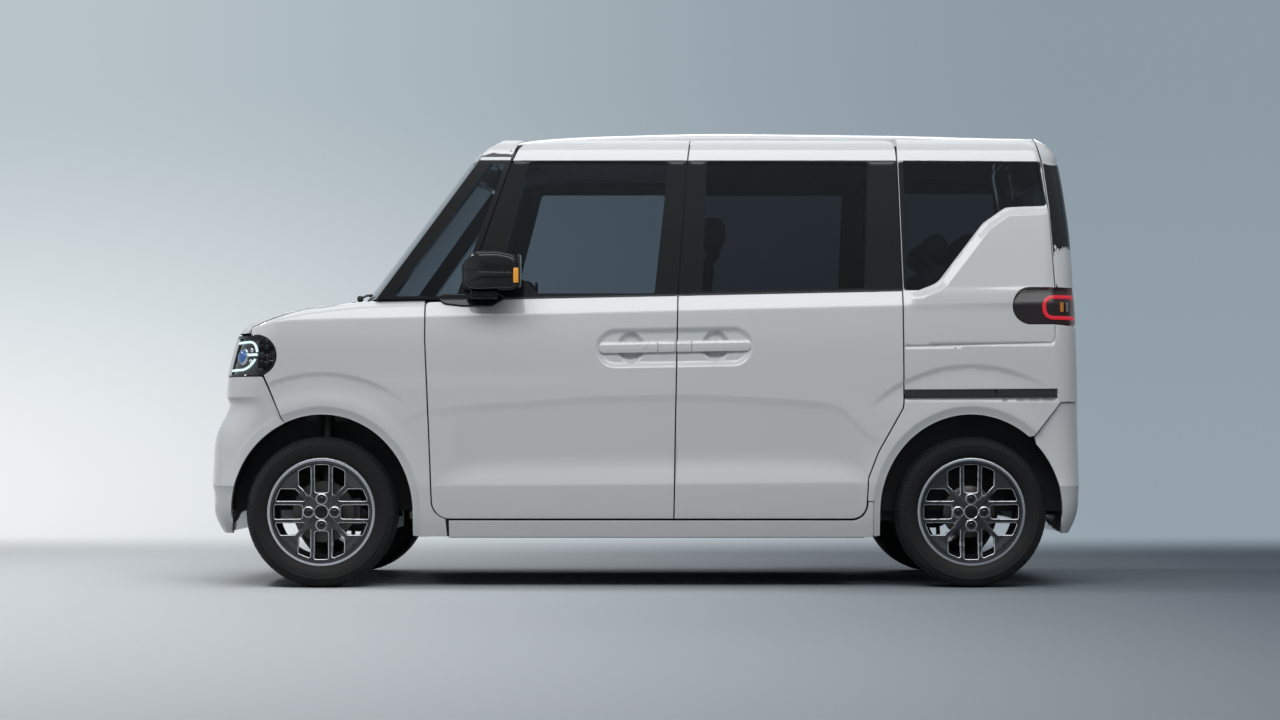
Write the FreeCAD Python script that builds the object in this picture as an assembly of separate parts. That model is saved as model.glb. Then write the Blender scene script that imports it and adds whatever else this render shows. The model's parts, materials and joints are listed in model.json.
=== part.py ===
"""A tall kei-class passenger car with front hinged doors and rear sliding doors, as separate pieces.

Units are millimetres. +X runs from the nose to the tail, +Z is up and the car's left side is at -Y.
The origin is on the ground under the middle of the car's overall box.
"""

import FreeCAD, Part

import math
import os
from functools import lru_cache

Vector = FreeCAD.Vector

# Overall size and stance
BODY_HALF_WIDTH = 731.0
FRONT_END_X = -1697.5
REAR_END_X = 1697.5
ROOF_HEIGHT = 1785.0
FRONT_AXLE_X = -1238.0
WHEELBASE = 2495.0
REAR_AXLE_X = FRONT_AXLE_X + WHEELBASE
SILL_BOTTOM_Z = 191.0

# Wheels and tyres
TYRE_RADIUS = 289.5
TYRE_WIDTH = 165.0
RIM_RADIUS = 190.5
RIM_WIDTH = 114.0
FRONT_HALF_TRACK = 650.0
REAR_HALF_TRACK = 645.0
LUG_CIRCLE_RADIUS = 50.0
LUG_HOLE_RADIUS = 7.5

# Wall depths, measured inwards from the outer skin
SKIN = 20.0
SEAL = 5.0
WALL = 60.0
FRAME_WALL = 66.0
SHUT_GAP = 5.0
GLASS_OUT = 5.0
GLASS_IN = 9.0
FIT = 0.3
BOX_INSET = 34.0
FRAME_INSET = 22.0
SEAL_LAND = 10.0
LANDING = 30.0

# Heights of the side's creases and the slopes of the two upper ones
LOWER_CREASE_Z = 390.0
SCOOP_CREASE_Z = 731.0
SHOULDER_Z = 1057.0
SHOULDER_SLOPE = 0.025
BELT_Z = 1122.0
BELT_SLOPE = 0.021
GLASS_TOP_Z = 1650.0
CANT_RAIL_Z = 1737.0

# Half widths of the side, one list between each pair of creases
SIDE_BANDS = [
    [(150, -41), (SILL_BOTTOM_Z, -31), (262, -14), (325, -6), (LOWER_CREASE_Z, 0)],
    [(LOWER_CREASE_Z, 0), (435, -8), (490, -13), (600, -18), (660, -16), (SCOOP_CREASE_Z, -8)],
    [(SCOOP_CREASE_Z, -8), (850, 0), (950, 1), (SHOULDER_Z, -4)],
    [(SHOULDER_Z, -4), (BELT_Z, -25)],
    [(BELT_Z, -25), (1400, -55), (GLASS_TOP_Z, -91)],
    [(GLASS_TOP_Z, -91), (1700, -106), (CANT_RAIL_Z, -129), (1790, -186)],
]
BAND_SLOPE = {SHOULDER_Z: SHOULDER_SLOPE, BELT_Z: BELT_SLOPE}

# Side-view profiles: set back from the nose or the tail at each height
TAIL_SETBACK = [
    (150, 60), (208, 42), (251, 18), (291, 7), (346, 0), (429, 0), (714, 4), (1022, 11),
    (1169, 18), (1347, 24), (1493, 39), (1600, 54), (1669, 68), (1712, 85), (1750, 137), (1790, 197),
]
NOSE_SETBACK = [
    (150, 70), (208, 46), (251, 17), (291, 9), (394, 0), (471, 0), (591, 12), (660, 47),
    (817, 57), (900, 75), (983, 99), (1060, 125), (1130, 155), (1180, 180),
]
ROOF_LINE = [
    (-1300, 1380, 0.5), (-1100, 1478, 0.5), (-900, 1575, 0.5), (-760, 1648, 0.5), (-640, 1699, 0.5),
    (-528, 1735, 0.6), (-331, 1763, 0.75), (-60, 1777, 0.95), (222, ROOF_HEIGHT, 1.05), (500, 1784, 1.05),
    (800, 1780, 1.0), (1100, 1772, 0.8), (1400, 1761, 0.6), (1800, 1740, 0.4),
]
HOOD_LINE = [
    (-1800, 880), (-1690, 938), (-1590, 996), (-1507, 1043), (-1357, 1088), (-1199, 1112),
    (-1077, 1124), (-900, 1132), (-600, 1136),
]

# Plan shape
PLAN_MIDDLE_X = 100.0
PLAN_PULL = 10.0
PLAN_PULL_LENGTH = 1500.0
NOSE_CORNER = 190.0
NOSE_CROWN = 16.0
NOSE_LOFT_EASE = 1.7
TAIL_CORNER = 105.0
TAIL_CROWN = 12.0

# Windscreen plane
SCREEN_FOOT_X = -1122.0
SCREEN_FOOT_Z = 1132.0
SCREEN_RUN_PER_RISE = 415.0 / 549.0
SCREEN_CROWN = 80.0
SCREEN_THICKNESS = 6.0

# Wheel arches: an ellipse about the axle, straight down below it
ARCH_HALF_LENGTH = 350.0
ARCH_HEIGHT = 374.0
FLARE_WIDTH = 32.0
FLARE_STAND = 6.0
LINER_RADIUS = 378.0
LINER_THICKNESS = 6.0


def interpolate(table, at):
    """The value of a table of (position, value) pairs, straight between its rows."""
    for (a, value_a), (b, value_b) in zip(table, table[1:]):
        if at <= b:
            return value_a + (value_b - value_a) * max(0.0, at - a) / (b - a)
    return table[-1][1]


def rounded_wire(points, place):
    """A closed wire through (a, b) or (a, b, radius) corners, mapped to 3D by place."""
    count = len(points)
    ends = []
    for i, corner in enumerate(points):
        here = Vector(corner[0], corner[1], 0)
        radius = corner[2] if len(corner) > 2 else 0.0
        before = Vector(points[i - 1][0], points[i - 1][1], 0) - here
        after = Vector(points[(i + 1) % count][0], points[(i + 1) % count][1], 0) - here
        if radius <= 0:
            ends.append((here, None, here))
            continue
        half = before.getAngle(after) / 2
        reach = min(radius / math.tan(half), 0.49 * before.Length, 0.49 * after.Length)
        radius = reach * math.tan(half)
        start = here + before.normalize() * reach
        finish = here + after.normalize() * reach
        middle_way = ((start + finish) * 0.5 - here).normalize()
        middle = here + middle_way * (radius / math.sin(half) - radius)
        ends.append((start, middle, finish))
    edges = []
    for i, (start, middle, finish) in enumerate(ends):
        if middle is not None:
            edges.append(Part.Arc(place(start), place(middle), place(finish)).toShape())
        following = ends[(i + 1) % count][0]
        if (following - finish).Length > 1e-6:
            edges.append(Part.makeLine(place(finish), place(following)))
    return Part.Wire(edges)


def prism_xz(points, y_low, y_high, offset=0.0):
    """A side-view outline, swept across the car between two y values."""
    wire = rounded_wire(points, lambda p: Vector(p.x, y_low, p.y))
    if offset:
        wire = wire.makeOffset2D(offset)
    return Part.Face(wire).extrude(Vector(0, y_high - y_low, 0))


def prism_yz(points, x_low, x_high, offset=0.0):
    """A front-view outline, swept along the car between two x values."""
    wire = rounded_wire(points, lambda p: Vector(x_low, p.x, p.y))
    if offset:
        wire = wire.makeOffset2D(offset)
    return Part.Face(wire).extrude(Vector(x_high - x_low, 0, 0))


def prism_xy(points, z_low, z_high):
    """A plan outline, swept upwards between two z values."""
    wire = rounded_wire(points, lambda p: Vector(p.x, p.y, z_low))
    return Part.Face(wire).extrude(Vector(0, 0, z_high - z_low))


def box(x_low, x_high, y_low, y_high, z_low, z_high):
    """A box between two corners."""
    size = (x_high - x_low, y_high - y_low, z_high - z_low)
    return Part.makeBox(*size, Vector(x_low, y_low, z_low))


def rod(start, finish, radius):
    """A round bar between two points."""
    way = Vector(*finish) - Vector(*start)
    return Part.makeCylinder(radius, way.Length, Vector(*start), way)


def join(shapes):
    """One shape from several that touch or overlap."""
    return shapes[0].multiFuse(shapes[1:]).removeSplitter()


def mirrored(shape):
    """The same piece on the car's right side."""
    return shape.mirror(Vector(0, 0, 0), Vector(0, 1, 0))


def surface(point_at, first_values, second_values):
    """A smooth face through a grid of points."""
    grid = Part.BSplineSurface()
    grid.interpolate([[point_at(u, v) for v in second_values] for u in first_values])
    return grid.toShape()


def plan_pull(x):
    """How far the side stands in from its widest point at a station along the car."""
    return PLAN_PULL * ((x - PLAN_MIDDLE_X) / PLAN_PULL_LENGTH) ** 2


def plan_ring(z, stand, front, rear, corners, crowns, inset):
    """A closed plan outline at one height: crowned ends, round corners and slightly bowed sides."""
    half = BODY_HALF_WIDTH + stand - inset
    slope = BAND_SLOPE.get(z, 0.0)
    front_r = max(corners[0] - inset, 15.0)
    rear_r = max(corners[1] - inset, 15.0)
    x_front = front + inset
    x_rear = rear - inset
    x1 = x_front + crowns[0] + front_r
    x2 = x_rear - crowns[1] - rear_r
    middle = (x1 + x2) / 2
    w1, wm, w2 = (half - plan_pull(x) for x in (x1, middle, x2))
    near = math.sqrt(0.5)

    def at(x, y):
        return Vector(x, y, z + slope * x)

    def arc(a, b, c):
        return Part.Arc(at(*a), at(*b), at(*c)).toShape()

    nose_x = x_front + crowns[0]
    tail_x = x_rear - crowns[1]
    nose_y = w1 - front_r
    tail_y = w2 - rear_r
    return Part.Wire([
        arc((nose_x, nose_y), (x_front, 0), (nose_x, -nose_y)),
        arc((nose_x, -nose_y), (x1 - front_r * near, -nose_y - front_r * near), (x1, -w1)),
        arc((x1, -w1), (middle, -wm), (x2, -w2)),
        arc((x2, -w2), (x2 + rear_r * near, -tail_y - rear_r * near), (tail_x, -tail_y)),
        arc((tail_x, -tail_y), (x_rear, 0), (tail_x, tail_y)),
        arc((tail_x, tail_y), (x2 + rear_r * near, tail_y + rear_r * near), (x2, w2)),
        arc((x2, w2), (middle, wm), (x1, w1)),
        arc((x1, w1), (x1 - front_r * near, nose_y + front_r * near), (nose_x, nose_y)),
    ])


def stacked_body(bands, front_of, rear_of, corners, crowns, inset):
    """Bands of the body lofted through plan outlines, with a crease where two bands meet."""
    body = None
    for band in bands:
        rings = [
            plan_ring(z, stand, front_of(z), rear_of(z), corners, crowns, inset) for z, stand in band
        ]
        piece = Part.makeLoft(rings, True, len(rings) == 2)
        body = piece if body is None else body.fuse(piece)
    return body


def roof_crown(y):
    """The roof's fall from its middle line: nearly flat, then round at the edge, then straight."""
    share = abs(y) / 600.0
    edge = min(share, 1.0)
    return 12.0 * edge**2 + 33.0 * edge**12 + 420.0 * (share - edge)


def hood_crown(y):
    """The hood's fall from its middle line to a place beside it."""
    share = y / 700.0
    return 14.0 * share**2 + 14.0 * share**4


ACROSS = [-800, -600, -400, -200, 0, 200, 400, 600, 800]
ACROSS_ROOF = [-800, -700, -630, -600, -575, -545, -500, -400, -200, 0, 200, 400, 500, 545, 575, 600, 630, 700, 800]


def above_roof(inset):
    """All the space above the roof, lowered by the inset."""
    face = surface(
        lambda row, y: Vector(row[0], y, row[1] - row[2] * roof_crown(y) - inset), ROOF_LINE, ACROSS_ROOF
    )
    return face.extrude(Vector(0, 0, 500))


def above_hood(inset):
    """All the space above the hood, lowered by the inset."""
    face = surface(
        lambda row, y: Vector(row[0], y, row[1] - hood_crown(y) - inset), HOOD_LINE, ACROSS
    )
    return face.extrude(Vector(0, 0, 600))


def screen_x(y, z):
    """Where the windscreen's outer face is, along the car."""
    return SCREEN_FOOT_X + (z - SCREEN_FOOT_Z) * SCREEN_RUN_PER_RISE + SCREEN_CROWN * (y / 600.0) ** 2


SCREEN_SLANT = math.sqrt(1 + SCREEN_RUN_PER_RISE**2)


def ahead_of_screen(inset):
    """All the space in front of the windscreen's outer face, moved inwards by the inset."""
    back = inset * SCREEN_SLANT
    face = surface(lambda z, y: Vector(screen_x(y, z) + back, y, z), [900, 1200, 1500, 1900], ACROSS)
    return face.extrude(Vector(-1200, 0, 0))


@lru_cache(maxsize=None)
def cabin_body(inset):
    """The main body as a solid, all faces moved inwards by the inset."""
    body = stacked_body(
        SIDE_BANDS,
        lambda z: -1250.0,
        lambda z: REAR_END_X - interpolate(TAIL_SETBACK, z),
        (40.0, TAIL_CORNER),
        (20.0, TAIL_CROWN),
        inset,
    )
    return body.cut(above_roof(inset)).cut(ahead_of_screen(inset))


@lru_cache(maxsize=None)
def nose_body(inset):
    """The front end as a solid, back to behind the fenders."""
    bands = SIDE_BANDS[:4] + [[(BELT_Z, -25), (1180, -60)]]
    body = stacked_body(
        bands,
        lambda z: FRONT_END_X - NOSE_LOFT_EASE + interpolate(NOSE_SETBACK, z),
        lambda z: -600.0,
        (NOSE_CORNER, 30.0),
        (NOSE_CROWN, 0.1),
        inset,
    )
    return body.cut(above_hood(inset))


@lru_cache(maxsize=None)
def cabin_wall(outer, inner):
    """The main body's wall between two depths."""
    return cabin_body(outer).cut(cabin_body(inner))


@lru_cache(maxsize=None)
def nose_wall(outer, inner):
    """The front end's wall between two depths."""
    return nose_body(outer).cut(nose_body(inner))


LEFT_SIDE = (-900.0, -500.0)
ROOF_SEAM_Y = 598.0

# Side-view outlines along the middle of the shut lines: (x, z, corner radius)
FRONT_DOOR = [
    (-842, 950), (-842, 1098, 60), (-700, 1104), (-512, 1650), (-478, 1722, 120), (-300, 1737),
    (181, CANT_RAIL_Z), (171, 1661), (131, 1124), (123, 720), (115, 262), (-812, 262, 70),
]
REAR_DOOR = [
    (181, CANT_RAIL_Z), (975, 1736, 90), (982, 1660), (996, 1143), (999, 720), (997, 690, 60),
    (900, 520, 160), (861, 420), (853, 262, 60), (115, 262), (123, 720), (131, 1124), (171, 1661),
]
FRONT_DOOR_WINDOW = [
    (-442, 1645, 20), (96, 1645, 10), (40, 1131, 10), (-413, 1131, 10), (-545, 1262, 30),
]
REAR_DOOR_WINDOW = [(244, 1645, 10), (868, 1643, 10), (852, 1150, 10), (227, 1137, 10)]
FRONT_QUARTER_WINDOW = [(-966, 1119, 8), (-722, 1119, 8), (-538, 1640, 8), (-592, 1640, 8)]
REAR_QUARTER_WINDOW = [
    (1004, 1650, 8), (1533, 1647, 8), (1556, 1474, 8), (1400, 1468, 60), (1310, 1405, 60),
    (1130, 1172, 90), (1060, 1144), (1008, 1143, 8),
]
HOOD_SEAM = [
    (-1800, 975), (-1519, 975), (-1500, 1004), (-1464, 1030), (-1382, 1052), (-1265, 1075),
]
HOOD_PLAN_SEAM = [(-1275, 692), (-1200, 682), (-1124, 660), (-1000, 648)]
FENDER = [
    (-1530, 975), (-1519, 975), (-1500, 1004), (-1464, 1030), (-1382, 1052), (-1265, 1075),
    (-1265, 1160), (-1075, 1160), (-1075, 1105), (-842, 1105), (-842, 950), (-812, 259), (-751, 259), (-751, 190),
    (-1340, 190), (-1340, 600), (-1391, 644), (-1464, 812), (-1530, 812),
]
FRONT_BUMPER = [
    (-1800, 150), (-1800, 866), (-1466, 866), (-1464, 812), (-1391, 644), (-1340, 600), (-1340, 150),
]
HEAD_LAMP = [(-1800, 971), (-1412, 971, 80), (-1412, 809, 80), (-1800, 809)]
LAMP_INNER_Y = 435.0
LAMP_DEPTH = 60.0
TAIL_LAMP = [(1800, 1150), (1418, 1150, 69), (1418, 1010, 69), (1800, 1010)]
TAILGATE_HALF_LOWER = 577.0
TAILGATE_UPPER = [(1524, 1800), (1524, 1737), (1545, 1650), (1565, 1465), (1584, 1152), (1850, 1152), (1850, 1800)]
TAILGATE_BOTTOM_Z = 520.0
REAR_WINDOW = [(-520, 1200, 40), (520, 1200, 40), (470, 1600, 50), (-470, 1600, 50)]
REAR_BUMPER_TOP_Z = 712.0

# Door handles: a bar across a pill-shaped recess that both doors share
HANDLE_RECESS = [(-190, 1003, 78), (430, 1008, 78), (430, 846, 78), (-190, 840, 78)]
HANDLE_RECESS_DEPTH = 15.0
FINGER_POCKETS = [[(-125, 1003, 70), (25, 1003, 70), (25, 847, 70), (-125, 847, 70)],
                  [(208, 1003, 70), (350, 1003, 70), (350, 847, 70), (208, 847, 70)]]
FINGER_POCKET_DEPTH = 40.0
RAIL_SLOT_Z = (728.0, 761.0)
HANDLE_Z = (897.0, 948.0)
HANDLE_ENDS = (-172.0, 412.0)

# Number plate pads
PLATE_SPACING = 210.0
PLATE_HOLE_RADIUS = 3.3
FRONT_PLATE_X = -1693.0
FRONT_PLATE_Z = 580.0
REAR_PLATE_X = 1694.0
REAR_PLATE_Z = 840.0

# Front suspension
KINGPIN_Y = 565.0
KINGPIN_LEAN = math.radians(10.0)
STRUT_RADIUS = 24.0
STRUT_TOP_Z = 880.0
SPRING_SEAT_RADIUS = 60.0
BALL_PIN_RADIUS = 9.0
ARM_Z = (212.0, 240.0)
DISC_RADIUS = 118.0
HUB_RADIUS = 62.0
SPINDLE_RADIUS = 16.0
RUNNING_CLEARANCE = 0.05
ENGINE_SIZE = (350.0, 560.0, 430.0)


def arch_space(axle_x, y_low, y_high, grow=0.0):
    """The space of a wheel opening, swept between two y values."""
    reach = ARCH_HALF_LENGTH + grow
    rise = ARCH_HEIGHT + grow
    drum = Part.makeCylinder(rise, y_high - y_low, Vector(0, y_low, 0), Vector(0, 1, 0))
    squash = FreeCAD.Matrix()
    squash.A11 = reach / rise
    squash.A14 = axle_x
    squash.A34 = TYRE_RADIUS
    drum = drum.transformGeometry(squash)
    legs = box(axle_x - reach, axle_x + reach, y_low, y_high, -10, TYRE_RADIUS)
    return drum.fuse(legs)


def drum_between(axle_x, radius, y_low, y_high):
    """A round drum about an axle between two y values."""
    return Part.makeCylinder(radius, y_high - y_low, Vector(axle_x, y_low, TYRE_RADIUS), Vector(0, 1, 0))


@lru_cache(maxsize=None)
def roof_zone():
    """The strip over the cabin that belongs to the roof panel and its seams."""
    edge = ROOF_SEAM_Y + SHUT_GAP / 2
    return box(-900, 1524, -edge, edge, 1640, 1900)


@lru_cache(maxsize=None)
def left_body(inset):
    """The left flank of the main body, all faces moved inwards by the inset."""
    return cabin_body(inset).common(box(-1290, 1790, *LEFT_SIDE, 160, 1890))


@lru_cache(maxsize=None)
def left_wall(outer, inner):
    """The left flank's wall between two depths."""
    return left_body(outer).cut(left_body(inner))


def dent(outline, depth):
    """The space of a recess of one depth in the left flank."""
    return prism_xz(outline, *LEFT_SIDE).cut(left_body(depth))


def panel(body_wall, outline):
    """The part of a wall inside a side-view outline, less half a shut gap all round."""
    return body_wall.common(prism_xz(outline, *LEFT_SIDE, offset=-SHUT_GAP / 2))


def door_panel(outline, window):
    """A door's skin and inner box with its window cut, on the left side."""
    skin = panel(left_wall(0.0, SKIN), outline).cut(roof_zone())
    inner = left_wall(SKIN, WALL).common(prism_xz(outline, *LEFT_SIDE, offset=-BOX_INSET))
    return skin.fuse(inner).cut(prism_xz(window, *LEFT_SIDE))


def side_glass(window):
    """A curved pane that fills a side window."""
    return left_wall(GLASS_OUT, GLASS_IN).common(prism_xz(window, *LEFT_SIDE, offset=-FIT))


def with_handle(door, x_low, x_high, outline, pocket):
    """A door with its share of the recess, its finger pocket and its handle bar on two posts."""
    low, high = HANDLE_Z
    bar_outline = [(x_low, low, 12), (x_high, low + 3, 4), (x_high, high + 3, 4), (x_low, high, 12)]
    bar = left_wall(0.0, GLASS_IN).common(prism_xz(bar_outline, *LEFT_SIDE))
    posts = [
        left_wall(GLASS_OUT, SKIN).common(box(x - 22, x + 22, *LEFT_SIDE, low + 12, high - 12))
        for x in (x_low + 28, x_high - 28)
    ]
    handle = join([bar] + posts)
    handle = handle.common(prism_xz(outline, *LEFT_SIDE, offset=-SHUT_GAP / 2))
    door = door.cut(dent(HANDLE_RECESS, HANDLE_RECESS_DEPTH)).cut(dent(pocket, FINGER_POCKET_DEPTH))
    return door.fuse(handle)


def front_door():
    """The left front door."""
    return with_handle(door_panel(FRONT_DOOR, FRONT_DOOR_WINDOW), HANDLE_ENDS[0], 130, FRONT_DOOR, FINGER_POCKETS[0])


def sliding_door():
    """The left rear sliding door."""
    return with_handle(door_panel(REAR_DOOR, REAR_DOOR_WINDOW), 120, HANDLE_ENDS[1], REAR_DOOR, FINGER_POCKETS[1])


FRAME_OUTLINE = [
    (-950, 195), (-950, 1100), (-1075, 1106), (-760, 1800), (1500, 1800), (1524, 1600),
    (1560, 1160), (1600, 1000), (1600, 520), (1000, 195),
]


def side_frame():
    """Pillars, sill, cant rail and inner quarter of the left side, behind the outer panels."""
    reach = prism_yz(
        [(-900, 150), (-900, 1900), (-545, 1900), (-545, 1660), (-612, 1130), (-612, 150)], -1300, 1700,
    )
    outer = left_wall(0.0, SKIN + FIT)
    sill = outer.common(
        box(-751 + SHUT_GAP / 2, 850 - SHUT_GAP / 2, *LEFT_SIDE, SILL_BOTTOM_Z, 290)
    )
    pillar = outer.common(
        prism_xz([(-1075, 1108), (-700, 1108), (-470, 1660), (-470, 1800), (-800, 1800)], *LEFT_SIDE)
    )
    pillar = pillar.cut(roof_zone())
    edge = sill.fuse(pillar)
    zone = prism_xz(FRAME_OUTLINE, *LEFT_SIDE)
    seal = left_wall(SKIN + FIT, SKIN + SEAL).common(zone)
    deep = left_wall(SKIN + SEAL, FRAME_WALL).common(zone)
    for outline in (FRONT_DOOR, REAR_DOOR):
        edge = edge.cut(prism_xz(outline, *LEFT_SIDE, offset=SHUT_GAP / 2))
        seal = seal.cut(prism_xz(outline, *LEFT_SIDE, offset=-SEAL_LAND))
        deep = deep.cut(prism_xz(outline, *LEFT_SIDE, offset=-FRAME_INSET))
    frame = join([edge, seal, deep]).common(reach)
    frame = frame.cut(prism_xz(REAR_QUARTER_WINDOW, *LEFT_SIDE))
    frame = frame.cut(prism_xz(FRONT_QUARTER_WINDOW, *LEFT_SIDE))
    frame = frame.cut(arch_space(REAR_AXLE_X, *LEFT_SIDE, grow=14.0))
    frame = frame.cut(drum_between(FRONT_AXLE_X, LINER_RADIUS + LINER_THICKNESS + FIT, *LEFT_SIDE))
    frame = frame.cut(prism_xz(TAIL_LAMP, *LEFT_SIDE, offset=FIT))
    return frame.cut(windscreen(grow=FIT))


def windscreen(grow=0.0):
    """The windscreen, laid in the opening between the pillars, cowl and roof."""
    outline = [(-645, 1124, 30), (645, 1124, 30), (588, 1652, 60), (-588, 1652, 60)]
    slab = ahead_of_screen(SCREEN_THICKNESS + grow).cut(ahead_of_screen(-20.0 if grow else 0.0))
    return slab.common(prism_yz(outline, -1300, -400, offset=grow))


def quarter_panel():
    """The left rear quarter: wheel arch, corner below the lamp, window surround and rail slot."""
    outline = [
        (982, CANT_RAIL_Z + 5), (982, 1660), (996, 1143), (999, 720), (997, 690, 60), (900, 520, 160),
        (861, 420), (856, 330), (882, 330), (882, 190), (1600, 190), (1499, 578), (1603, REAR_BUMPER_TOP_Z),
        (1760, REAR_BUMPER_TOP_Z), (1760, 1152), (1584, 1152), (1565, 1465), (1545, 1650), (1524, CANT_RAIL_Z + 5),
    ]
    skin = panel(left_wall(0.0, SKIN), outline).cut(roof_zone())
    skin = skin.cut(box(1600, 1800, -TAILGATE_HALF_LOWER - SHUT_GAP / 2, 0, 0, 1800))
    skin = skin.cut(arch_space(REAR_AXLE_X, *LEFT_SIDE))
    skin = skin.cut(prism_xz(TAIL_LAMP, *LEFT_SIDE, offset=FIT))
    skin = skin.cut(prism_xz(REAR_QUARTER_WINDOW, *LEFT_SIDE))
    low, high = RAIL_SLOT_Z
    skin = skin.cut(dent([(980, low), (1592, low, 8), (1592, high, 8), (980, high)], HANDLE_RECESS_DEPTH))
    zone = [(860, 332), (860, 800), (1600, 800), (1600, 720), (1499, 582), (1590, 190), (884, 190), (884, 332)]
    return skin.fuse(flare(REAR_AXLE_X, zone, True))


def flare(axle_x, zone, rear, offset=0.0):
    """The raised lip round a wheel opening, inside a side-view zone."""
    wall = left_wall(-FLARE_STAND, GLASS_OUT) if rear else nose_wall(-FLARE_STAND, GLASS_OUT)
    lip = arch_space(axle_x, *LEFT_SIDE, grow=FLARE_WIDTH).cut(arch_space(axle_x, *LEFT_SIDE))
    return wall.common(lip).common(prism_xz(zone, *LEFT_SIDE, offset=offset))


def fender():
    """The left front fender."""
    skin = panel(nose_wall(0.0, SKIN), FENDER)
    skin = skin.cut(arch_space(FRONT_AXLE_X, *LEFT_SIDE))
    skin = skin.cut(prism_xz(HEAD_LAMP, *LEFT_SIDE, offset=FIT)).cut(between_fenders(SHUT_GAP / 2))
    skin = skin.cut(box(-1000 - SHUT_GAP, -800, -648 - SHUT_GAP / 2, 0, 900, 1300))
    skin = skin.cut(box(-1480, -1270, -692 - SHUT_GAP / 2, 0, 900, 1300))
    skin = skin.fuse(flare(FRONT_AXLE_X, FENDER, False, -SHUT_GAP / 2))
    skin = skin.cut(prism_xz(FRONT_DOOR, *LEFT_SIDE, offset=SHUT_GAP / 2))
    return skin.cut(left_body(SKIN).common(box(-1000, 0, -900, -400, 160, 1890)))


def headlamp():
    """The left head lamp: its lens follows the skin and its case stands behind."""
    lamp = nose_wall(0.0, LAMP_DEPTH).common(prism_xz(HEAD_LAMP, *LEFT_SIDE))
    return lamp.common(box(-1800, -1300, -900, -LAMP_INNER_Y, 700, 1100))


def tail_lamp():
    """The left tail lamp, wrapped round the rear corner."""
    lamp = left_wall(0.0, FINGER_POCKET_DEPTH).common(prism_xz(TAIL_LAMP, *LEFT_SIDE))
    return lamp.cut(box(1600, 1800, -TAILGATE_HALF_LOWER - SHUT_GAP / 2, 0, 900, 1200))


def between_fenders(offset):
    """The space between the fenders' upper edges, from the hood's shoulder to the windscreen."""
    right = [(x, y + offset) for x, y in HOOD_PLAN_SEAM]
    left = [(x, -y) for x, y in reversed(right)]
    return prism_xy(left + right, 900, 1300)


def hood():
    """The hood panel, down to the head lamps and out to its side seams."""
    ahead = prism_xz(HOOD_SEAM + [(-1265, 1300), (-1800, 1300)], -900, 900, offset=-SHUT_GAP / 2)
    skin = nose_wall(0.0, SKIN).common(ahead.fuse(between_fenders(-SHUT_GAP / 2)))
    behind = surface(
        lambda z, y: Vector(screen_x(y, SCREEN_FOOT_Z) - 55, y, z), [700, 900, 1100, 1300], ACROSS
    ).extrude(Vector(800, 0, 0))
    return skin.cut(behind)


def cowl():
    """The black strip between the hood and the windscreen, with the wiper spindles' openings."""
    near = surface(
        lambda z, y: Vector(screen_x(y, SCREEN_FOOT_Z) - 55 + SHUT_GAP, y, z), [900, 1000, 1100, 1300], ACROSS
    ).extrude(Vector(-800, 0, 0))
    foot = surface(
        lambda z, y: Vector(screen_x(y, z) + 14, y, z), [900, 1000, 1100, 1300], ACROSS
    ).extrude(Vector(800, 0, 0))
    strip = nose_wall(GLASS_OUT, LANDING).common(box(-1250, -900, -640, 640, 1000, 1200))
    return strip.cut(near).cut(foot).cut(windscreen(grow=FIT))


def plate_pad(carrier, x_low, x_high, z):
    """A number plate's flat pad on its carrier, with the plate's two screw holes."""
    pad = box(x_low, x_high, -PLATE_SPACING / 2 - 60, PLATE_SPACING / 2 + 60, z - 35, z + 35)
    carrier = carrier.fuse(pad)
    for y in (-PLATE_SPACING / 2, PLATE_SPACING / 2):
        carrier = carrier.cut(rod((x_low - 1, y, z), (x_high + 1, y, z), PLATE_HOLE_RADIUS))
    return carrier


def front_bumper():
    """The front bumper cover with its lower air opening."""
    half = nose_wall(0.0, SKIN).common(prism_xz(FRONT_BUMPER, -900, 900, offset=-SHUT_GAP / 2))
    half = half.common(box(-1800, -1300, -900, 900, SILL_BOTTOM_Z + 16, 900))
    for low, high in ((-900, -LAMP_INNER_Y + FIT), (LAMP_INNER_Y - FIT, 900)):
        half = half.cut(box(-1800, -1300, low, high, 809 - FIT, 1000))
    for axle_side in (-900, 300):
        half = half.cut(arch_space(FRONT_AXLE_X, axle_side, axle_side + 600))
    lip = flare(FRONT_AXLE_X, FRONT_BUMPER, False, -SHUT_GAP / 2)
    lip = lip.common(box(-1800, -1300, *LEFT_SIDE, SILL_BOTTOM_Z + 16, 900))
    half = half.fuse(lip).fuse(mirrored(lip))
    mouth = prism_yz([(-430, 330, 25), (430, 330, 25), (460, 480, 25), (-460, 480, 25)], -1800, -1500)
    return plate_pad(half.cut(mouth), FRONT_PLATE_X, FRONT_PLATE_X + 22, FRONT_PLATE_Z)


def grille():
    """The black band between the lamps, and the bars across the lower air opening."""
    edge = LAMP_INNER_Y - FIT
    band = nose_wall(GLASS_OUT, SKIN + FIT).common(box(-1800, -1500, -edge, edge, 866, 970))
    for low in (884, 916):
        band = band.cut(box(-1800, -1500, -380, 380, low, low + 16))
    landing = nose_wall(SKIN + FIT, LANDING).common(box(-1800, -1500, -edge, edge, 850, 1000))
    band = band.fuse(landing)
    opening = prism_yz([(-430, 330, 25), (430, 330, 25), (460, 480, 25), (-460, 480, 25)], -1800, -1500, offset=-FIT)
    mesh = nose_wall(GLASS_OUT, SKIN).common(opening)
    for low in (350, 385, 420, 455):
        mesh = mesh.cut(box(-1800, -1500, -400, 400, low - 7, low + 13))
    return Part.makeCompound([band] + mesh.Solids)


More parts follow.
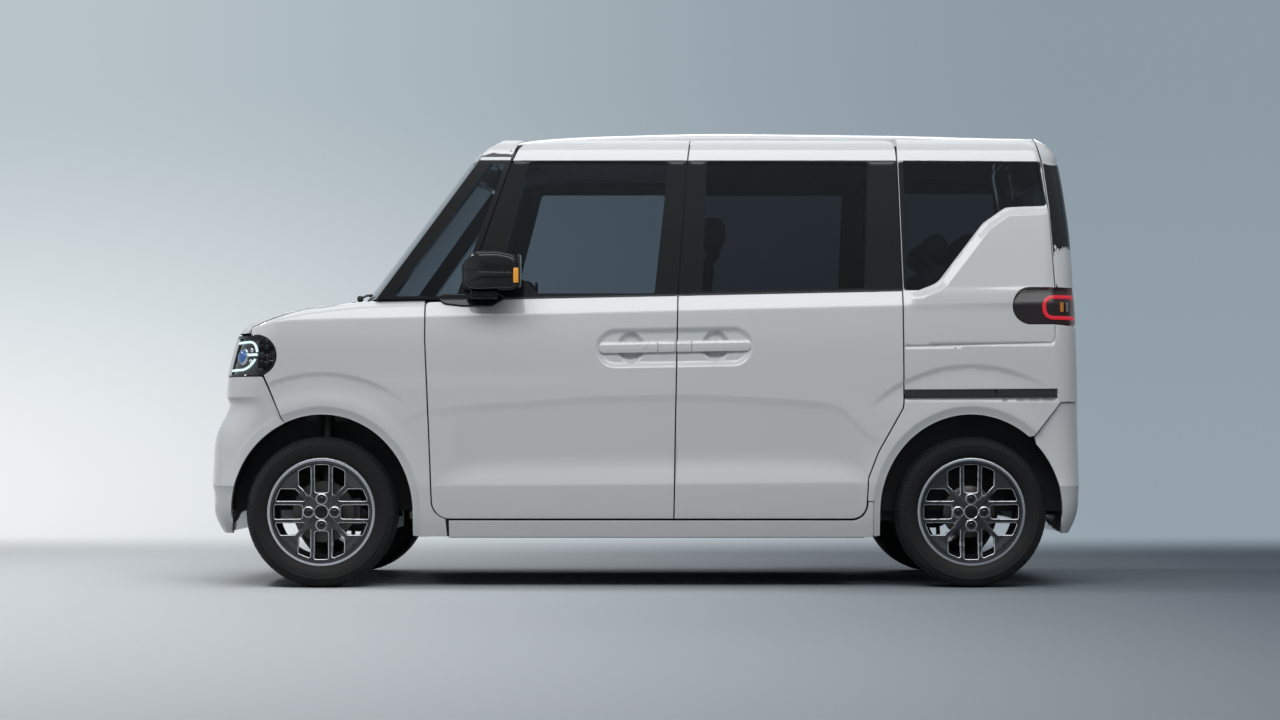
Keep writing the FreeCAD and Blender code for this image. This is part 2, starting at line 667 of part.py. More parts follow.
def rear_bumper():
    """The rear bumper cover, wrapped round to the wheel arches."""
    outline = [
        (1800, 190), (1590, 190), (1499, 578), (1603, REAR_BUMPER_TOP_Z), (1800, REAR_BUMPER_TOP_Z),
    ]
    cover = cabin_wall(0.0, SKIN).common(prism_xz(outline, -900, 900, offset=-SHUT_GAP / 2))
    for side in (-900, 300):
        cover = cover.cut(arch_space(REAR_AXLE_X, side, side + 600))
    gate = box(1600, 1800, -TAILGATE_HALF_LOWER - 5, TAILGATE_HALF_LOWER + 5, TAILGATE_BOTTOM_Z, 900)
    return cover.cut(gate).common(box(1300, 1800, -900, 900, SILL_BOTTOM_Z + 16, 900))


def tailgate():
    """The tailgate: skin round the rear corners above the lamps, inner box and window opening."""
    def zone(inset):
        upper = prism_xz(TAILGATE_UPPER, -900, 900, offset=-inset)
        half = TAILGATE_HALF_LOWER - inset
        lower = box(1600, 1850, -half, half, TAILGATE_BOTTOM_Z + inset, 1200)
        return upper.fuse(lower)

    skin = cabin_wall(0.0, SKIN).common(zone(SHUT_GAP / 2))
    inner = cabin_wall(SKIN, WALL).common(zone(BOX_INSET))
    gate = skin.fuse(inner).cut(prism_yz(REAR_WINDOW, 1400, 1800))
    return plate_pad(gate, REAR_PLATE_X - 22, REAR_PLATE_X, REAR_PLATE_Z)


def tailgate_glass():
    """The rear window's pane."""
    return cabin_wall(GLASS_OUT, GLASS_IN).common(prism_yz(REAR_WINDOW, 1400, 1800, offset=-FIT))


def roof_panel():
    """The roof skin between its side seams, the windscreen and the tailgate."""
    edge = ROOF_SEAM_Y - SHUT_GAP / 2
    return cabin_wall(0.0, SKIN).common(box(-800, 1524 - SHUT_GAP / 2, -edge, edge, 1652 + 1, 1900))


FLOOR_Z = 262.0
FLOOR_THICKNESS = 30.0
REAR_FLOOR_Z = 480.0
FLOOR_HALF = 636.0
WHEELHOUSE_INNER_Y = 525.0
FRONT_LINER_OUTER_Y = 680.0
REAR_LINER_OUTER_Y = 632.0
ENGINE_BAY_HALF = 395.0
BULKHEAD_X = -905.0
FRONT_PLINTH_HEIGHT = 160.0
REAR_PLINTH_HEIGHT = 210.0


def underbody():
    """Floor, bulkhead, rear floor and front rails, as one welded piece."""
    top = FLOOR_Z + FLOOR_THICKNESS
    pieces = [box(BULKHEAD_X, 900, -FLOOR_HALF, FLOOR_HALF, FLOOR_Z, top)]
    pieces.append(box(BULKHEAD_X, BULKHEAD_X + 25, -FLOOR_HALF, FLOOR_HALF, FLOOR_Z, 1085))
    pieces.append(box(870, 900, -FLOOR_HALF + 60, FLOOR_HALF - 60, FLOOR_Z, REAR_FLOOR_Z + 20))
    pieces.append(box(870, 1640, -WHEELHOUSE_INNER_Y, WHEELHOUSE_INNER_Y, REAR_FLOOR_Z, REAR_FLOOR_Z + 20))
    pieces.append(box(1600, 1630, -WHEELHOUSE_INNER_Y, WHEELHOUSE_INNER_Y, 330, REAR_FLOOR_Z + 20))
    latch_x = REAR_END_X - interpolate(TAIL_SETBACK, 620) - WALL - FIT
    pieces.append(box(1600, latch_x, -40, 40, REAR_FLOOR_Z, 620))
    rail_edge = ENGINE_BAY_HALF - LINER_THICKNESS - FIT
    for sign in (-1, 1):
        rail_low, rail_high = sorted((sign * 330, sign * rail_edge))
        pieces.append(box(-1600, BULKHEAD_X, rail_low, rail_high, 330, 400))
    pieces.append(box(-1600, -1570, -rail_edge, rail_edge, 330, 400))
    body = join(pieces)
    for axle_x, inner_y in ((FRONT_AXLE_X, ENGINE_BAY_HALF), (REAR_AXLE_X, WHEELHOUSE_INNER_Y)):
        shell = LINER_RADIUS + LINER_THICKNESS + FIT
        wall = inner_y - LINER_THICKNESS - FIT
        for low, high in ((-900, -wall), (wall, 900)):
            drum = drum_between(axle_x, shell, low, high)
            body = body.cut(drum.common(box(axle_x - 500, axle_x + 500, low, high, TYRE_RADIUS - FIT, 900)))
    return body


def front_wheelhouse():
    """The left front wheel's liner with the box that carries the strut."""
    body = wheelhouse(FRONT_AXLE_X, ENGINE_BAY_HALF, FRONT_LINER_OUTER_Y, -1).fuse(strut_tower(-1))
    body = body.cut(rod(kingpin_at(560, -1), kingpin_at(STRUT_TOP_Z - 20, -1), SPRING_SEAT_RADIUS + 7))
    return body.common(nose_body(SKIN + FIT))


def rear_wheelhouse():
    """The left rear wheel's liner, with the hole for the wheel's spindle."""
    body = wheelhouse(REAR_AXLE_X, WHEELHOUSE_INNER_Y, REAR_LINER_OUTER_Y, -1)
    return body.cut(drum_between(REAR_AXLE_X, SPINDLE_RADIUS + 10, -WHEELHOUSE_INNER_Y - 10, -WHEELHOUSE_INNER_Y + 20))


def wheelhouse(axle_x, inner_y, outer_y, sign):
    """A wheel's liner: half a drum over the tyre with its inner wall."""
    def half(radius, y_from, y_to):
        low, high = sorted((sign * y_from, sign * y_to))
        drum = drum_between(axle_x, radius, low, high)
        return drum.common(box(axle_x - 500, axle_x + 500, low, high, TYRE_RADIUS, 900))

    shell = half(LINER_RADIUS + LINER_THICKNESS, inner_y - LINER_THICKNESS, outer_y)
    return shell.cut(half(LINER_RADIUS, inner_y, outer_y + 10))


def kingpin_at(z, sign):
    """The kingpin line's point at a height."""
    y = KINGPIN_Y - (z - TYRE_RADIUS) * math.tan(KINGPIN_LEAN)
    return Vector(FRONT_AXLE_X, sign * y, z)


def strut_tower(sign):
    """The box that carries the top of a front strut."""
    y_in, y_out = sorted((sign * ENGINE_BAY_HALF, sign * 560))
    tower = box(FRONT_AXLE_X - 80, FRONT_AXLE_X + 80, y_in, y_out, 640, STRUT_TOP_Z + 8)
    hollow_in, hollow_out = sorted((sign * (ENGINE_BAY_HALF + 6), sign * 554))
    return tower.cut(box(FRONT_AXLE_X - 74, FRONT_AXLE_X + 74, hollow_in, hollow_out, 600, STRUT_TOP_Z))


def revolve_y(profile, centre_x, centre_z, centre_y=0.0):
    """A ring from a closed (radius, y) profile about a crosswise axis."""
    points = [Vector(centre_x, centre_y + y, centre_z + r) for r, y in profile]
    face = Part.Face(Part.makePolygon(points + points[:1]))
    return face.revolve(Vector(centre_x, 0, centre_z), Vector(0, 1, 0), 360)


def tyre(axle_x, half_track):
    """A left tyre, with the centre of its tread at half the track."""
    half = TYRE_WIDTH / 2
    bead = RIM_RADIUS + FIT
    seat = RIM_WIDTH / 2 - FIT
    profile = [
        (bead, seat - 2), (bead + 17.5, seat), (bead + 21, half - 14), (bead + 42, half), (TYRE_RADIUS - 28, half - 3),
        (TYRE_RADIUS - 9, half - 13), (TYRE_RADIUS - 2, half - 26), (TYRE_RADIUS, half - 50),
        (TYRE_RADIUS, -half + 50), (TYRE_RADIUS - 2, -half + 26), (TYRE_RADIUS - 9, -half + 13),
        (TYRE_RADIUS - 28, -half + 3), (bead + 42, -half), (bead + 21, -half + 14), (bead + 17.5, -seat),
        (bead, -seat + 2), (bead, -seat + 14), (bead + 30, -seat + 6), (bead + 60, -half + 26),
        (bead + 60, half - 26), (bead + 30, seat - 6), (bead, seat - 14),
    ]
    return revolve_y(profile, axle_x, TYRE_RADIUS, -half_track)


def slot_prism(points, turn, y_low, y_high):
    """A spoke gap's outline about the wheel's centre, turned and swept along the axle."""
    prism = prism_xz(points, y_low, y_high)
    prism.rotate(Vector(0, 0, 0), Vector(0, 1, 0), turn)
    return prism


def rim(axle_x, half_track, drum):
    """A left wheel: barrel, a face of paired straight spokes, and the hub and brake that turn with it."""
    half = RIM_WIDTH / 2
    r = RIM_RADIUS
    barrel = revolve_y(
        [
            (r, half - 2), (r + 17, half), (r + 17, half + 7), (r - 6, half + 6), (r - 11, half - 30),
            (r - 28, 8), (r - 28, -half + 30), (r - 8, -half - 6), (r + 17, -half - 7), (r + 17, -half),
            (r, -half + 2), (r, -half + 26), (r - 22, -half + 36), (r - 22, 4), (r, half - 22),
        ],
        0, 0,
    )
    face = revolve_y(
        [(LUG_CIRCLE_RADIUS + 16, -30), (r - 8, -46), (r - 8, -56), (LUG_CIRCLE_RADIUS + 16, -50), (0, -50), (0, -14), (44, -14)],
        0, 0,
    )
    for quarter in range(4):
        turn = 90.0 * quarter
        face = face.cut(slot_prism([(-22, 72, 5), (22, 72, 5), (25, 180, 8), (-25, 180, 8)], turn, -80, 0))
        for flip in (1, -1):
            gap = [(flip * 48, 67, 5), (flip * 84, 101, 5), (flip * 84, 162, 8), (flip * 48, 174, 8)]
            face = face.cut(slot_prism(gap, turn, -80, 0))
        angle = math.radians(45 + turn)
        lug = Vector(LUG_CIRCLE_RADIUS * math.cos(angle), -80, LUG_CIRCLE_RADIUS * math.sin(angle))
        face = face.cut(Part.makeCylinder(LUG_HOLE_RADIUS * 2, 40, lug, Vector(0, 1, 0)))
    hub = revolve_y([(0, -14), (HUB_RADIUS, -14), (HUB_RADIUS, 36), (0, 36)], 0, 0)
    if drum:
        brake = revolve_y([(0, 6), (100, 6), (100, 52), (0, 52)], 0, 0)
    else:
        brake = revolve_y([(0, 14), (DISC_RADIUS, 14), (DISC_RADIUS, 30), (0, 30)], 0, 0)
    wheel = join([barrel, face, hub, brake])
    bore = Part.makeCylinder(SPINDLE_RADIUS + RUNNING_CLEARANCE, 90, Vector(0, -5, 0), Vector(0, 1, 0))
    wheel = wheel.cut(bore)
    wheel.translate(Vector(axle_x, -half_track, TYRE_RADIUS))
    return wheel


def knuckle():
    """The left steering knuckle with its spindle, brake caliper and strut."""
    sign = -1
    y_hub = -FRONT_HALF_TRACK + 36
    upright = box(FRONT_AXLE_X - 38, FRONT_AXLE_X + 38, y_hub + 5, -KINGPIN_Y + 22, ARM_Z[1] + 8, 372)
    ball_pin = rod(kingpin_at(ARM_Z[0] + 2, sign), kingpin_at(ARM_Z[1] + 10, sign), BALL_PIN_RADIUS)
    spindle = Part.makeCylinder(SPINDLE_RADIUS, 60, Vector(FRONT_AXLE_X, y_hub - 35, TYRE_RADIUS), Vector(0, 1, 0))
    strut = rod(kingpin_at(330, sign), kingpin_at(STRUT_TOP_Z - 60, sign), STRUT_RADIUS)
    piston = rod(kingpin_at(STRUT_TOP_Z - 62, sign), kingpin_at(STRUT_TOP_Z - 4, sign), 10)
    seat = rod(kingpin_at(655, sign), kingpin_at(661, sign), SPRING_SEAT_RADIUS)
    spring = rod(kingpin_at(659, sign), kingpin_at(STRUT_TOP_Z - 30, sign), SPRING_SEAT_RADIUS - 16)
    arm = box(FRONT_AXLE_X - 120, FRONT_AXLE_X - 20, y_hub + 6, y_hub + 26, 275, 305)
    caliper = box(FRONT_AXLE_X + 70, FRONT_AXLE_X + 138, y_hub + 5, y_hub + 40, 240, 340)
    bridge = box(FRONT_AXLE_X + 30, FRONT_AXLE_X + 90, y_hub + 5, y_hub + 30, 265, 315)
    return join([upright, ball_pin, spindle, strut, piston, seat, spring, arm, bridge, caliper])


def front_subframe():
    """The front crossmember with its lower arms."""
    pieces = [box(FRONT_AXLE_X - 60, FRONT_AXLE_X + 220, -330, 330, 205, 250)]
    for sign in (-1, 1):
        foot = kingpin_at(sum(ARM_Z) / 2, sign)
        low, high = sorted((sign * 320, foot.y))
        arm = box(FRONT_AXLE_X - 25, FRONT_AXLE_X + 25, low, high, *ARM_Z)
        eye = Part.makeCylinder(25, ARM_Z[1] - ARM_Z[0], Vector(FRONT_AXLE_X, foot.y, ARM_Z[0]))
        bore = rod(kingpin_at(ARM_Z[0] - 20, sign), kingpin_at(ARM_Z[1] + 20, sign), BALL_PIN_RADIUS + FIT)
        pieces.append(arm.fuse(eye).cut(bore))
        rail_low, rail_high = sorted((sign * 280, sign * 330))
        pieces.append(box(FRONT_AXLE_X + 150, FRONT_AXLE_X + 220, rail_low, rail_high, 240, 330 - FIT))
        mount_low, mount_high = sorted((sign * 270, sign * (ENGINE_BAY_HALF - LINER_THICKNESS - FIT)))
        pieces.append(box(FRONT_AXLE_X + 150, FRONT_AXLE_X + 220, mount_low, mount_high, 300, 330 - FIT))
    return join(pieces)


def rear_axle():
    """The torsion beam, its trailing arms and the spindles of the rear wheels."""
    beam = rod((REAR_AXLE_X - 150, -470, 275), (REAR_AXLE_X - 150, 470, 275), 38)
    pieces = [beam]
    for sign in (-1, 1):
        low, high = sorted((sign * 430, sign * 478))
        pieces.append(box(REAR_AXLE_X - 340, REAR_AXLE_X + 45, low, high, 250, 305))
        inner, outer = sorted((sign * 470, sign * (REAR_HALF_TRACK + 2)))
        pieces.append(Part.makeCylinder(SPINDLE_RADIUS, outer - inner, Vector(REAR_AXLE_X, inner, TYRE_RADIUS), Vector(0, 1, 0)))
        pieces.append(rod((REAR_AXLE_X + 20, sign * 454, 300), (REAR_AXLE_X + 20, sign * 454, REAR_FLOOR_Z - FIT), 45))
        pieces.append(rod((REAR_AXLE_X - 315, sign * 454, 260), (REAR_AXLE_X - 315, sign * 454, REAR_FLOOR_Z - FIT), 20))
    return join(pieces)


def mirror():
    """The left door mirror on its foot."""
    shell = prism_xz([(-690, 1135, 30), (-500, 1121, 40), (-468, 1160, 25), (-474, 1270, 40), (-640, 1296, 60), (-703, 1240, 50)], -890, -745)
    round_off = prism_xy([(-703, -745, 20), (-703, -800, 40), (-620, -890, 50), (-500, -890, 30), (-466, -745, 10)], 1100, 1300)
    shell = shell.common(round_off)
    glass_well = box(-480, -460, -878, -757, 1140, 1262)
    neck = box(-640, -580, -760, -690, 1125, 1165)
    foot = left_wall(-FLARE_STAND, 0.0).common(prism_xz([(-770, 1112, 8), (-540, 1112, 8), (-540, 1150, 8), (-690, 1150, 8)], *LEFT_SIDE))
    foot_zone = box(-900, -300, -760, -690, 1100, 1160)
    neck = neck.cut(left_body(0.0))
    return join([shell.cut(glass_well), neck, foot.common(foot_zone)])


def dashboard():
    """The dashboard, with the steering column's stub."""
    back = BULKHEAD_X + 25 + FIT
    profile = [(back, 760), (back, 1070, 30), (-720, 1090, 40), (-640, 1030, 40), (-640, 900, 30), (-720, 760, 30)]
    bore = Part.makeCylinder(COLUMN_RADIUS + FIT, 300, STEERING_CENTRE - COLUMN_WAY * 180, COLUMN_WAY)
    return prism_xz(profile, -560, 560).cut(bore)


STEERING_Y = 350.0
STEERING_CENTRE = Vector(-560, STEERING_Y, 960)
COLUMN_LEAN = math.radians(28.0)
COLUMN_RADIUS = 17.0
COLUMN_WAY = Vector(math.cos(COLUMN_LEAN), 0, math.sin(COLUMN_LEAN))


def steering_wheel():
    """The steering wheel: ring, hub, three spokes and the shaft that enters the dashboard."""
    centre = STEERING_CENTRE
    ring = Part.makeTorus(175, 14, centre, COLUMN_WAY)
    hub = Part.makeCylinder(55, 40, centre - COLUMN_WAY * 30, COLUMN_WAY)
    shaft = Part.makeCylinder(COLUMN_RADIUS, 150, centre - COLUMN_WAY * 170, COLUMN_WAY)
    across = Part.makeCylinder(12, 350, centre - Vector(0, 175, 0), Vector(0, 1, 0))
    down_way = Vector(math.sin(COLUMN_LEAN), 0, -math.cos(COLUMN_LEAN))
    down = Part.makeCylinder(12, 175, centre, down_way)
    return join([ring, hub, shaft, across, down])


def seats():
    """Two front seats and the rear bench, each as a plain soft cushion and back."""
    floor = FLOOR_Z + FLOOR_THICKNESS + FIT + FRONT_PLINTH_HEIGHT
    bench = FLOOR_Z + FLOOR_THICKNESS + FIT + REAR_PLINTH_HEIGHT
    cushion = [(-330, floor, 20), (-330, floor + 200, 50), (30, floor + 170), (75, floor)]
    back = [(31, floor + 170), (200, 1290, 40), (310, 1290, 40), (160, floor, 20), (76, floor)]
    bench_top = bench + 182
    bench_cushion = [(620, bench, 20), (620, bench_top, 50), (1060, bench_top, 10), (1060, bench, 20)]
    bench_back = [(1003, bench_top + FIT), (1120, 1270, 40), (1230, 1270, 40), (1125, bench_top + FIT)]
    bench_half = WHEELHOUSE_INNER_Y - LINER_THICKNESS - 5
    pieces = []
    for low, high in ((-585, -35), (35, 585)):
        pieces += [prism_xz(cushion, low, high), prism_xz(back, low, high)]
    pieces += [prism_xz(bench_cushion, -bench_half, bench_half), prism_xz(bench_back, -560, 560)]
    return Part.makeCompound(pieces)


def seat_bases():
    """The plinths under the seats."""
    floor = FLOOR_Z + FLOOR_THICKNESS + FIT
    return Part.makeCompound([
        box(-280, 120, -560, -60, floor, floor + FRONT_PLINTH_HEIGHT - FIT),
        box(-280, 120, 60, 560, floor, floor + FRONT_PLINTH_HEIGHT - FIT),
        box(640, 860, -540, 540, floor, floor + REAR_PLINTH_HEIGHT - FIT),
    ])


def exhaust():
    """The pipe along the floor and the silencer at the tail."""
    muffler = rod((1480, -360, 330), (1480, 60, 330), 75)
    tail = rod((1480, -300, 300), (1640, -300, 262), 20)
    pipe = rod((-950, 60, 236), (925, 60, 236), 22)
    over = rod((925, 60, 236), (1060, 30, 372), 22)
    down = rod((1060, 30, 372), (1480, 0, 340), 22)
    hanger = rod((1480, -150, 400), (1480, -150, REAR_FLOOR_Z - FIT), 10)
    return join([muffler, tail, pipe, over, down, hanger])


def engine_block():
    """The engine and gearbox as one plain block at its real size and place."""
    length, width, height = ENGINE_SIZE
    x = FRONT_AXLE_X - 60
    return box(x - length / 2, x + length / 2, -width / 2, width / 2, 250 + FIT, 250 + height)


def export(name, shape):
    """Write one piece to its own STEP file."""
    shape.exportStep(os.path.join("parts", name + ".step"))


def build():
    """Every piece of the car by name."""
    pieces = {
        "underbody": underbody(),
        "roof_panel": roof_panel(),
        "windscreen": windscreen(),
        "hood": hood(),
        "cowl": cowl(),
        "front_bumper": front_bumper(),
        "grille": grille(),
        "rear_bumper": rear_bumper(),
        "tailgate": tailgate(),
        "tailgate_glass": tailgate_glass(),
        "front_subframe": front_subframe(),
        "rear_axle": rear_axle(),
        "dashboard": dashboard(),
        "steering_wheel": steering_wheel(),
        "seats": seats(),
        "seat_bases": seat_bases(),
        "exhaust": exhaust(),
        "engine_block": engine_block(),
    }
    both = {
        "side_frame": side_frame(),
        "front_wheelhouse": front_wheelhouse(),
        "rear_wheelhouse": rear_wheelhouse(),
        "quarter_panel": quarter_panel(),
        "fender": fender(),
        "front_door": front_door(),
        "front_door_glass": side_glass(FRONT_DOOR_WINDOW),
        "sliding_door": sliding_door(),
        "mirror": mirror(),
        "knuckle": knuckle(),
        "front_tyre": tyre(FRONT_AXLE_X, FRONT_HALF_TRACK),
        "front_rim": rim(FRONT_AXLE_X, FRONT_HALF_TRACK, False),
        "rear_tyre": tyre(REAR_AXLE_X, REAR_HALF_TRACK),
        "rear_rim": rim(REAR_AXLE_X, REAR_HALF_TRACK, True),
    }
    for name, shape in both.items():
        pieces[name + "_left"] = shape
        pieces[name + "_right"] = mirrored(shape)
    shared = {
        "headlamps": [headlamp()],
        "tail_lamps": [tail_lamp()],
        "front_quarter_glass": [side_glass(FRONT_QUARTER_WINDOW)],
        "rear_side_glass": [side_glass(REAR_DOOR_WINDOW), side_glass(REAR_QUARTER_WINDOW)],
    }
    for name, shapes in shared.items():
        pieces[name] = Part.makeCompound(shapes + [mirrored(shape) for shape in shapes])
    return pieces


os.makedirs("parts", exist_ok=True)
for piece_name, piece_shape in build().items():
    export(piece_name, piece_shape)
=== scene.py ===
import json
import logging
import math
from dataclasses import dataclass, field
from enum import Enum
from typing import Callable, Iterable, Sequence

import bmesh
import bpy
import numpy as np
from mathutils import Matrix, Vector
from mathutils.geometry import delaunay_2d_cdt


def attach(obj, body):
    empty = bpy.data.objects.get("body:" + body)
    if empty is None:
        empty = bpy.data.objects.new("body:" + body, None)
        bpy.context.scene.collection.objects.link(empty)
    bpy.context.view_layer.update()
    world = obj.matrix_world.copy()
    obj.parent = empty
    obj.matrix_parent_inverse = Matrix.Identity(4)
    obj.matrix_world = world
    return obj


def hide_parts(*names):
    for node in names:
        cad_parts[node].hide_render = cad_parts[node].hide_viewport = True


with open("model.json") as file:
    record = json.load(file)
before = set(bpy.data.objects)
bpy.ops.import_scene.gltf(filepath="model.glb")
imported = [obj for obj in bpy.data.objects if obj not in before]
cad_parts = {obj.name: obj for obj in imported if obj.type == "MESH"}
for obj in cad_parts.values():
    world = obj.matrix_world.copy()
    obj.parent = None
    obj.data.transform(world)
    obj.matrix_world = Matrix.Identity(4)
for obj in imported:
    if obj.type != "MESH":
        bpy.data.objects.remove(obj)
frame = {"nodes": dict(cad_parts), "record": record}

LOG = logging.getLogger("kei_car")
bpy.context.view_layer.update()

MM = 0.001
TINY = 1e-9
MIRRORED = np.array((1.0, -1.0, 1.0))

Colour = tuple[float, float, float]
Points = np.ndarray
Input = bpy.types.NodeSocket | float


# Shader groups shared by several finishes

class Effect(Enum):
    """The shader groups, by the name each has in the file."""

    GRAIN = "moulded_grain"
    DUST = "road_dust"
    FLAKE = "paint_flake"
    WEAVE = "cloth_weave"


@dataclass(frozen=True)
class EffectGroup:
    """One shader node group with named inputs and outputs."""

    effect: Effect
    inputs: tuple[tuple[str, float], ...]
    outputs: tuple[str, ...]

    def start(self) -> tuple[bpy.types.NodeTree, bpy.types.Node, bpy.types.Node]:
        """Make the empty group.

        Returns:
            The node tree, its input node and its output node.
        """
        tree = bpy.data.node_groups.new(self.effect.value, "ShaderNodeTree")
        for name, value in self.inputs:
            socket = tree.interface.new_socket(name, in_out="INPUT", socket_type="NodeSocketFloat")
            socket.default_value = value
        for name in self.outputs:
            tree.interface.new_socket(name, in_out="OUTPUT", socket_type="NodeSocketFloat")
        entry = tree.nodes.new("NodeGroupInput")
        leave = tree.nodes.new("NodeGroupOutput")
        return tree, entry, leave


def link_noise(tree: bpy.types.NodeTree, scale: Input, detail: float) -> bpy.types.Node:
    """Add a noise texture on object coordinates to a tree.

    Args:
        tree: The tree to add to.
        scale: The texture's scale, as a number or as the socket that gives it.
        detail: The texture's octaves.

    Returns:
        The noise node.
    """
    coordinates = tree.nodes.new("ShaderNodeTexCoord")
    noise = tree.nodes.new("ShaderNodeTexNoise")
    noise.inputs["Detail"].default_value = detail
    tree.links.new(coordinates.outputs["Object"], noise.inputs["Vector"])
    if isinstance(scale, float):
        noise.inputs["Scale"].default_value = scale
    else:
        tree.links.new(scale, noise.inputs["Scale"])
    return noise


def link_math(tree: bpy.types.NodeTree, operation: str, first: Input, second: Input) -> bpy.types.NodeSocket:
    """Add a math node whose inputs are numbers or sockets.

    Args:
        tree: The tree to add to.
        operation: Blender's name of the operation.
        first: The first input.
        second: The second input.

    Returns:
        The node's output socket.
    """
    node = tree.nodes.new("ShaderNodeMath")
    node.operation = operation
    for slot_number, value in enumerate((first, second)):
        if isinstance(value, (int, float)):
            node.inputs[slot_number].default_value = value
        else:
            tree.links.new(value, node.inputs[slot_number])
    return node.outputs[0]


def link_mix(
    tree: bpy.types.NodeTree, factor: bpy.types.NodeSocket, first: Colour | bpy.types.NodeSocket,
    second: Colour | bpy.types.NodeSocket,
) -> bpy.types.NodeSocket:
    """Mix two colours, each plain or from a node.

    Args:
        tree: The tree to add to.
        factor: The share of the second colour.
        first: The first colour.
        second: The second colour.

    Returns:
        The mixed colour's socket.
    """
    mix = tree.nodes.new("ShaderNodeMix")
    mix.data_type = "RGBA"
    tree.links.new(factor, mix.inputs["Factor"])
    for name, colour in (("A", first), ("B", second)):
        if isinstance(colour, tuple):
            mix.inputs[name].default_value = (*colour, 1.0)
        else:
            tree.links.new(colour, mix.inputs[name])
    return mix.outputs["Result"]


def link_axes(tree: bpy.types.NodeTree, kind: str) -> list[bpy.types.NodeSocket]:
    """The X, Y and Z sockets of a tree's coordinates of one kind."""
    place = tree.nodes.new("ShaderNodeTexCoord")
    split = tree.nodes.new("ShaderNodeSeparateXYZ")
    tree.links.new(place.outputs[kind], split.inputs["Vector"])
    return [split.outputs[name] for name in "XYZ"]


def build_effects() -> None:
    """Build every shared shader group once."""
    grain = EffectGroup(Effect.GRAIN, (("Scale", 900.0), ("Depth", 1.0)), ("Height", "Mask"))
    tree, entry, leave = grain.start()
    noise = link_noise(tree, entry.outputs["Scale"], 3.0)
    height = link_math(tree, "MULTIPLY", noise.outputs["Fac"], entry.outputs["Depth"])
    tree.links.new(height, leave.inputs["Height"])
    tree.links.new(noise.outputs["Fac"], leave.inputs["Mask"])

    dust = EffectGroup(Effect.DUST, (("Reach", 0.35), ("Amount", 1.0)), ("Mask",))
    tree, entry, leave = dust.start()
    share = link_math(tree, "DIVIDE", link_axes(tree, "Object")[2], entry.outputs["Reach"])
    low = link_math(tree, "SUBTRACT", 1.0, share)
    cut = link_math(tree, "MAXIMUM", low, 0.0)
    noise = link_noise(tree, 14.0, 6.0)
    patchy = link_math(tree, "MULTIPLY", cut, noise.outputs["Fac"])
    amount = link_math(tree, "MULTIPLY", patchy, entry.outputs["Amount"])
    tree.links.new(amount, leave.inputs["Mask"])

    flake = EffectGroup(Effect.FLAKE, (("Scale", 2600.0), ("Depth", 1.0)), ("Mask", "Height"))
    tree, entry, leave = flake.start()
    coordinates = tree.nodes.new("ShaderNodeTexCoord")
    cells = tree.nodes.new("ShaderNodeTexVoronoi")
    tree.links.new(coordinates.outputs["Object"], cells.inputs["Vector"])
    tree.links.new(entry.outputs["Scale"], cells.inputs["Scale"])
    tree.links.new(cells.outputs["Distance"], leave.inputs["Mask"])
    peel = link_noise(tree, 160.0, 1.0)
    depth = link_math(tree, "MULTIPLY", peel.outputs["Fac"], entry.outputs["Depth"])
    tree.links.new(depth, leave.inputs["Height"])

    weave = EffectGroup(Effect.WEAVE, (("Pitch", 700.0), ("Depth", 1.0)), ("Height", "Mask"))
    tree, entry, leave = weave.start()
    waves = []
    for axis in link_axes(tree, "Object"):
        phase = link_math(tree, "MULTIPLY", axis, entry.outputs["Pitch"])
        waves.append(link_math(tree, "SINE", phase, 0.0))
    crossed = link_math(tree, "ADD", link_math(tree, "MULTIPLY", waves[0], waves[1]), waves[2])
    height = link_math(tree, "MULTIPLY", crossed, entry.outputs["Depth"])
    tree.links.new(height, leave.inputs["Height"])
    noise = link_noise(tree, 60.0, 4.0)
    tree.links.new(noise.outputs["Fac"], leave.inputs["Mask"])


# Finishes

DUST_COLOUR: Colour = (0.30, 0.28, 0.25)


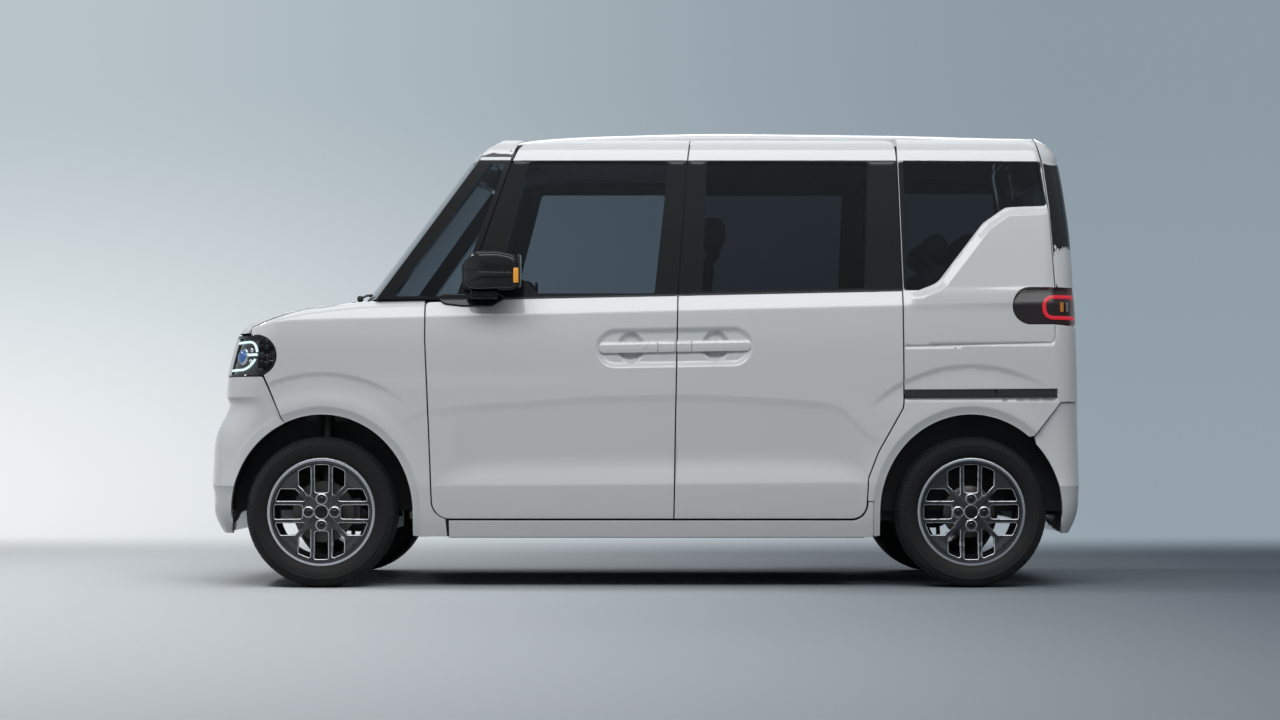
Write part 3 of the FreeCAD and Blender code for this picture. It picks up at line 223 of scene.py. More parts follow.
@dataclass(frozen=True)
class Finish:
    """A surface finish made with one Principled shader.

    The texture of the surface comes from one shared effect, which bumps the surface and varies its
    colour and roughness between two near values.
    """

    name: str
    colour: Colour
    second_colour: Colour
    roughness: float = 0.5
    roughness_spread: float = 0.08
    metallic: float = 0.0
    coat: float = 0.0
    coat_roughness: float = 0.04
    sheen: float = 0.0
    specular: float = 0.5
    effect: Effect = Effect.GRAIN
    scale: float = 900.0
    bump: float = 0.1
    bump_distance: float = 0.0002
    dust: float = 0.0
    transmission: float = 0.0
    ior: float = 1.45
    alpha: float = 1.0
    glow: Colour | None = None
    glow_strength: float = 0.0

    def build(self) -> bpy.types.Material:
        """Make the material.

        Returns:
            The material, ready for a slot.
        """
        material = bpy.data.materials.new(self.name)
        material.use_nodes = True
        tree = material.node_tree
        shader = tree.nodes["Principled BSDF"]
        for socket, value in (
            ("Metallic", self.metallic), ("Coat Weight", self.coat), ("Coat Roughness", self.coat_roughness),
            ("Sheen Weight", self.sheen), ("Specular IOR Level", self.specular),
            ("Transmission Weight", self.transmission), ("IOR", self.ior), ("Alpha", self.alpha),
        ):
            shader.inputs[socket].default_value = value
        if self.glow is not None:
            shader.inputs["Emission Color"].default_value = (*self.glow, 1.0)
            shader.inputs["Emission Strength"].default_value = self.glow_strength
        group = tree.nodes.new("ShaderNodeGroup")
        group.node_tree = bpy.data.node_groups[self.effect.value]
        group.inputs[0].default_value = self.scale
        colour = link_mix(tree, group.outputs["Mask"], self.colour, self.second_colour)
        if self.dust:
            dirt = tree.nodes.new("ShaderNodeGroup")
            dirt.node_tree = bpy.data.node_groups[Effect.DUST.value]
            dirt.inputs["Amount"].default_value = self.dust
            colour = link_mix(tree, dirt.outputs["Mask"], colour, DUST_COLOUR)
        tree.links.new(colour, shader.inputs["Base Color"])
        if self.roughness_spread:
            spread = tree.nodes.new("ShaderNodeMapRange")
            spread.inputs["To Min"].default_value = max(self.roughness - self.roughness_spread, 0.0)
            spread.inputs["To Max"].default_value = self.roughness + self.roughness_spread
            tree.links.new(group.outputs["Mask"], spread.inputs["Value"])
            tree.links.new(spread.outputs["Result"], shader.inputs["Roughness"])
        else:
            shader.inputs["Roughness"].default_value = self.roughness
        if self.bump:
            bump = tree.nodes.new("ShaderNodeBump")
            bump.inputs["Strength"].default_value = self.bump
            bump.inputs["Distance"].default_value = self.bump_distance
            tree.links.new(group.outputs["Height"], bump.inputs["Height"])
            tree.links.new(bump.outputs["Normal"], shader.inputs["Normal"])
        return material


FINISHES = {finish.name: finish for finish in (
    Finish(
        "pearl_white_paint", (0.80, 0.815, 0.825), (0.765, 0.785, 0.80), 0.34, 0.03, coat=1.0, coat_roughness=0.03,
        effect=Effect.FLAKE, scale=2600.0, bump=0.02, bump_distance=0.0001,
    ),
    Finish(
        "body_steel", (0.10, 0.105, 0.11), (0.13, 0.135, 0.14), 0.55, 0.05, scale=300.0, bump=0.05, dust=0.5,
    ),
    Finish(
        "gloss_black", (0.008, 0.009, 0.010), (0.013, 0.014, 0.015), 0.08, 0.02, specular=0.35, scale=120.0, bump=0.01,
        bump_distance=0.0001,
    ),
    Finish(
        "black_paint", (0.008, 0.009, 0.010), (0.012, 0.013, 0.014), 0.14, 0.02, specular=0.35, scale=120.0, bump=0.01,
        bump_distance=0.0001,
    ),
    Finish(
        "black_plastic", (0.018, 0.019, 0.020), (0.030, 0.031, 0.032), 0.52, 0.08, scale=1500.0, bump=0.35, dust=0.15,
    ),
    Finish(
        "black_steel", (0.020, 0.021, 0.022), (0.040, 0.040, 0.041), 0.45, 0.10, metallic=0.3, scale=200.0, bump=0.15,
        dust=0.5,
    ),
    Finish(
        "dark_trim", (0.045, 0.047, 0.050), (0.065, 0.068, 0.072), 0.60, 0.08, scale=1200.0, bump=0.4,
    ),
    Finish(
        "seat_fabric", (0.17, 0.19, 0.22), (0.23, 0.25, 0.28), 0.85, 0.06, sheen=0.5, effect=Effect.WEAVE,
        scale=2200.0, bump=0.5, bump_distance=0.0004,
    ),
    Finish(
        "stainless_steel", (0.42, 0.41, 0.39), (0.52, 0.50, 0.47), 0.32, 0.10, metallic=1.0, scale=80.0, bump=0.08,
        dust=0.3,
    ),
    Finish(
        "cast_aluminium", (0.34, 0.35, 0.36), (0.44, 0.45, 0.46), 0.46, 0.10, metallic=0.9, scale=500.0, bump=0.3,
        bump_distance=0.0004, dust=0.3,
    ),
    Finish(
        "rubber", (0.010, 0.010, 0.011), (0.020, 0.020, 0.021), 0.60, 0.08, specular=0.22, scale=700.0, bump=0.25,
        dust=0.08,
    ),
    Finish(
        "wheel_alloy", (0.036, 0.037, 0.042), (0.048, 0.049, 0.055), 0.30, 0.04, metallic=0.6, coat=0.8,
        effect=Effect.FLAKE, scale=2200.0, bump=0.02, bump_distance=0.0001,
    ),
    Finish(
        "wheel_edge", (0.58, 0.59, 0.61), (0.64, 0.65, 0.67), 0.20, 0.04, metallic=0.9, coat=0.5, scale=300.0,
        bump=0.02, bump_distance=0.0001,
    ),
    Finish(
        "mirror_silver", (0.82, 0.84, 0.86), (0.84, 0.86, 0.88), 0.02, 0.0, metallic=1.0, scale=20.0, bump=0.0,
    ),
    Finish(
        "amber_lamp", (0.72, 0.30, 0.02), (0.78, 0.34, 0.03), 0.12, 0.02, coat=0.8, scale=60.0, bump=0.02,
        glow=(1.0, 0.42, 0.03), glow_strength=0.25,
    ),
    Finish(
        "light_guide", (0.80, 0.94, 0.98), (0.84, 0.96, 1.0), 0.15, 0.02, scale=60.0, bump=0.02,
        glow=(0.74, 0.95, 1.0), glow_strength=1.1,
    ),
    Finish(
        "red_light_guide", (0.80, 0.02, 0.03), (0.86, 0.03, 0.04), 0.15, 0.02, coat=0.8, scale=60.0, bump=0.02,
        glow=(1.0, 0.02, 0.05), glow_strength=0.75,
    ),
    Finish(
        "brake_iron", (0.060, 0.058, 0.056), (0.105, 0.100, 0.095), 0.42, 0.10, metallic=0.7, scale=160.0, bump=0.12,
        dust=0.4,
    ),
    Finish(
        "lamp_case", (0.035, 0.038, 0.042), (0.050, 0.053, 0.058), 0.30, 0.04, coat=0.3, scale=400.0, bump=0.05,
    ),
    Finish(
        "lamp_clear", (0.030, 0.034, 0.040), (0.034, 0.038, 0.044), 0.02, 0.0, alpha=0.22, scale=20.0, bump=0.0,
    ),
    Finish(
        "smoked_lens", (0.020, 0.006, 0.007), (0.024, 0.008, 0.009), 0.02, 0.0, alpha=0.42, scale=20.0, bump=0.0,
    ),
    Finish(
        "lamp_silver", (0.62, 0.64, 0.67), (0.68, 0.70, 0.73), 0.14, 0.03, metallic=1.0, scale=200.0, bump=0.03,
    ),
    Finish(
        "roof_cloth", (0.30, 0.32, 0.34), (0.35, 0.37, 0.39), 0.85, 0.05, sheen=0.3, effect=Effect.WEAVE, scale=2600.0,
        bump=0.3, bump_distance=0.0003,
    ),
    Finish(
        "projector_glass", (0.02, 0.09, 0.30), (0.05, 0.18, 0.50), 0.04, 0.01, coat=1.0, scale=90.0, bump=0.02,
        glow=(0.05, 0.22, 0.75), glow_strength=0.25,
    ),
    Finish(
        "clear_glass", (0.33, 0.38, 0.42), (0.34, 0.39, 0.43), 0.0, 0.0, transmission=1.0, ior=1.3, scale=20.0,
        bump=0.0,
    ),
    Finish(
        "privacy_glass", (0.15, 0.17, 0.19), (0.16, 0.18, 0.20), 0.0, 0.0, transmission=1.0, ior=1.3, scale=20.0,
        bump=0.0,
    ),
    Finish(
        "lamp_lens", (0.70, 0.75, 0.80), (0.72, 0.77, 0.82), 0.0, 0.0, transmission=1.0, ior=1.2, scale=20.0, bump=0.0,
    ),
    Finish(
        "tail_lamp_lens", (0.30, 0.01, 0.01), (0.34, 0.015, 0.012), 0.06, 0.0, coat=1.0, scale=20.0, bump=0.0,
    ),
)}


@dataclass
class Paintbox:
    """Builds each finish once and gives it out by name."""

    made: dict[str, bpy.types.Material] = field(default_factory=dict)
    darker: dict[str, str] = field(default_factory=lambda: {
        "knuckle": "brake_iron", "front_wheelhouse": "black_plastic", "rear_wheelhouse": "black_plastic",
    })

    def get(self, name: str) -> bpy.types.Material:
        """The material of a named finish."""
        if name not in self.made:
            self.made[name] = FINISHES[name].build()
        return self.made[name]

    def dress_cad(self) -> None:
        """Give every CAD node the finish that its material slot names."""
        for part in frame["record"]["subparts"]:
            node = frame["nodes"][part["node"]]
            kind = part["node"].rsplit("_", 1)[0]
            node.data.materials.clear()
            node.data.materials.append(self.get(self.darker.get(kind, part["material_slot"])))


# Outlines

def pairs(first: Points | float, second: Points | float) -> Points:
    """Two runs of values side by side, where one value can stand for a whole run."""
    return np.stack(np.broadcast_arrays(first, second), axis=1)


def unit(rows: Points) -> Points:
    """Each row as a vector of length 1."""
    return rows / np.maximum(np.linalg.norm(rows, axis=1, keepdims=True), TINY)


def rounded(corners: Sequence[tuple[float, ...]], step: float = 8.0) -> Points:
    """Round an outline's corners and fill its long runs with points.

    Args:
        corners: The corners in order, each (a, b) or (a, b, radius), in mm.
        step: The longest run left between two points.

    Returns:
        The closed outline's points.
    """
    count = len(corners)
    ends = []
    for i, corner in enumerate(corners):
        here = np.array(corner[:2], float)
        radius = corner[2] if len(corner) > 2 else 0.0
        if radius <= 0:
            ends.append([here])
            continue
        before = np.array(corners[i - 1][:2], float) - here
        after = np.array(corners[(i + 1) % count][:2], float) - here
        length_before, length_after = np.linalg.norm(before), np.linalg.norm(after)
        before, after = before / length_before, after / length_after
        half = math.acos(float(np.clip(before @ after, -1, 1))) / 2
        reach = min(radius / math.tan(half), 0.49 * length_before, 0.49 * length_after)
        radius = reach * math.tan(half)
        middle = before + after
        centre = here + middle / np.linalg.norm(middle) * (radius / math.sin(half))
        start = here + before * reach - centre
        sweep = math.pi - 2 * half
        turn = np.sign(before[1] * after[0] - before[0] * after[1]) or 1.0
        steps = max(3, int(sweep * radius / step) + 2)
        arc = []
        for k in range(steps + 1):
            angle = turn * sweep * k / steps
            c, s = math.cos(angle), math.sin(angle)
            arc.append(centre + np.array((start[0] * c - start[1] * s, start[0] * s + start[1] * c)))
        ends.append(arc)
    points = [p for arc in ends for p in arc]
    return densified(np.array(points), step)


def densified(loop: Points, step: float, closed: bool = True) -> Points:
    """Fill the long runs of an outline with points.

    Args:
        loop: The outline's points.
        step: The longest run left between two points.
        closed: Whether the last point joins the first.

    Returns:
        The outline with the added points.
    """
    out = []
    last = len(loop) if closed else len(loop) - 1
    for i in range(last):
        a, b = loop[i], loop[(i + 1) % len(loop)]
        length = float(np.linalg.norm(b - a))
        if length < 1e-6:
            continue
        pieces = max(1, math.ceil(length / step))
        out.extend(a + (b - a) * (k / pieces) for k in range(pieces))
    if not closed:
        out.append(loop[-1])
    return np.array(out)


def turned_left(loop: Points) -> Points:
    """The outline, in the order that keeps its inside on the left."""
    a, b = loop[:, 0], loop[:, 1]
    area = np.sum(a * np.roll(b, -1) - np.roll(a, -1) * b)
    return loop if area > 0 else loop[::-1]


def inset(loop: Points, distance: float) -> Points:
    """Move a closed outline inwards, or outwards where the distance is negative.

    Args:
        loop: The outline's points.
        distance: How far each side moves.

    Returns:
        The moved outline, with its inside on the left.
    """
    loop = turned_left(loop)
    along = np.roll(loop, -1, axis=0) - loop
    along = unit(along)
    normal_after = pairs(-along[:, 1], along[:, 0])
    normal_before = np.roll(normal_after, 1, axis=0)
    both = normal_after + normal_before
    both = unit(both)
    share = np.clip(np.sum(both * normal_after, axis=1, keepdims=True), 0.4, 1.0)
    return loop + both * distance / share


def clipped(loop: Points, start: tuple[float, float], finish: tuple[float, float], step: float = 8.0) -> Points:
    """Keep the part of a closed outline on the left of a line.

    Args:
        loop: The outline's points.
        start: The line's first point.
        finish: The line's second point.
        step: The longest run left between two points.

    Returns:
        The part's outline.
    """
    way = (finish[0] - start[0], finish[1] - start[1])
    side = way[0] * (loop[:, 1] - start[1]) - way[1] * (loop[:, 0] - start[0])
    out = []
    for i in range(len(loop)):
        j = (i + 1) % len(loop)
        if side[i] >= 0:
            out.append(loop[i])
        if (side[i] >= 0) != (side[j] >= 0):
            share = side[i] / (side[i] - side[j])
            out.append(loop[i] + (loop[j] - loop[i]) * share)
    return densified(np.array(out), step)


def inside(points: Points, loops: Iterable[Points]) -> np.ndarray:
    """Which points lie inside an outline and outside its holes.

    Args:
        points: The points to sort.
        loops: The outline and its holes.

    Returns:
        True for each point inside.
    """
    odd = np.zeros(len(points), bool)
    for loop in loops:
        nxt = np.roll(loop, -1, axis=0)
        for (x0, y0), (x1, y1) in zip(loop, nxt):
            if y0 == y1:
                continue
            hit = (y0 > points[:, 1]) != (y1 > points[:, 1])
            hit &= points[:, 0] < (x1 - x0) * (points[:, 1] - y0) / (y1 - y0) + x0
            odd ^= hit
    return odd


def nearest(points: Points, others: Points, batch: int = 2000) -> Points:
    """The square of each point's distance to the nearest of the others, worked out in batches."""
    out = np.empty(len(points))
    for begin in range(0, len(points), batch):
        part = points[begin:begin + batch]
        out[begin:begin + batch] = ((part[:, None, :] - others[None, :, :]) ** 2).sum(axis=2).min(axis=1)
    return out


def clear_of(points: Points, others: Points, gap: float) -> np.ndarray:
    """Which points are at least a gap away from every one of the others."""
    return nearest(points, others) > gap * gap


def triangulated(plan: Points, edges: Sequence[tuple[int, int]], loops: Sequence[Points]) -> Points:
    """Join points in a plane with triangles.

    Args:
        plan: The points.
        edges: The pairs of points that an edge has to join.
        loops: The outline and its holes.

    Returns:
        The three point numbers of each triangle inside the outline and outside its holes.
    """
    result = delaunay_2d_cdt([Vector(p) for p in plan], edges, [], 0, 1e-4, True)
    origin = [group[0] if group else -1 for group in result[3]]
    corners = np.array([[origin[k] for k in t] for t in result[2] if all(origin[k] >= 0 for k in t)])
    return corners[inside(plan[corners].mean(axis=1), loops)]


def smoothstep(low: float, high: float, value: Points) -> Points:
    """A smooth rise from 0 to 1 between two values."""
    share = np.clip((value - low) / (high - low), 0, 1)
    return share * share * (3 - 2 * share)


# The body's outer skin

@dataclass(frozen=True)
class BodySkin:
    """The outer surface of the body's left side, from the middle of the nose to the middle of the tail.

    A place on it is (v, z): v is the distance along the car, measured round the corners at both
    ends, and z is the height. All sizes are in mm.
    """

    half_width: float = 731.0
    front_end: float = -1697.5
    rear_end: float = 1697.5
    nose_corner: float = 190.0
    nose_crown: float = 16.0
    tail_corner: float = 105.0
    tail_crown: float = 12.0
    crease_width: float = 5.0
    bands: tuple[tuple[tuple[float, float, float], ...], ...] = (
        ((150, -41, 0), (191, -31, 0), (262, -14, 0), (325, -6, 0), (390, 0, 0)),
        ((390, 0, 0), (560, -1.5, 0), (731, -2.5, 0), (850, 0, 0), (950, 1, 0), (1057, -4, 0.025)),
        ((1057, -4, 0.025), (1122, -25, 0.021)),
        ((1122, -25, 0.021), (1400, -55, 0), (1650, -91, 0)),
        ((1650, -91, 0), (1700, -106, 0), (1737, -129, 0), (1790, -186, 0)),
    )
    tail_setback: tuple[tuple[float, float], ...] = (
        (150, 60), (208, 42), (251, 18), (291, 7), (346, 0), (429, 0), (714, 4), (1022, 11),
        (1169, 18), (1347, 24), (1493, 39), (1600, 54), (1669, 68), (1712, 85), (1750, 137), (1790, 197),
    )
    nose_setback: tuple[tuple[float, float], ...] = (
        (150, 70), (208, 46), (251, 17), (291, 9), (394, 0), (471, 0), (591, 12), (660, 47),
        (817, 57), (900, 75), (983, 99), (1060, 125), (1130, 155), (1180, 180),
    )

    def stand(self, x: Points, z: Points) -> Points:
        """How far the side stands out from the nominal half width, with softened creases."""
        shifts = self.crease_width * np.linspace(-1, 1, 5)
        return sum(self.sharp_stand(x, z + shift) for shift in shifts) / len(shifts)

    def sharp_stand(self, x: Points, z: Points) -> Points:
        """How far the side stands out, with sharp creases.

        Args:
            x: Stations along the car.
            z: Heights.

        Returns:
            One distance for each pair.
        """
        out = np.zeros_like(z, float)
        last = len(self.bands) - 1
        for number, band in enumerate(self.bands):
            knots = [height + slope * x for height, _, slope in band]
            values = [stand for _, stand, _ in band]
            here = np.ones(len(z), bool)
            if number > 0:
                here &= z >= knots[0]
            if number < last:
                here &= z < knots[-1]
            if here.any():
                out[here] = hermite([k[here] for k in knots], values, z[here])
        return out

    def pull(self, x: Points) -> Points:
        """How far the side stands in towards the ends of the car."""
        return 10.0 * ((x - 100.0) / 1500.0) ** 2

    def corner_start(self, z: Points) -> tuple[Points, Points]:
        """The stations along the car where the nose corner and the tail corner begin."""
        front = self.front_end + table(self.nose_setback, z) + self.nose_crown + self.nose_corner
        rear = self.rear_end - table(self.tail_setback, z) - self.tail_crown - self.tail_corner
        return front, rear

    def ends(self, front: Points, rear: Points) -> tuple[tuple[Points, float, float, float], ...]:
        """Where each end's corner begins, its radius, the face's crown and the sign of x there."""
        return (front, self.nose_corner, self.nose_crown, -1.0), (rear, self.tail_corner, self.tail_crown, 1.0)

    def place(self, v: Points, z: Points) -> Points:
        """Points of the outer surface.

        Args:
            v: Distances along the car.
            z: Heights.

        Returns:
            One (x, y, z) row for each pair.
        """
        v, z = np.broadcast_arrays(np.asarray(v, float), np.asarray(z, float))
        front, rear = self.corner_start(z)
        x = np.clip(v, front, rear)
        width = self.half_width + self.stand(x, z) - self.pull(x)
        x, y = x.copy(), -width
        for begin, radius, crown, sign in self.ends(front, rear):
            past = (v - begin) * sign
            turning = past > 0
            if not turning.any():
                continue
            past, w, start = past[turning], width[turning], begin[turning]
            flat = w - radius
            lean = np.arctan(2 * crown / flat)
            limit = np.pi / 2 - lean
            angle = np.minimum(past / radius, limit)
            x_turn = start + sign * radius * np.sin(angle)
            y_turn = -flat - radius * np.cos(angle)
            beyond = past - radius * limit
            edge = flat + radius * np.sin(lean)
            across = np.maximum(edge - np.maximum(beyond, 0), -edge)
            x_face = start + sign * (radius * np.cos(lean) + np.tan(lean) / (2 * edge) * (edge**2 - across**2))
            facing = beyond > 0
            x[turning] = np.where(facing, x_face, x_turn)
            y[turning] = np.where(facing, -across, y_turn)
        return np.stack((x, y, z), axis=1)

    def along(self, x: Points, z: Points) -> Points:
        """The v of places seen from the side at stations along the car.

        Args:
            x: Stations along the car.
            z: Heights.

        Returns:
            One v for each pair.
        """
        x, z = np.broadcast_arrays(np.asarray(x, float), np.asarray(z, float))
        front, rear = self.corner_start(z)
        v = np.clip(x, front, rear)
        ahead = np.arcsin(np.clip((front - x) / self.nose_corner, 0, 1)) * self.nose_corner
        behind = np.arcsin(np.clip((x - rear) / self.tail_corner, 0, 1)) * self.tail_corner
        return v - ahead + behind

    def across(self, y: float, z: Points, nose: bool) -> Points:
        """The v of places on the nose or tail face at a distance from the car's middle.

        Args:
            y: The distance.
            z: Heights.
            nose: Whether the places are on the nose's face.

        Returns:
            One v for each height.
        """
        z = np.asarray(z, float)
        begin, radius, crown, sign = self.ends(*self.corner_start(z))[0 if nose else 1]
        width = self.half_width + self.stand(begin, z) - self.pull(begin)
        flat = width - radius
        lean = np.arctan(2 * crown / flat)
        edge = flat + radius * np.sin(lean)
        return begin + sign * (radius * (np.pi / 2 - lean) + edge - abs(y))

    def seen(self, loop: Points | Sequence[tuple[float, float]]) -> Points:
        """Points seen from the side as places on the skin."""
        loop = np.asarray(loop, float)
        return pairs(self.along(loop[:, 0], loop[:, 1]), loop[:, 1])

    def v_seen(self, x: float, z: float) -> float:
        """The v of one place seen from the side."""
        return float(self.along(np.array([x]), np.array([z]))[0])

    def v_across(self, y: float, z: float, nose: bool) -> float:
        """The v of one place on the nose or tail face."""
        return float(self.across(y, np.array([z]), nose)[0])


def hermite(knots: Sequence[Points], values: Sequence[float], at: Points) -> Points:
    """A smooth curve through values at knots that may differ from point to point.

    Args:
        knots: The position of each knot, for every point.
        values: The value at each knot.
        at: The points' positions.

    Returns:
        The curve's value at each point.
    """
    count = len(values)
    slopes = []
    for i in range(count):
        low, high = max(i - 1, 0), min(i + 1, count - 1)
        slopes.append((values[high] - values[low]) / (knots[high] - knots[low]))
    out = np.zeros_like(at)
    for i in range(count - 1):
        here = np.ones(len(at), bool)
        if i > 0:
            here &= at >= knots[i]
        if i < count - 2:
            here &= at < knots[i + 1]
        if not here.any():
            continue
        length = (knots[i + 1] - knots[i])[here]
        t = np.clip((at[here] - knots[i][here]) / length, -0.5, 1.5)
        out[here] = (
            (2 * t**3 - 3 * t**2 + 1) * values[i] + (t**3 - 2 * t**2 + t) * length * slopes[i][here]
            + (3 * t**2 - 2 * t**3) * values[i + 1] + (t**3 - t**2) * length * slopes[i + 1][here]
        )
    return out


def table(rows: Sequence[tuple[float, float]], at: Points) -> Points:
    """A smooth curve through (position, value) rows."""
    at = np.asarray(at, float)
    flat = np.clip(at.reshape(-1), rows[0][0], rows[-1][0])
    positions = [np.full(len(flat), float(p)) for p, _ in rows]
    return hermite(positions, [v for _, v in rows], flat).reshape(at.shape)


# Sheets of mesh

Surface = Callable[[Points, Points], Points]
MIDDLE_RUN, MIDDLE_HEIGHT = (-1150, 1350), 850.0


def outward_normals(surface: Surface, a: Points, b: Points, centre: Points | None = None) -> Points:
    """Unit normals of a surface that point away from the middle of the car.

    Args:
        surface: The surface over a and b.
        a: The first coordinate of each place.
        b: The second coordinate of each place.
        centre: A point to look away from, or none for the nearest on the car's middle line.

    Returns:
        One normal for each place.
    """
    step = 0.6
    along = surface(a + step, b) - surface(a - step, b)
    up = surface(a, b + step) - surface(a, b - step)
    normal = np.cross(along, up)
    normal = unit(normal)
    here = surface(a, b)
    if centre is None:
        along_car = np.clip(here[:, 0], *MIDDLE_RUN)
        centre = np.stack((along_car, np.zeros(len(a)), np.full(len(a), MIDDLE_HEIGHT)), axis=1)
    flip = np.sign(np.sum(normal * (here - centre), axis=1, keepdims=True))
    flip[flip == 0] = 1
    return normal * flip


@dataclass
class Sheet:
    """A panel with thickness, cut from a surface by an outline and holes.

    Its rim is rounded, its wall goes straight in, and its face follows a relief.
    """

    name: str
    surface: Surface
    outline: Points
    holes: Sequence[Points] = ()
    relief: Callable[[Points, Points], Points] | None = None
    features: Sequence[Points] = ()
    depth: float = 18.0
    edge: float = 1.6
    grid: float = 13.0
    skin_depth: float = 0.0
    middle: tuple[float, float, float] | None = None
    rim_marks: list[int] = field(default_factory=list)

    def ways(self, surface: Surface, a: Points, b: Points) -> Points:
        """The outward normals of one of this panel's surfaces."""
        return outward_normals(surface, a, b, None if self.middle is None else np.array(self.middle))

    def relieved(self, a: Points, b: Points) -> Points:
        """Points of the surface after the relief."""
        here = self.surface(a, b)
        if self.relief is None:
            return here
        return here - self.ways(self.surface, a, b) * self.relief(a, b)[:, None]

    def rim(self, loop: Points, sign: float) -> tuple[list[Points], list[Points]]:
        """Work out the wall and the rounded edge along one loop.

        Args:
            loop: The outline or a hole.
            sign: 1 for the outline, -1 for a hole.

        Returns:
            The rings of points, from the wall's foot to the face, and the normals of each.
        """
        turn = [math.radians(angle) for angle in (0, 30, 60, 90)]
        rings = [(0.0, self.depth, 0.0)]
        rings += [(self.edge * (1 - math.cos(t)), self.edge * (1 - math.sin(t)), t) for t in turn]
        here = self.relieved(loop[:, 0], loop[:, 1])
        normal = self.ways(self.relieved, loop[:, 0], loop[:, 1])
        moved = self.shift(loop, 1.0, sign)
        out_way = here - self.relieved(moved[:, 0], moved[:, 1])
        out_way -= normal * np.sum(out_way * normal, axis=1, keepdims=True)
        out_way = unit(out_way)
        places = [here - out_way * offset - normal * (depth + self.skin_depth) for offset, depth, _ in rings]
        return places, [out_way * math.cos(angle) + normal * math.sin(angle) for _, _, angle in rings]

    def mesh_points(self) -> tuple[Points, list[list[int]], Points]:
        """Work out the panel's points, faces and normals.

        Returns:
            The points in mm, the faces and one normal for each point.
        """
        places, normals, faces, inner_loops, edges, ids = [], [], [], [], [], []
        total = start = 0
        for number, loop in enumerate([turned_left(self.outline)] + [turned_left(h)[::-1] for h in self.holes]):
            sign = 1.0 if number == 0 else -1.0
            spots, ways = self.rim(loop, sign)
            places += spots
            normals += ways
            count, last = len(loop), len(spots) - 1
            faces += [[i + total for i in face] for face in ring_faces(last + 1, count)]
            self.rim_marks += [0] * count + [1 if number > 0 else 0] * (count * (last - 1))
            inner_loops.append(self.shift(loop, self.edge, sign))
            edges += [(start + i, start + (i + 1) % count) for i in range(count)]
            ids += range(total + last * count, total + (last + 1) * count)
            start += count
            total += (last + 1) * count
        interior = self.interior_points(inner_loops)
        ids += range(total, total + len(interior))
        if len(interior):
            normal = self.ways(self.relieved, interior[:, 0], interior[:, 1])
            places.append(self.relieved(interior[:, 0], interior[:, 1]) - normal * self.skin_depth)
            normals.append(normal)
        corners = triangulated(np.concatenate(inner_loops + [interior]), edges, inner_loops)
        faces += np.array(ids)[corners].tolist()
        return np.concatenate(places), faces, np.concatenate(normals)

    def shift(self, loop: Points, distance: float, sign: float) -> Points:
        """The loop moved into the panel's face."""
        moved = inset(loop, distance * sign)
        return moved if sign > 0 else moved[::-1]

    def interior_points(self, loops: Sequence[Points]) -> Points:
        """The points inside the panel: a grid, and rows along its features.

        Args:
            loops: The face's outline and holes.

        Returns:
            The points.
        """
        border = np.concatenate(loops)
        kept = np.zeros((0, 2))
        if len(self.features):
            rows = np.concatenate(list(self.features))
            rows = rows[inside(rows, loops)]
            kept = rows[clear_of(rows, border, 3.0)]
        low, high = loops[0].min(axis=0), loops[0].max(axis=0)
        columns = np.arange(low[0] + self.grid / 2, high[0], self.grid)
        lines = np.arange(low[1] + self.grid / 2, high[1], self.grid * 0.87)
        grid = np.array([
            (a + (self.grid / 2 if number % 2 else 0.0), b) for number, b in enumerate(lines) for a in columns
        ]).reshape(-1, 2)
        grid = grid[inside(grid, loops)]
        grid = grid[clear_of(grid, border, self.grid * 0.45)]
        if len(kept):
            grid = grid[clear_of(grid, kept, self.grid * 0.4)]
        return np.concatenate((kept, grid))

    def build(self, material: bpy.types.Material) -> list[bpy.types.Object]:
        """Make the panel's objects on the left and on the right.

        Args:
            material: Its finish.

        Returns:
            The objects, the left one first.
        """
        places, faces, normals = self.mesh_points()
        flipped = [face[::-1] for face in faces]
        return [
            mesh_object(f"{self.name}_left", places, faces, material, normals),
            mesh_object(f"{self.name}_right", places * MIRRORED, flipped, material, normals * MIRRORED),
        ]


def mesh_object(
    name: str, places: Points, faces: Sequence[Sequence[int]], material: bpy.types.Material, normals: Points,
) -> bpy.types.Object:
    """Make a smooth mesh object from points in mm.

    Args:
        name: The object's name.
        places: The points.
        faces: The faces.
        material: The finish of the whole mesh.
        normals: One normal for each point.

    Returns:
        The new object.
    """
    mesh = bpy.data.meshes.new(name)
    mesh.from_pydata((places * MM).tolist(), [], [list(map(int, face)) for face in faces])
    mesh.polygons.foreach_set("use_smooth", [True] * len(mesh.polygons))
    mesh.materials.append(material)
    mesh.normals_split_custom_set_from_vertices(normals.tolist())
    thing = bpy.data.objects.new(name, mesh)
    bpy.context.scene.collection.objects.link(thing)
    return thing


# The workshop: plain kinds of pieces

Shape = tuple[Points, list[list[int]]]
Corners = Sequence[tuple[float, ...]]
SIDES = ("left", "right")
SIDED_BODIES = ("front_door", "front_wheel", "rear_wheel")


def ring_faces(rows: int, count: int, closed_rows: bool = False, capped: bool = False) -> list[list[int]]:
    """The faces between rings of points that follow each other.

    Args:
        rows: The number of rings.
        count: The number of points in each.
        closed_rows: Whether the last ring joins the first.
        capped: Whether the first and the last ring are closed with a face.

    Returns:
        The faces.
    """
    faces = []
    for row in range(rows if closed_rows else rows - 1):
        here, after = row * count, ((row + 1) % rows) * count
        faces += [[here + i, here + (i + 1) % count, after + (i + 1) % count, after + i] for i in range(count)]
    if capped:
        faces += [list(range(count))[::-1], list(range((rows - 1) * count, rows * count))]
    return faces


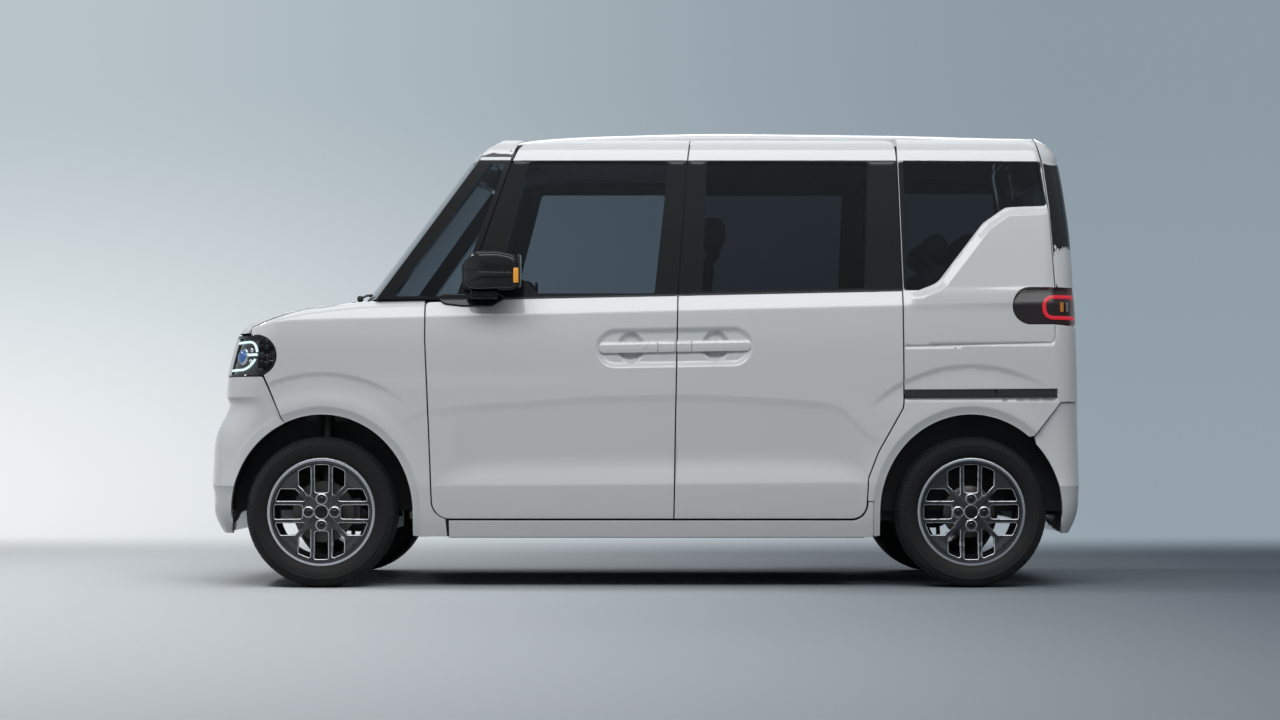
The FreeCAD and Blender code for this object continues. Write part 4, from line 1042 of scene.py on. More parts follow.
def lathe(profile: Sequence[tuple[float, float]], centre: Sequence[float], steps: int = 64) -> Shape:
    """Turn a closed (radius, distance along Y) profile round an axis through the centre along Y."""
    turn = np.linspace(0, 2 * np.pi, steps, endpoint=False)
    rows = [np.stack((r * np.cos(turn), np.full(steps, y), r * np.sin(turn)), axis=1) for r, y in profile]
    return np.concatenate(rows) + np.array(centre, float), ring_faces(len(profile), steps, True)


def block(low: Sequence[float], high: Sequence[float], radius: float = 4.0) -> Shape:
    """A box between two corners with rounded edges.

    Args:
        low: One corner.
        high: The opposite corner.
        radius: The radius of its edges.

    Returns:
        Its points in mm and its faces.
    """
    low, high = np.minimum(low, high).astype(float), np.maximum(low, high).astype(float)
    form = bmesh.new()
    bmesh.ops.create_cube(form, size=1.0)
    size, middle = high - low, (high + low) / 2
    for vert in form.verts:
        vert.co = Vector(tuple(middle + np.array(vert.co) * size))
    radius = min(radius, 0.49 * float(size.min()))
    bmesh.ops.bevel(form, geom=form.edges[:], offset=radius, segments=3, affect="EDGES", profile=0.5)
    form.verts.index_update()
    shape = (np.array([tuple(v.co) for v in form.verts]), [[v.index for v in f.verts] for f in form.faces])
    form.free()
    return shape


def tube(path: Points | Corners, radius: float, sides: int = 12, closed: bool = False) -> Shape:
    """A round bar along a path.

    Args:
        path: The points of its middle line.
        radius: Its radius.
        sides: The number of its sides.
        closed: Whether the path ends where it begins.

    Returns:
        Its points in mm and its faces.
    """
    path = np.asarray(path, float)
    way = np.gradient(path, axis=0) if not closed else np.roll(path, -1, axis=0) - np.roll(path, 1, axis=0)
    way = unit(way)
    side = np.cross(way[0], (0.0, 0.0, 1.0) if abs(way[0][2]) < 0.9 else (1.0, 0.0, 0.0))
    rings = []
    for point, along in zip(path, way):
        side = side - along * float(side @ along)
        side /= np.linalg.norm(side)
        other = np.cross(along, side)
        turn = np.linspace(0, 2 * np.pi, sides, endpoint=False)[:, None]
        rings.append(point + radius * (np.cos(turn) * side + np.sin(turn) * other))
    return np.concatenate(rings), ring_faces(len(path), sides, closed, capped=not closed)


def prism(outline: Points, low: float, high: float, round_off: float) -> Shape:
    """An outline seen from the side, swept across the car, with its two rims rounded.

    Args:
        outline: The outline's (x, z) points.
        low: The y of its outer end.
        high: The y of its inner end.
        round_off: The radius of its rims.

    Returns:
        Its points in mm and its faces.
    """
    loop = turned_left(np.asarray(outline, float))
    turn = np.radians((0, 30, 60, 90))
    rings = [(t, low + round_off * (1 - math.cos(t))) for t in turn]
    rings += [(t, high - round_off * (1 - math.cos(t))) for t in turn[::-1]]
    points = []
    for angle, level in rings:
        ring = inset(loop, round_off * (1 - math.sin(angle)))
        points.append(np.stack((ring[:, 0], np.full(len(ring), level), ring[:, 1]), axis=1))
    return np.concatenate(points), ring_faces(len(points), len(loop), capped=True)


def turned(shape: Shape, axis: Sequence[float], degrees: float, about: Sequence[float]) -> Shape:
    """A shape turned about a line."""
    turn = np.array(Matrix.Rotation(math.radians(degrees), 3, Vector(axis)))
    return (shape[0] - np.array(about, float)) @ turn.T + np.array(about, float), shape[1]


def joined(shapes: Iterable[Shape]) -> Shape:
    """Several shapes as one.

    Args:
        shapes: The shapes.

    Returns:
        The points and faces of them all.
    """
    points, faces, total = [], [], 0
    for spots, loops in shapes:
        points.append(spots)
        faces += [[i + total for i in loop] for loop in loops]
        total += len(spots)
    return np.concatenate(points), faces


def circle(centre: tuple[float, float], radius: float, step: float) -> Points:
    """Points round a whole circle, at a step in degrees."""
    around = np.radians(np.arange(0, 360, step))
    return pairs(centre[0] + radius * np.cos(around), centre[1] + radius * np.sin(around))


def arc(centre: tuple[float, float], radius: float, start: float, finish: float, steps: int) -> Points:
    """Points along part of a circle, by angles in degrees."""
    turn = np.radians(np.linspace(start, finish, steps))
    return pairs(centre[0] + radius * np.cos(turn), centre[1] + radius * np.sin(turn))


def replace_both(pair: Sequence[bpy.types.Object], node: str) -> None:
    """Let a left and a right piece take the places of the solids of their sides."""
    for thing, side in zip(pair, SIDES):
        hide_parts(f"{node}_{side}")


@dataclass
class Workshop:
    """Makes objects from shapes and hangs each one on its body.

    A body in SIDED_BODIES is named without its side here, and a left and a right piece find their own.
    """

    paints: Paintbox
    skin: BodySkin = field(default_factory=BodySkin)

    def put(
        self, name: str, shape: Shape, finish: str, body: str = "body", both: bool = False, sharp: float = 38.0,
    ) -> list[bpy.types.Object]:
        """Make a shape's object, and its mirror image where asked.

        Args:
            name: The object's name.
            shape: Its points in mm and faces.
            finish: The name of its finish.
            body: The body that it rides on.
            both: Whether the right side has one as well.
            sharp: The angle in degrees from which an edge is shaded sharp.

        Returns:
            The objects, the left one first.
        """
        out = []
        for ending, flip in (("_left", 1.0), ("_right", -1.0)) if both else (("", 1.0),):
            mesh = bpy.data.meshes.new(name + ending)
            form = bmesh.new()
            verts = [form.verts.new((p[0] * MM, p[1] * flip * MM, p[2] * MM)) for p in shape[0]]
            for loop in shape[1]:
                corners = [verts[i] for i in dict.fromkeys(loop)]
                if len(corners) > 2 and form.faces.get(corners) is None:
                    form.faces.new(corners)
            bmesh.ops.remove_doubles(form, verts=form.verts, dist=1e-6)
            bmesh.ops.recalc_face_normals(form, faces=form.faces)
            form.to_mesh(mesh)
            form.free()
            mesh.polygons.foreach_set("use_smooth", [True] * len(mesh.polygons))
            mesh.set_sharp_from_angle(angle=math.radians(sharp))
            mesh.materials.append(self.paints.get(finish))
            thing = bpy.data.objects.new(name + ending, mesh)
            bpy.context.scene.collection.objects.link(thing)
            self.hang(thing, body + ending if body in SIDED_BODIES else body, finish)
            out.append(thing)
        return out

    def blocks(self, rows: Iterable[tuple[object, ...]]) -> None:
        """Put boxes from (name, low corner, high corner, edge radius, finish, body where it isn't the body) rows."""
        for name, low, high, radius, finish, *body in rows:
            self.put(name, block(low, high, radius), finish, *body)

    def hang(self, thing: bpy.types.Object, body: str, finish: str) -> None:
        """Let an object ride on a body."""
        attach(thing, body)

    def sheets(self, sheet: Sheet, finish: str, body: str = "body") -> list[bpy.types.Object]:
        """Build a sheet on both sides and hang it."""
        pair = sheet.build(self.paints.get(finish))
        for thing, side in zip(pair, SIDES):
            self.hang(thing, f"{body}_{side}" if body in SIDED_BODIES else body, finish)
        return pair

    def cover(
        self, name: str, loop: Points, finish: str, body: str = "body", **sizes: object,
    ) -> list[bpy.types.Object]:
        """Build a sheet of the body's skin on both sides.

        Args:
            name: Its name, without its side.
            loop: Its outline, as places on the skin.
            finish: The name of its finish.
            body: The body that it rides on.
            sizes: What else the sheet has that isn't usual.

        Returns:
            The objects, the left one first.
        """
        return self.sheets(Sheet(name, self.skin.place, loop, **sizes), finish, body)


# Wheels

FRONT_AXLE = (-1238.0, 289.5)
REAR_AXLE = (1257.0, 289.5)
Profile = Sequence[tuple[float, float]]
TYRE_WALL: Profile = (
    (192, 55), (206, 58.5), (209, 66), (214, 72), (222, 77), (236, 80.8), (247, 81.8), (255, 81.6), (256, 82.0),
    (258, 82.0), (259, 81.0), (266, 78.6), (272, 75.6), (277, 72.0), (281, 68.0), (284, 63.0), (286.5, 56.5),
    (288.2, 48), (289.0, 41),
)
TYRE_INSIDE: Profile = (
    (192, -40), (215, -50), (240, -60), (262, -50), (270, 0), (262, 50), (240, 60), (215, 50), (192, 40),
)
BRAKE_DISC: Profile = ((60, 8), (118, 8), (118, 13), (112, 14), (112, 24), (118, 25), (118, 30), (60, 30))
BRAKE_DRUM: Profile = ((60, 6), (96, 6), (101, 10), (101, 48), (96, 52), (60, 52))
BOLT_CUP: Profile = ((19.4, -57.6), (18.0, -58.2), (15.0, -51), (12.5, -47), (12.5, -44), (19.4, -44))
BOLT: Profile = ((0, -57), (6, -56.6), (9.6, -54.5), (10.4, -51), (10.4, -44), (0, -44))
VALVE: Profile = ((0, -70), (2.6, -70), (3.4, -60), (3.4, -44), (0, -44))


@dataclass(frozen=True)
class TurnedPart:
    """A piece of the wheel made on a lathe, with its profile of (radius, distance outwards) points."""

    name: str
    finish: str
    steps: int
    profile: Profile


WHEEL_PARTS = (
    TurnedPart("wheel_barrel", "wheel_alloy", 96, (
        (190.5, -55), (206.5, -58), (207.3, -61), (206.5, -64), (203, -65), (188, -63), (186, -58), (184, -40),
        (176, -24), (166, 0), (166, 26), (182, 58), (206, 64), (206.5, 58), (190.5, 55), (188, 30), (172, 22),
        (172, 0), (181, -24), (189, -40),
    )),
    TurnedPart("wheel_lip", "wheel_edge", 96, (
        (207.4, -61), (206.5, -64.4), (203, -65.6), (197, -65.0), (197, -63.5), (203, -63.6),
    )),
    TurnedPart("wheel_boss", "wheel_alloy", 48, ((0, -50), (64, -46), (72, -30), (62, -12), (62, 34), (0, 34))),
    TurnedPart("cap_ring", "wheel_edge", 48, ((28.5, -54), (28.5, -59.5), (27.0, -61.0), (25.4, -60.0), (25.0, -57))),
    TurnedPart("wheel_cap", "gloss_black", 48, (
        (0, -60.4), (10, -60.2), (18, -59.6), (24, -58.2), (25.4, -56), (25.4, -50), (0, -50),
    )),
)


@dataclass
class Wheels:
    """Four wheels: tyre with tread and serrated shoulder, and an alloy wheel with paired spokes."""

    shop: Workshop
    radius: float = 289.5
    face_out: float = -57.0
    face_radius: float = 187.0
    lug_circle: float = 50.0
    cup_radius: float = 19.5
    grooves: tuple[float, ...] = (-30.0, -10.0, 10.0, 30.0)
    groove_depth: float = 7.0
    lug_depth: float = 3.4
    mark_depth: float = 2.4
    tyre_steps: int = 432
    valve_circle: float = 176.0
    valve_turn: float = 0.78

    def tread(self, angle: Points, across: Points, base: Points) -> Points:
        """How deep the tread and the shoulder's serrations lie below the tyre's plain profile.

        Args:
            angle: Angles round the tyre.
            across: Distances from the tyre's middle plane.
            base: Radii of the plain profile.

        Returns:
            The depths.
        """
        depth = np.zeros_like(across)
        top = base > self.radius - 6
        for place in self.grooves:
            width = 3.6 if abs(place) > 20 else 2.6
            wave = 1.5 * np.sin(angle * 36)
            depth = np.maximum(depth, self.groove_depth * (np.abs(across - place - wave) < width) * top)
        column = np.arange(len(angle))
        lug_gap = ((column + (across > 0) * 3) % 6 == 0) & (np.abs(across) > 36) & (base > self.radius - 12)
        depth = np.maximum(depth, self.lug_depth * lug_gap)
        sipe = (column % 3 == 1) & (np.abs(across) < 28) & top
        depth = np.maximum(depth, self.mark_depth * sipe)
        serration = (column % 2 == 0) & (base > self.radius - 32) & (base < self.radius - 3)
        return np.maximum(depth, self.mark_depth * serration)

    def tyre(self) -> Shape:
        """The tyre about the origin.

        Returns:
            Its points in mm and its faces.
        """
        across = np.linspace(36, -36, 25)
        profile = [*TYRE_WALL, *((self.radius, a) for a in across), *((a, -b) for a, b in reversed(TYRE_WALL))]
        steps = self.tyre_steps
        turn = np.linspace(0, 2 * np.pi, steps, endpoint=False)
        rows = []
        for base, y in (*profile, *TYRE_INSIDE):
            spread = np.full(steps, y)
            within = base <= 270 and abs(y) <= 60
            depth = self.tread(turn, spread, np.full(steps, base)) if base > 254 and not within else 0.0
            around = base - depth * (1.0 if base > 283 else 0.45)
            y_here = spread - np.sign(spread) * depth * (0.0 if base > 286 else 0.8)
            rows.append(np.stack((around * np.cos(turn), y_here, around * np.sin(turn)), axis=1))
        return np.concatenate(rows), ring_faces(len(rows), steps, True)

    def face_holes(self) -> list[Points]:
        """The openings of the wheel's face: middle slots, side slots and bolt cups.

        Returns:
            One outline for each opening.
        """
        holes = []
        for quarter in range(4):
            turn = np.array(((0, 1), (-1, 0))) if quarter % 2 else np.eye(2)
            turn = turn if quarter < 2 else -turn
            middle = rounded([(-25, 75, 8), (25, 75, 8), (26, 180, 5), (-26, 180, 5)], 6.0)
            holes.append(middle @ turn.T)
            for flip in (1, -1):
                gap = rounded([(flip * 43, 62, 4), (flip * 87, 101, 4), (flip * 87, 157, 6), (flip * 43, 176, 5)], 6.0)
                holes.append(gap @ turn.T)
            holes.append(circle((0.0, self.lug_circle), self.cup_radius, 15.0) @ turn.T)
        return holes

    def face_depth(self, x: Points, z: Points) -> Points:
        """How far each place of the face lies behind its outermost plane."""
        away = np.hypot(x, z)
        dish = 5.0 * smoothstep(60, 150, away) * (1 - smoothstep(150, 184, away))
        slant = np.minimum(np.abs(x - z), np.abs(x + z)) / math.sqrt(2)
        arm = smoothstep(11, 15, slant) * (1 - smoothstep(118, 138, away))
        return dish + 4.0 * arm

    def arm_rows(self) -> list[Points]:
        """Rows of points along the edges of the two slanted arms.

        Returns:
            The rows, each of (x, z) points.
        """
        rows = []
        along = np.arange(-136, 137, 5.0)
        for side in (11.0, 13.0, 15.0):
            for shift in (side * 0.7071, -side * 0.7071):
                rows.append(pairs(along + shift, along - shift))
                rows.append(pairs(along + shift, -along + shift))
        return rows

    def build_face(self, name: str, centre: tuple[float, float, float], body: str) -> None:
        """The spoked face of one kind of wheel, on both sides of the car.

        Args:
            name: The face's name.
            centre: The wheel's centre on the left side.
            body: The body that it rides on.
        """
        cx, cy, cz = centre

        def surface(a: Points, b: Points) -> Points:
            """The face's plane."""
            a, b = np.broadcast_arrays(a, b)
            return np.stack((cx + a, np.full(a.shape, cy + self.face_out), cz + b), axis=1)

        sheet = Sheet(
            name, surface, circle((0.0, 0.0), self.face_radius, 2.5), holes=self.face_holes(), relief=self.face_depth,
            features=self.arm_rows(), depth=16.0, edge=3.4, grid=7.0, middle=(cx, cy + 400.0, cz),
        )
        for thing in self.shop.sheets(sheet, "wheel_alloy", body):
            thing.data.materials.append(self.shop.paints.get("wheel_edge"))
            marks = np.zeros(len(thing.data.polygons), int)
            marks[:len(sheet.rim_marks)] = sheet.rim_marks
            thing.data.polygons.foreach_set("material_index", marks.tolist())

    def build_bolts(self, end: str, centre: tuple[float, float, float]) -> None:
        """The four bolts and their cups.

        Args:
            end: The car's end, front or rear.
            centre: The wheel's centre on the left side.
        """
        x, y, z = centre
        reach = self.lug_circle
        places = [(x + dx * reach, y, z + dz * reach) for dx, dz in ((0, 1), (1, 0), (0, -1), (-1, 0))]
        for name, profile, steps, finish in (
            ("bolt_cups", BOLT_CUP, 32, "wheel_edge"), ("wheel_bolts", BOLT, 6, "gloss_black"),
        ):
            pieces = joined(lathe(profile, place, steps) for place in places)
            self.shop.put(f"{end}_{name}", pieces, finish, f"{end}_wheel", True, 40.0)

    def build(self) -> None:
        """Build every wheel."""
        for end, x, half_track, brake, brake_profile in (
            ("front", FRONT_AXLE[0], 650.0, "front_brake_disc", BRAKE_DISC),
            ("rear", REAR_AXLE[0], 645.0, "rear_brake_drum", BRAKE_DRUM),
        ):
            centre = (x, -half_track, self.radius)
            body = f"{end}_wheel"
            spots, faces = self.tyre()
            tyres = self.shop.put(f"{end}_tyre_tread", (spots + np.array(centre), faces), "rubber", body, True, 30.0)
            self.build_face(f"{end}_wheel_face", centre, body)
            pairs = {}
            for part in WHEEL_PARTS:
                shape = lathe(part.profile, centre, part.steps)
                pairs[part.name] = self.shop.put(f"{end}_{part.name}", shape, part.finish, body, True, 40.0)
            self.build_bolts(end, centre)
            self.shop.put(brake, lathe(brake_profile, centre, 72), "brake_iron", body, True, 40.0)
            out, down = self.valve_circle * math.sin(self.valve_turn), self.valve_circle * math.cos(self.valve_turn)
            place = (x + out, -half_track + 4, self.radius - down)
            self.shop.put(f"{end}_valve", lathe(VALVE, place, 12), "rubber", body, True, 40.0)
            replace_both(tyres, f"{end}_tyre")
            replace_both(pairs["wheel_barrel"], f"{end}_rim")
        LOG.info("wheels: tyres, faces, barrels, caps and bolts")


# Door handles and mirrors

BAR_HEIGHT, RECESS_HEIGHT = 925.0, 921.5


def handle_line(height: float, x: Points) -> Points:
    """The heights of a line along the door handles, from its height between the doors."""
    return height + 0.017 * (x - 117.0)


@dataclass
class DoorFittings:
    """The handle bars across the doors' shared recess, the lock and the mirrors."""

    shop: Workshop
    bars: tuple[tuple[str, str, float, float, float, float], ...] = (
        ("front_handle_bar", "front_door", -172.0, 52.5, 18.0, 3.0),
        ("front_handle_seat", "front_door", 54.0, 120.0, 3.0, 1.0),
        ("rear_handle_seat", "body", 126.5, 183.0, 1.0, 3.0),
        ("rear_handle_bar", "body", 184.5, 411.0, 3.0, 18.0),
    )
    bar_half_height: float = 22.0
    mirror_outline: Corners = (
        (-694, 1139, 34), (-640, 1131, 30), (-505, 1136, 34), (-472, 1152, 24), (-478, 1272, 44), (-560, 1288, 90),
        (-655, 1286, 70), (-701, 1240, 60),
    )
    neck_outline: Corners = ((-668, 1104, 10), (-560, 1104, 10), (-556, 1142, 10), (-660, 1142, 10))
    foot_outline: Corners = (
        (-800, 1116, 10), (-770, 1086, 30), (-700, 1078, 40), (-585, 1078, 40), (-530, 1112, 12), (-555, 1128, 10),
        (-775, 1128, 10),
    )

    def handle_face(self, x: Points, z: Points) -> Points:
        """How far the bar's bevelled upper edge and gently rounded face lie below the skin."""
        middle = handle_line(BAR_HEIGHT, x)
        return 5.0 * smoothstep(7, 23, z - middle) + 2.2 * smoothstep(6, 24, middle - z) + 1.0

    def build_handles(self) -> None:
        """Build the bars and the lock's disc."""
        half = self.bar_half_height
        for name, body, low, high, first, last in self.bars:
            base, after = handle_line(BAR_HEIGHT, low), handle_line(BAR_HEIGHT, high)
            outline = rounded([
                (low, base - half, first), (high, after - half, last), (high, after + half, last),
                (low, base + half, first),
            ], 5.0)
            x = np.arange(low, high, 6.0)
            rows = [pairs(x, handle_line(BAR_HEIGHT, x) + shift) for shift in (-14, -7, 7, 12, 17)]
            self.shop.cover(
                name, outline, "pearl_white_paint", body, relief=self.handle_face, features=rows, depth=17.0, edge=2.2,
                grid=9.0,
            )
        for name, radius, depth in (("lock_ring", 9.6, 0.3), ("lock_face", 7.2, -0.6)):
            loop = circle((7, 924), radius, 15.0)
            self.shop.cover(
                name, loop, "pearl_white_paint", "front_door", depth=3.0, edge=1.0, grid=6.0, skin_depth=depth,
            )

    def mirror_shell(self) -> Sheet:
        """The mirror's outer shell, with its two long creases.

        Returns:
            The sheet of the left mirror.
        """

        def surface(a: Points, b: Points) -> Points:
            """The shell's bulged outer face."""
            a, b = np.broadcast_arrays(np.asarray(a, float), np.asarray(b, float))
            bulge = 46.0 * ((np.clip(-590 - a, 0, 130)) / 110.0) ** 2 + 9.0 * ((b - 1212.0) / 75.0) ** 2
            return np.stack((a, -887.0 + bulge, b), axis=1)

        def groove(a: Points, b: Points) -> Points:
            """The shell's two long creases."""
            first = 2.2 * np.exp(-((b - 1204 + 0.02 * (a + 590)) / 3.0) ** 2)
            return first + 3.0 * smoothstep(0, 5, 1168 + 0.04 * (a + 590) - b)

        x = np.arange(-700, -470, 6.0)
        rows = [pairs(x, height - 0.02 * (x + 590)) for height in (1200, 1204, 1208)]
        rows += [pairs(x, height + 0.04 * (x + 590)) for height in (1163, 1168)]
        return Sheet(
            "mirror_shell", surface, rounded(self.mirror_outline, 7.0), relief=groove, features=rows, depth=92.0,
            edge=24.0, grid=8.0, middle=(-590.0, -600.0, 1210.0),
        )

    def build_mirrors(self) -> None:
        """Build each mirror's shell, glass, indicator, neck and foot."""
        shell = self.mirror_shell()
        replace_both(self.shop.sheets(shell, "gloss_black", "front_door"), "mirror")
        for name, shape, finish in (
            ("mirror_case", prism(inset(shell.outline, 3.0), -800, -752, 14.0), "gloss_black"),
            ("mirror_bezel", block((-480, -868, 1146), (-468.5, -760, 1270), 5.0), "black_plastic"),
            ("mirror_glass", block((-469.5, -862, 1151), (-467.2, -766, 1265), 1.0), "mirror_silver"),
            ("mirror_indicator", block((-494, -890, 1160), (-475, -862, 1216), 3.0), "amber_lamp"),
            ("mirror_neck", prism(rounded(self.neck_outline, 6.0), -800, -704, 6.0), "gloss_black"),
        ):
            self.shop.put(name, shape, finish, "front_door", True, 40.0)
        foot = rounded(self.foot_outline, 6.0)
        self.shop.cover(
            "mirror_foot", foot, "gloss_black", "front_door", depth=16.0, edge=5.0, grid=10.0, skin_depth=-8.0,
        )

    def build(self) -> None:
        """Build all of them."""
        self.build_handles()
        self.build_mirrors()
        LOG.info("door fittings: handles and mirrors")


# The body panels

BLISTERS = ((FRONT_AXLE, 540.0, 52.0, 127.0), (REAR_AXLE, 570.0, 59.0, 134.0))
RECESS_ENDS, RECESS_RADIUS = (-109.0, 343.0), 78.0
POCKETS, POCKET_SIZE = ((-50.0, 921.0), (276.0, 928.0)), (58.0, 62.0)
SEAM_TURN, SEAM_RADIUS = (1558.0, 965.0), 25.0


def rail_line(height: float, x: Points) -> Points:
    """The heights of a line along the sliding door's rail, from its height at x 1290."""
    return height + 0.006 * (x - 1290)


def joint_line(x: Points) -> Points:
    """The height of the quarter's joint ahead of the tail lamp."""
    return 925.0 + 0.026 * (x - 1000)


@dataclass(frozen=True)
class FlankRelief:
    """The hollows and raised edges of the flank, as depths below the plain skin in mm."""

    upper_crease: tuple[tuple[float, float], ...] = (
        (-985, 604), (-930, 640), (-890, 664), (-858, 678), (-835, 686), (-671, 703), (-448, 717), (-178, 734),
        (62, 740.6), (179, 741.7), (472, 729), (640, 717), (700, 710), (754, 695), (801, 654), (848, 607.5),
        (883, 581), (918, 568), (960, 560),
    )
    valley: tuple[tuple[float, float], ...] = (
        (-985, 388), (-812, 390), (-741, 428), (-682, 455), (-624, 469.5), (-530, 477), (-330, 481), (62, 487),
        (300, 490), (625, 490), (707, 481), (766, 468), (813, 446), (848, 422), (862, 406), (960, 404),
    )
    lower_slope: float = 0.185
    valley_width: float = 16.0
    step_depth: float = 3.2
    blister_depth: float = 6.5
    recess_depth: float = 13.0
    pocket_depth: float = 20.0
    slot_depth: float = 14.0
    ledge_depth: float = 5.0
    lip_width: float = 31.0
    lip_stand: float = 4.5
    lip_drop: float = 9.0
    arch_half: float = 350.0
    arch_height: float = 374.0

    def lower_crease(self, x: Points) -> Points:
        """The height of the lower crease."""
        return 395.5 + 0.0092 * x

    def scoop(self, x: Points, z: Points) -> Points:
        """The door's hollow: a wall under the upper crease that turns out again below the valley.

        Args:
            x: Stations along the car.
            z: Heights.

        Returns:
            One depth for each pair.
        """
        top = table(self.upper_crease, x)
        low = self.lower_crease(x)
        valley = np.maximum(table(self.valley, x), low + 1.0)
        floor_depth = (valley - low) * self.lower_slope
        across = np.clip((top - z) / np.maximum(top - valley, 20.0), 0, 1)
        wall = floor_depth * (1 - (1 - across) ** 1.25)
        below = floor_depth * np.clip((z - low) / np.maximum(valley - low, 1.0), 0, 1)
        rounding = 0.5 * self.valley_width * self.lower_slope * np.exp(-((z - valley) / self.valley_width) ** 2)
        depth = np.where(z > valley, wall, below) - rounding * (floor_depth > 3)
        step = self.step_depth * smoothstep(0, 34, top - z) * smoothstep(0, 90, z - low)
        ends = smoothstep(-985, -850, x) * (1 - smoothstep(880, 975, x))
        hollow = np.where((z < top) & (z > low), np.maximum(depth, 0) + step * ends, 0.0)
        return hollow * smoothstep(-985, -900, x) * (1 - smoothstep(930, 985, x))

    def arch_distance(self, x: Points, z: Points) -> Points:
        """How far a place is outside the nearer wheel opening.

        Args:
            x: Stations along the car.
            z: Heights.

        Returns:
            One distance for each pair, below 0 in the opening.
        """
        out = np.full(np.shape(x), 1e4)
        for axle_x, axle_z in (FRONT_AXLE, REAR_AXLE):
            across, up = x - axle_x, np.maximum(z - axle_z, 0)
            share = np.hypot(across / self.arch_half, up / self.arch_height)
            scale = np.where(share > 1e-6, np.hypot(across, up) / np.maximum(share, 1e-6), self.arch_half)
            out = np.minimum(out, (share - 1) * scale)
        return out

    def lip(self, x: Points, z: Points) -> Points:
        """The raised and turned-in edge of the wheel openings."""
        away = self.arch_distance(x, z)
        turned_in = self.lip_drop - (self.lip_drop + self.lip_stand) * np.clip(away / self.lip_width, 0, 1) ** 1.15
        spread = -self.lip_stand * (1 - smoothstep(0, 70, away - self.lip_width))
        return np.where(away < self.lip_width, turned_in, spread)

    def blisters(self, x: Points, z: Points) -> Points:
        """The shallow steps that arch over both wheels.

        Args:
            x: Stations along the car.
            z: Heights.

        Returns:
            One depth for each pair.
        """
        out = np.zeros(np.shape(x))
        for (axle_x, axle_z), radius, start, finish in BLISTERS:
            across, up = x - axle_x, z - axle_z
            angle = np.degrees(np.arctan2(up, across))
            window = smoothstep(start - 4, start + 16, angle) * (1 - smoothstep(finish - 16, finish + 4, angle))
            inner = radius - np.hypot(across, up)
            out += self.blister_depth * smoothstep(0, 22, inner) * (1 - smoothstep(20, 120, inner)) * window
        return out

    def handle_recess(self, x: Points, z: Points) -> Points:
        """The capsule recess behind the door handles and its two finger pockets.

        Args:
            x: Stations along the car.
            z: Heights.

        Returns:
            One depth for each pair.
        """
        away = np.hypot(x - np.clip(x, *RECESS_ENDS), z - handle_line(RECESS_HEIGHT, x))
        depth = self.recess_depth * smoothstep(0, 24, RECESS_RADIUS - away)
        for centre_x, centre_z in POCKETS:
            share = ((x - centre_x) / POCKET_SIZE[0]) ** 2 + ((z - centre_z) / POCKET_SIZE[1]) ** 2
            depth = depth + self.pocket_depth * smoothstep(0, 0.62, 1 - share)
        return depth

    def rail_slot(self, x: Points, z: Points) -> Points:
        """The sliding door's rail slot in the rear quarter and its bright lower lip."""
        along = smoothstep(0, 3, 1592.0 - x)
        top, low = rail_line(761.0, x), rail_line(729.0, x)
        slot = self.slot_depth * smoothstep(0, 2.5, top - z) * smoothstep(0, 2.5, z - low)
        ledge = self.ledge_depth * smoothstep(0, 1.5, low - z) * np.clip(1 - (731.0 - z) / 21.0, 0, 1)
        return (slot + np.where(z < 730, ledge, 0.0)) * along * (x > 985)

    def crease_rows(self, x: Points) -> list[Points]:
        """Rows of points along the door's creases and the valley between them."""
        upper, lower, valley = table(self.upper_crease, x), self.lower_crease(x), table(self.valley, x)
        rows = [pairs(x, upper + shift) for shift in (-9.0, -3.0, 3.0)]
        rows += [pairs(x, lower + shift) for shift in (-5.0, 0.0, 5.0)]
        return rows + [pairs(x, valley)[valley > lower + 12]]

    def arch_rows(self, axle: tuple[float, float], radius: float) -> list[Points]:
        """Rows of points along a wheel opening's lip and the blister over it.

        Args:
            axle: The x and z of the axle.
            radius: The radius of the blister.

        Returns:
            The rows, each of (x, z) points.
        """
        rows = []
        turn = np.radians(np.arange(-20, 201, 1.2))
        for away in (8.0, 18.0, self.lip_width - 4.0, self.lip_width, self.lip_width + 5.0):
            up = np.maximum(np.sin(turn), 0) * (self.arch_height + away)
            side = np.cos(turn) * (self.arch_half + away)
            rows.append(pairs(axle[0] + side, axle[1] + up)[turn > 0])
            legs = np.arange(150.0, axle[1], 8.0)
            for sign in (-1, 1):
                rows.append(pairs(axle[0] + sign * (self.arch_half + away), legs))
        turn = np.radians(np.arange(50, 136, 0.8))
        for away in (-16.0, -8.0, -2.0, 3.0):
            reach = radius + away
            rows.append(pairs(axle[0] + reach * np.cos(turn), axle[1] + reach * np.sin(turn)))
        return rows

    def feature_rows(self, low: float, high: float) -> list[Points]:
        """Rows of points along the creases between two stations.

        Args:
            low: The first station.
            high: The last station.

        Returns:
            The rows, each of (x, z) points.
        """
        x = np.arange(low, high, 8.0)
        here = x[(x > -985) & (x < 960)]
        rows = self.crease_rows(here) if len(here) else []
        for slope, height in ((0.025, 1057.0), (BELT_SLOPE, BELT_Z)):
            rows += [pairs(x, height + slope * x + shift) for shift in (-4.0, 4.0)]
        for axle, radius, _, _ in BLISTERS:
            if low - 400 < axle[0] < high + 400:
                rows += self.arch_rows(axle, radius)
        return rows


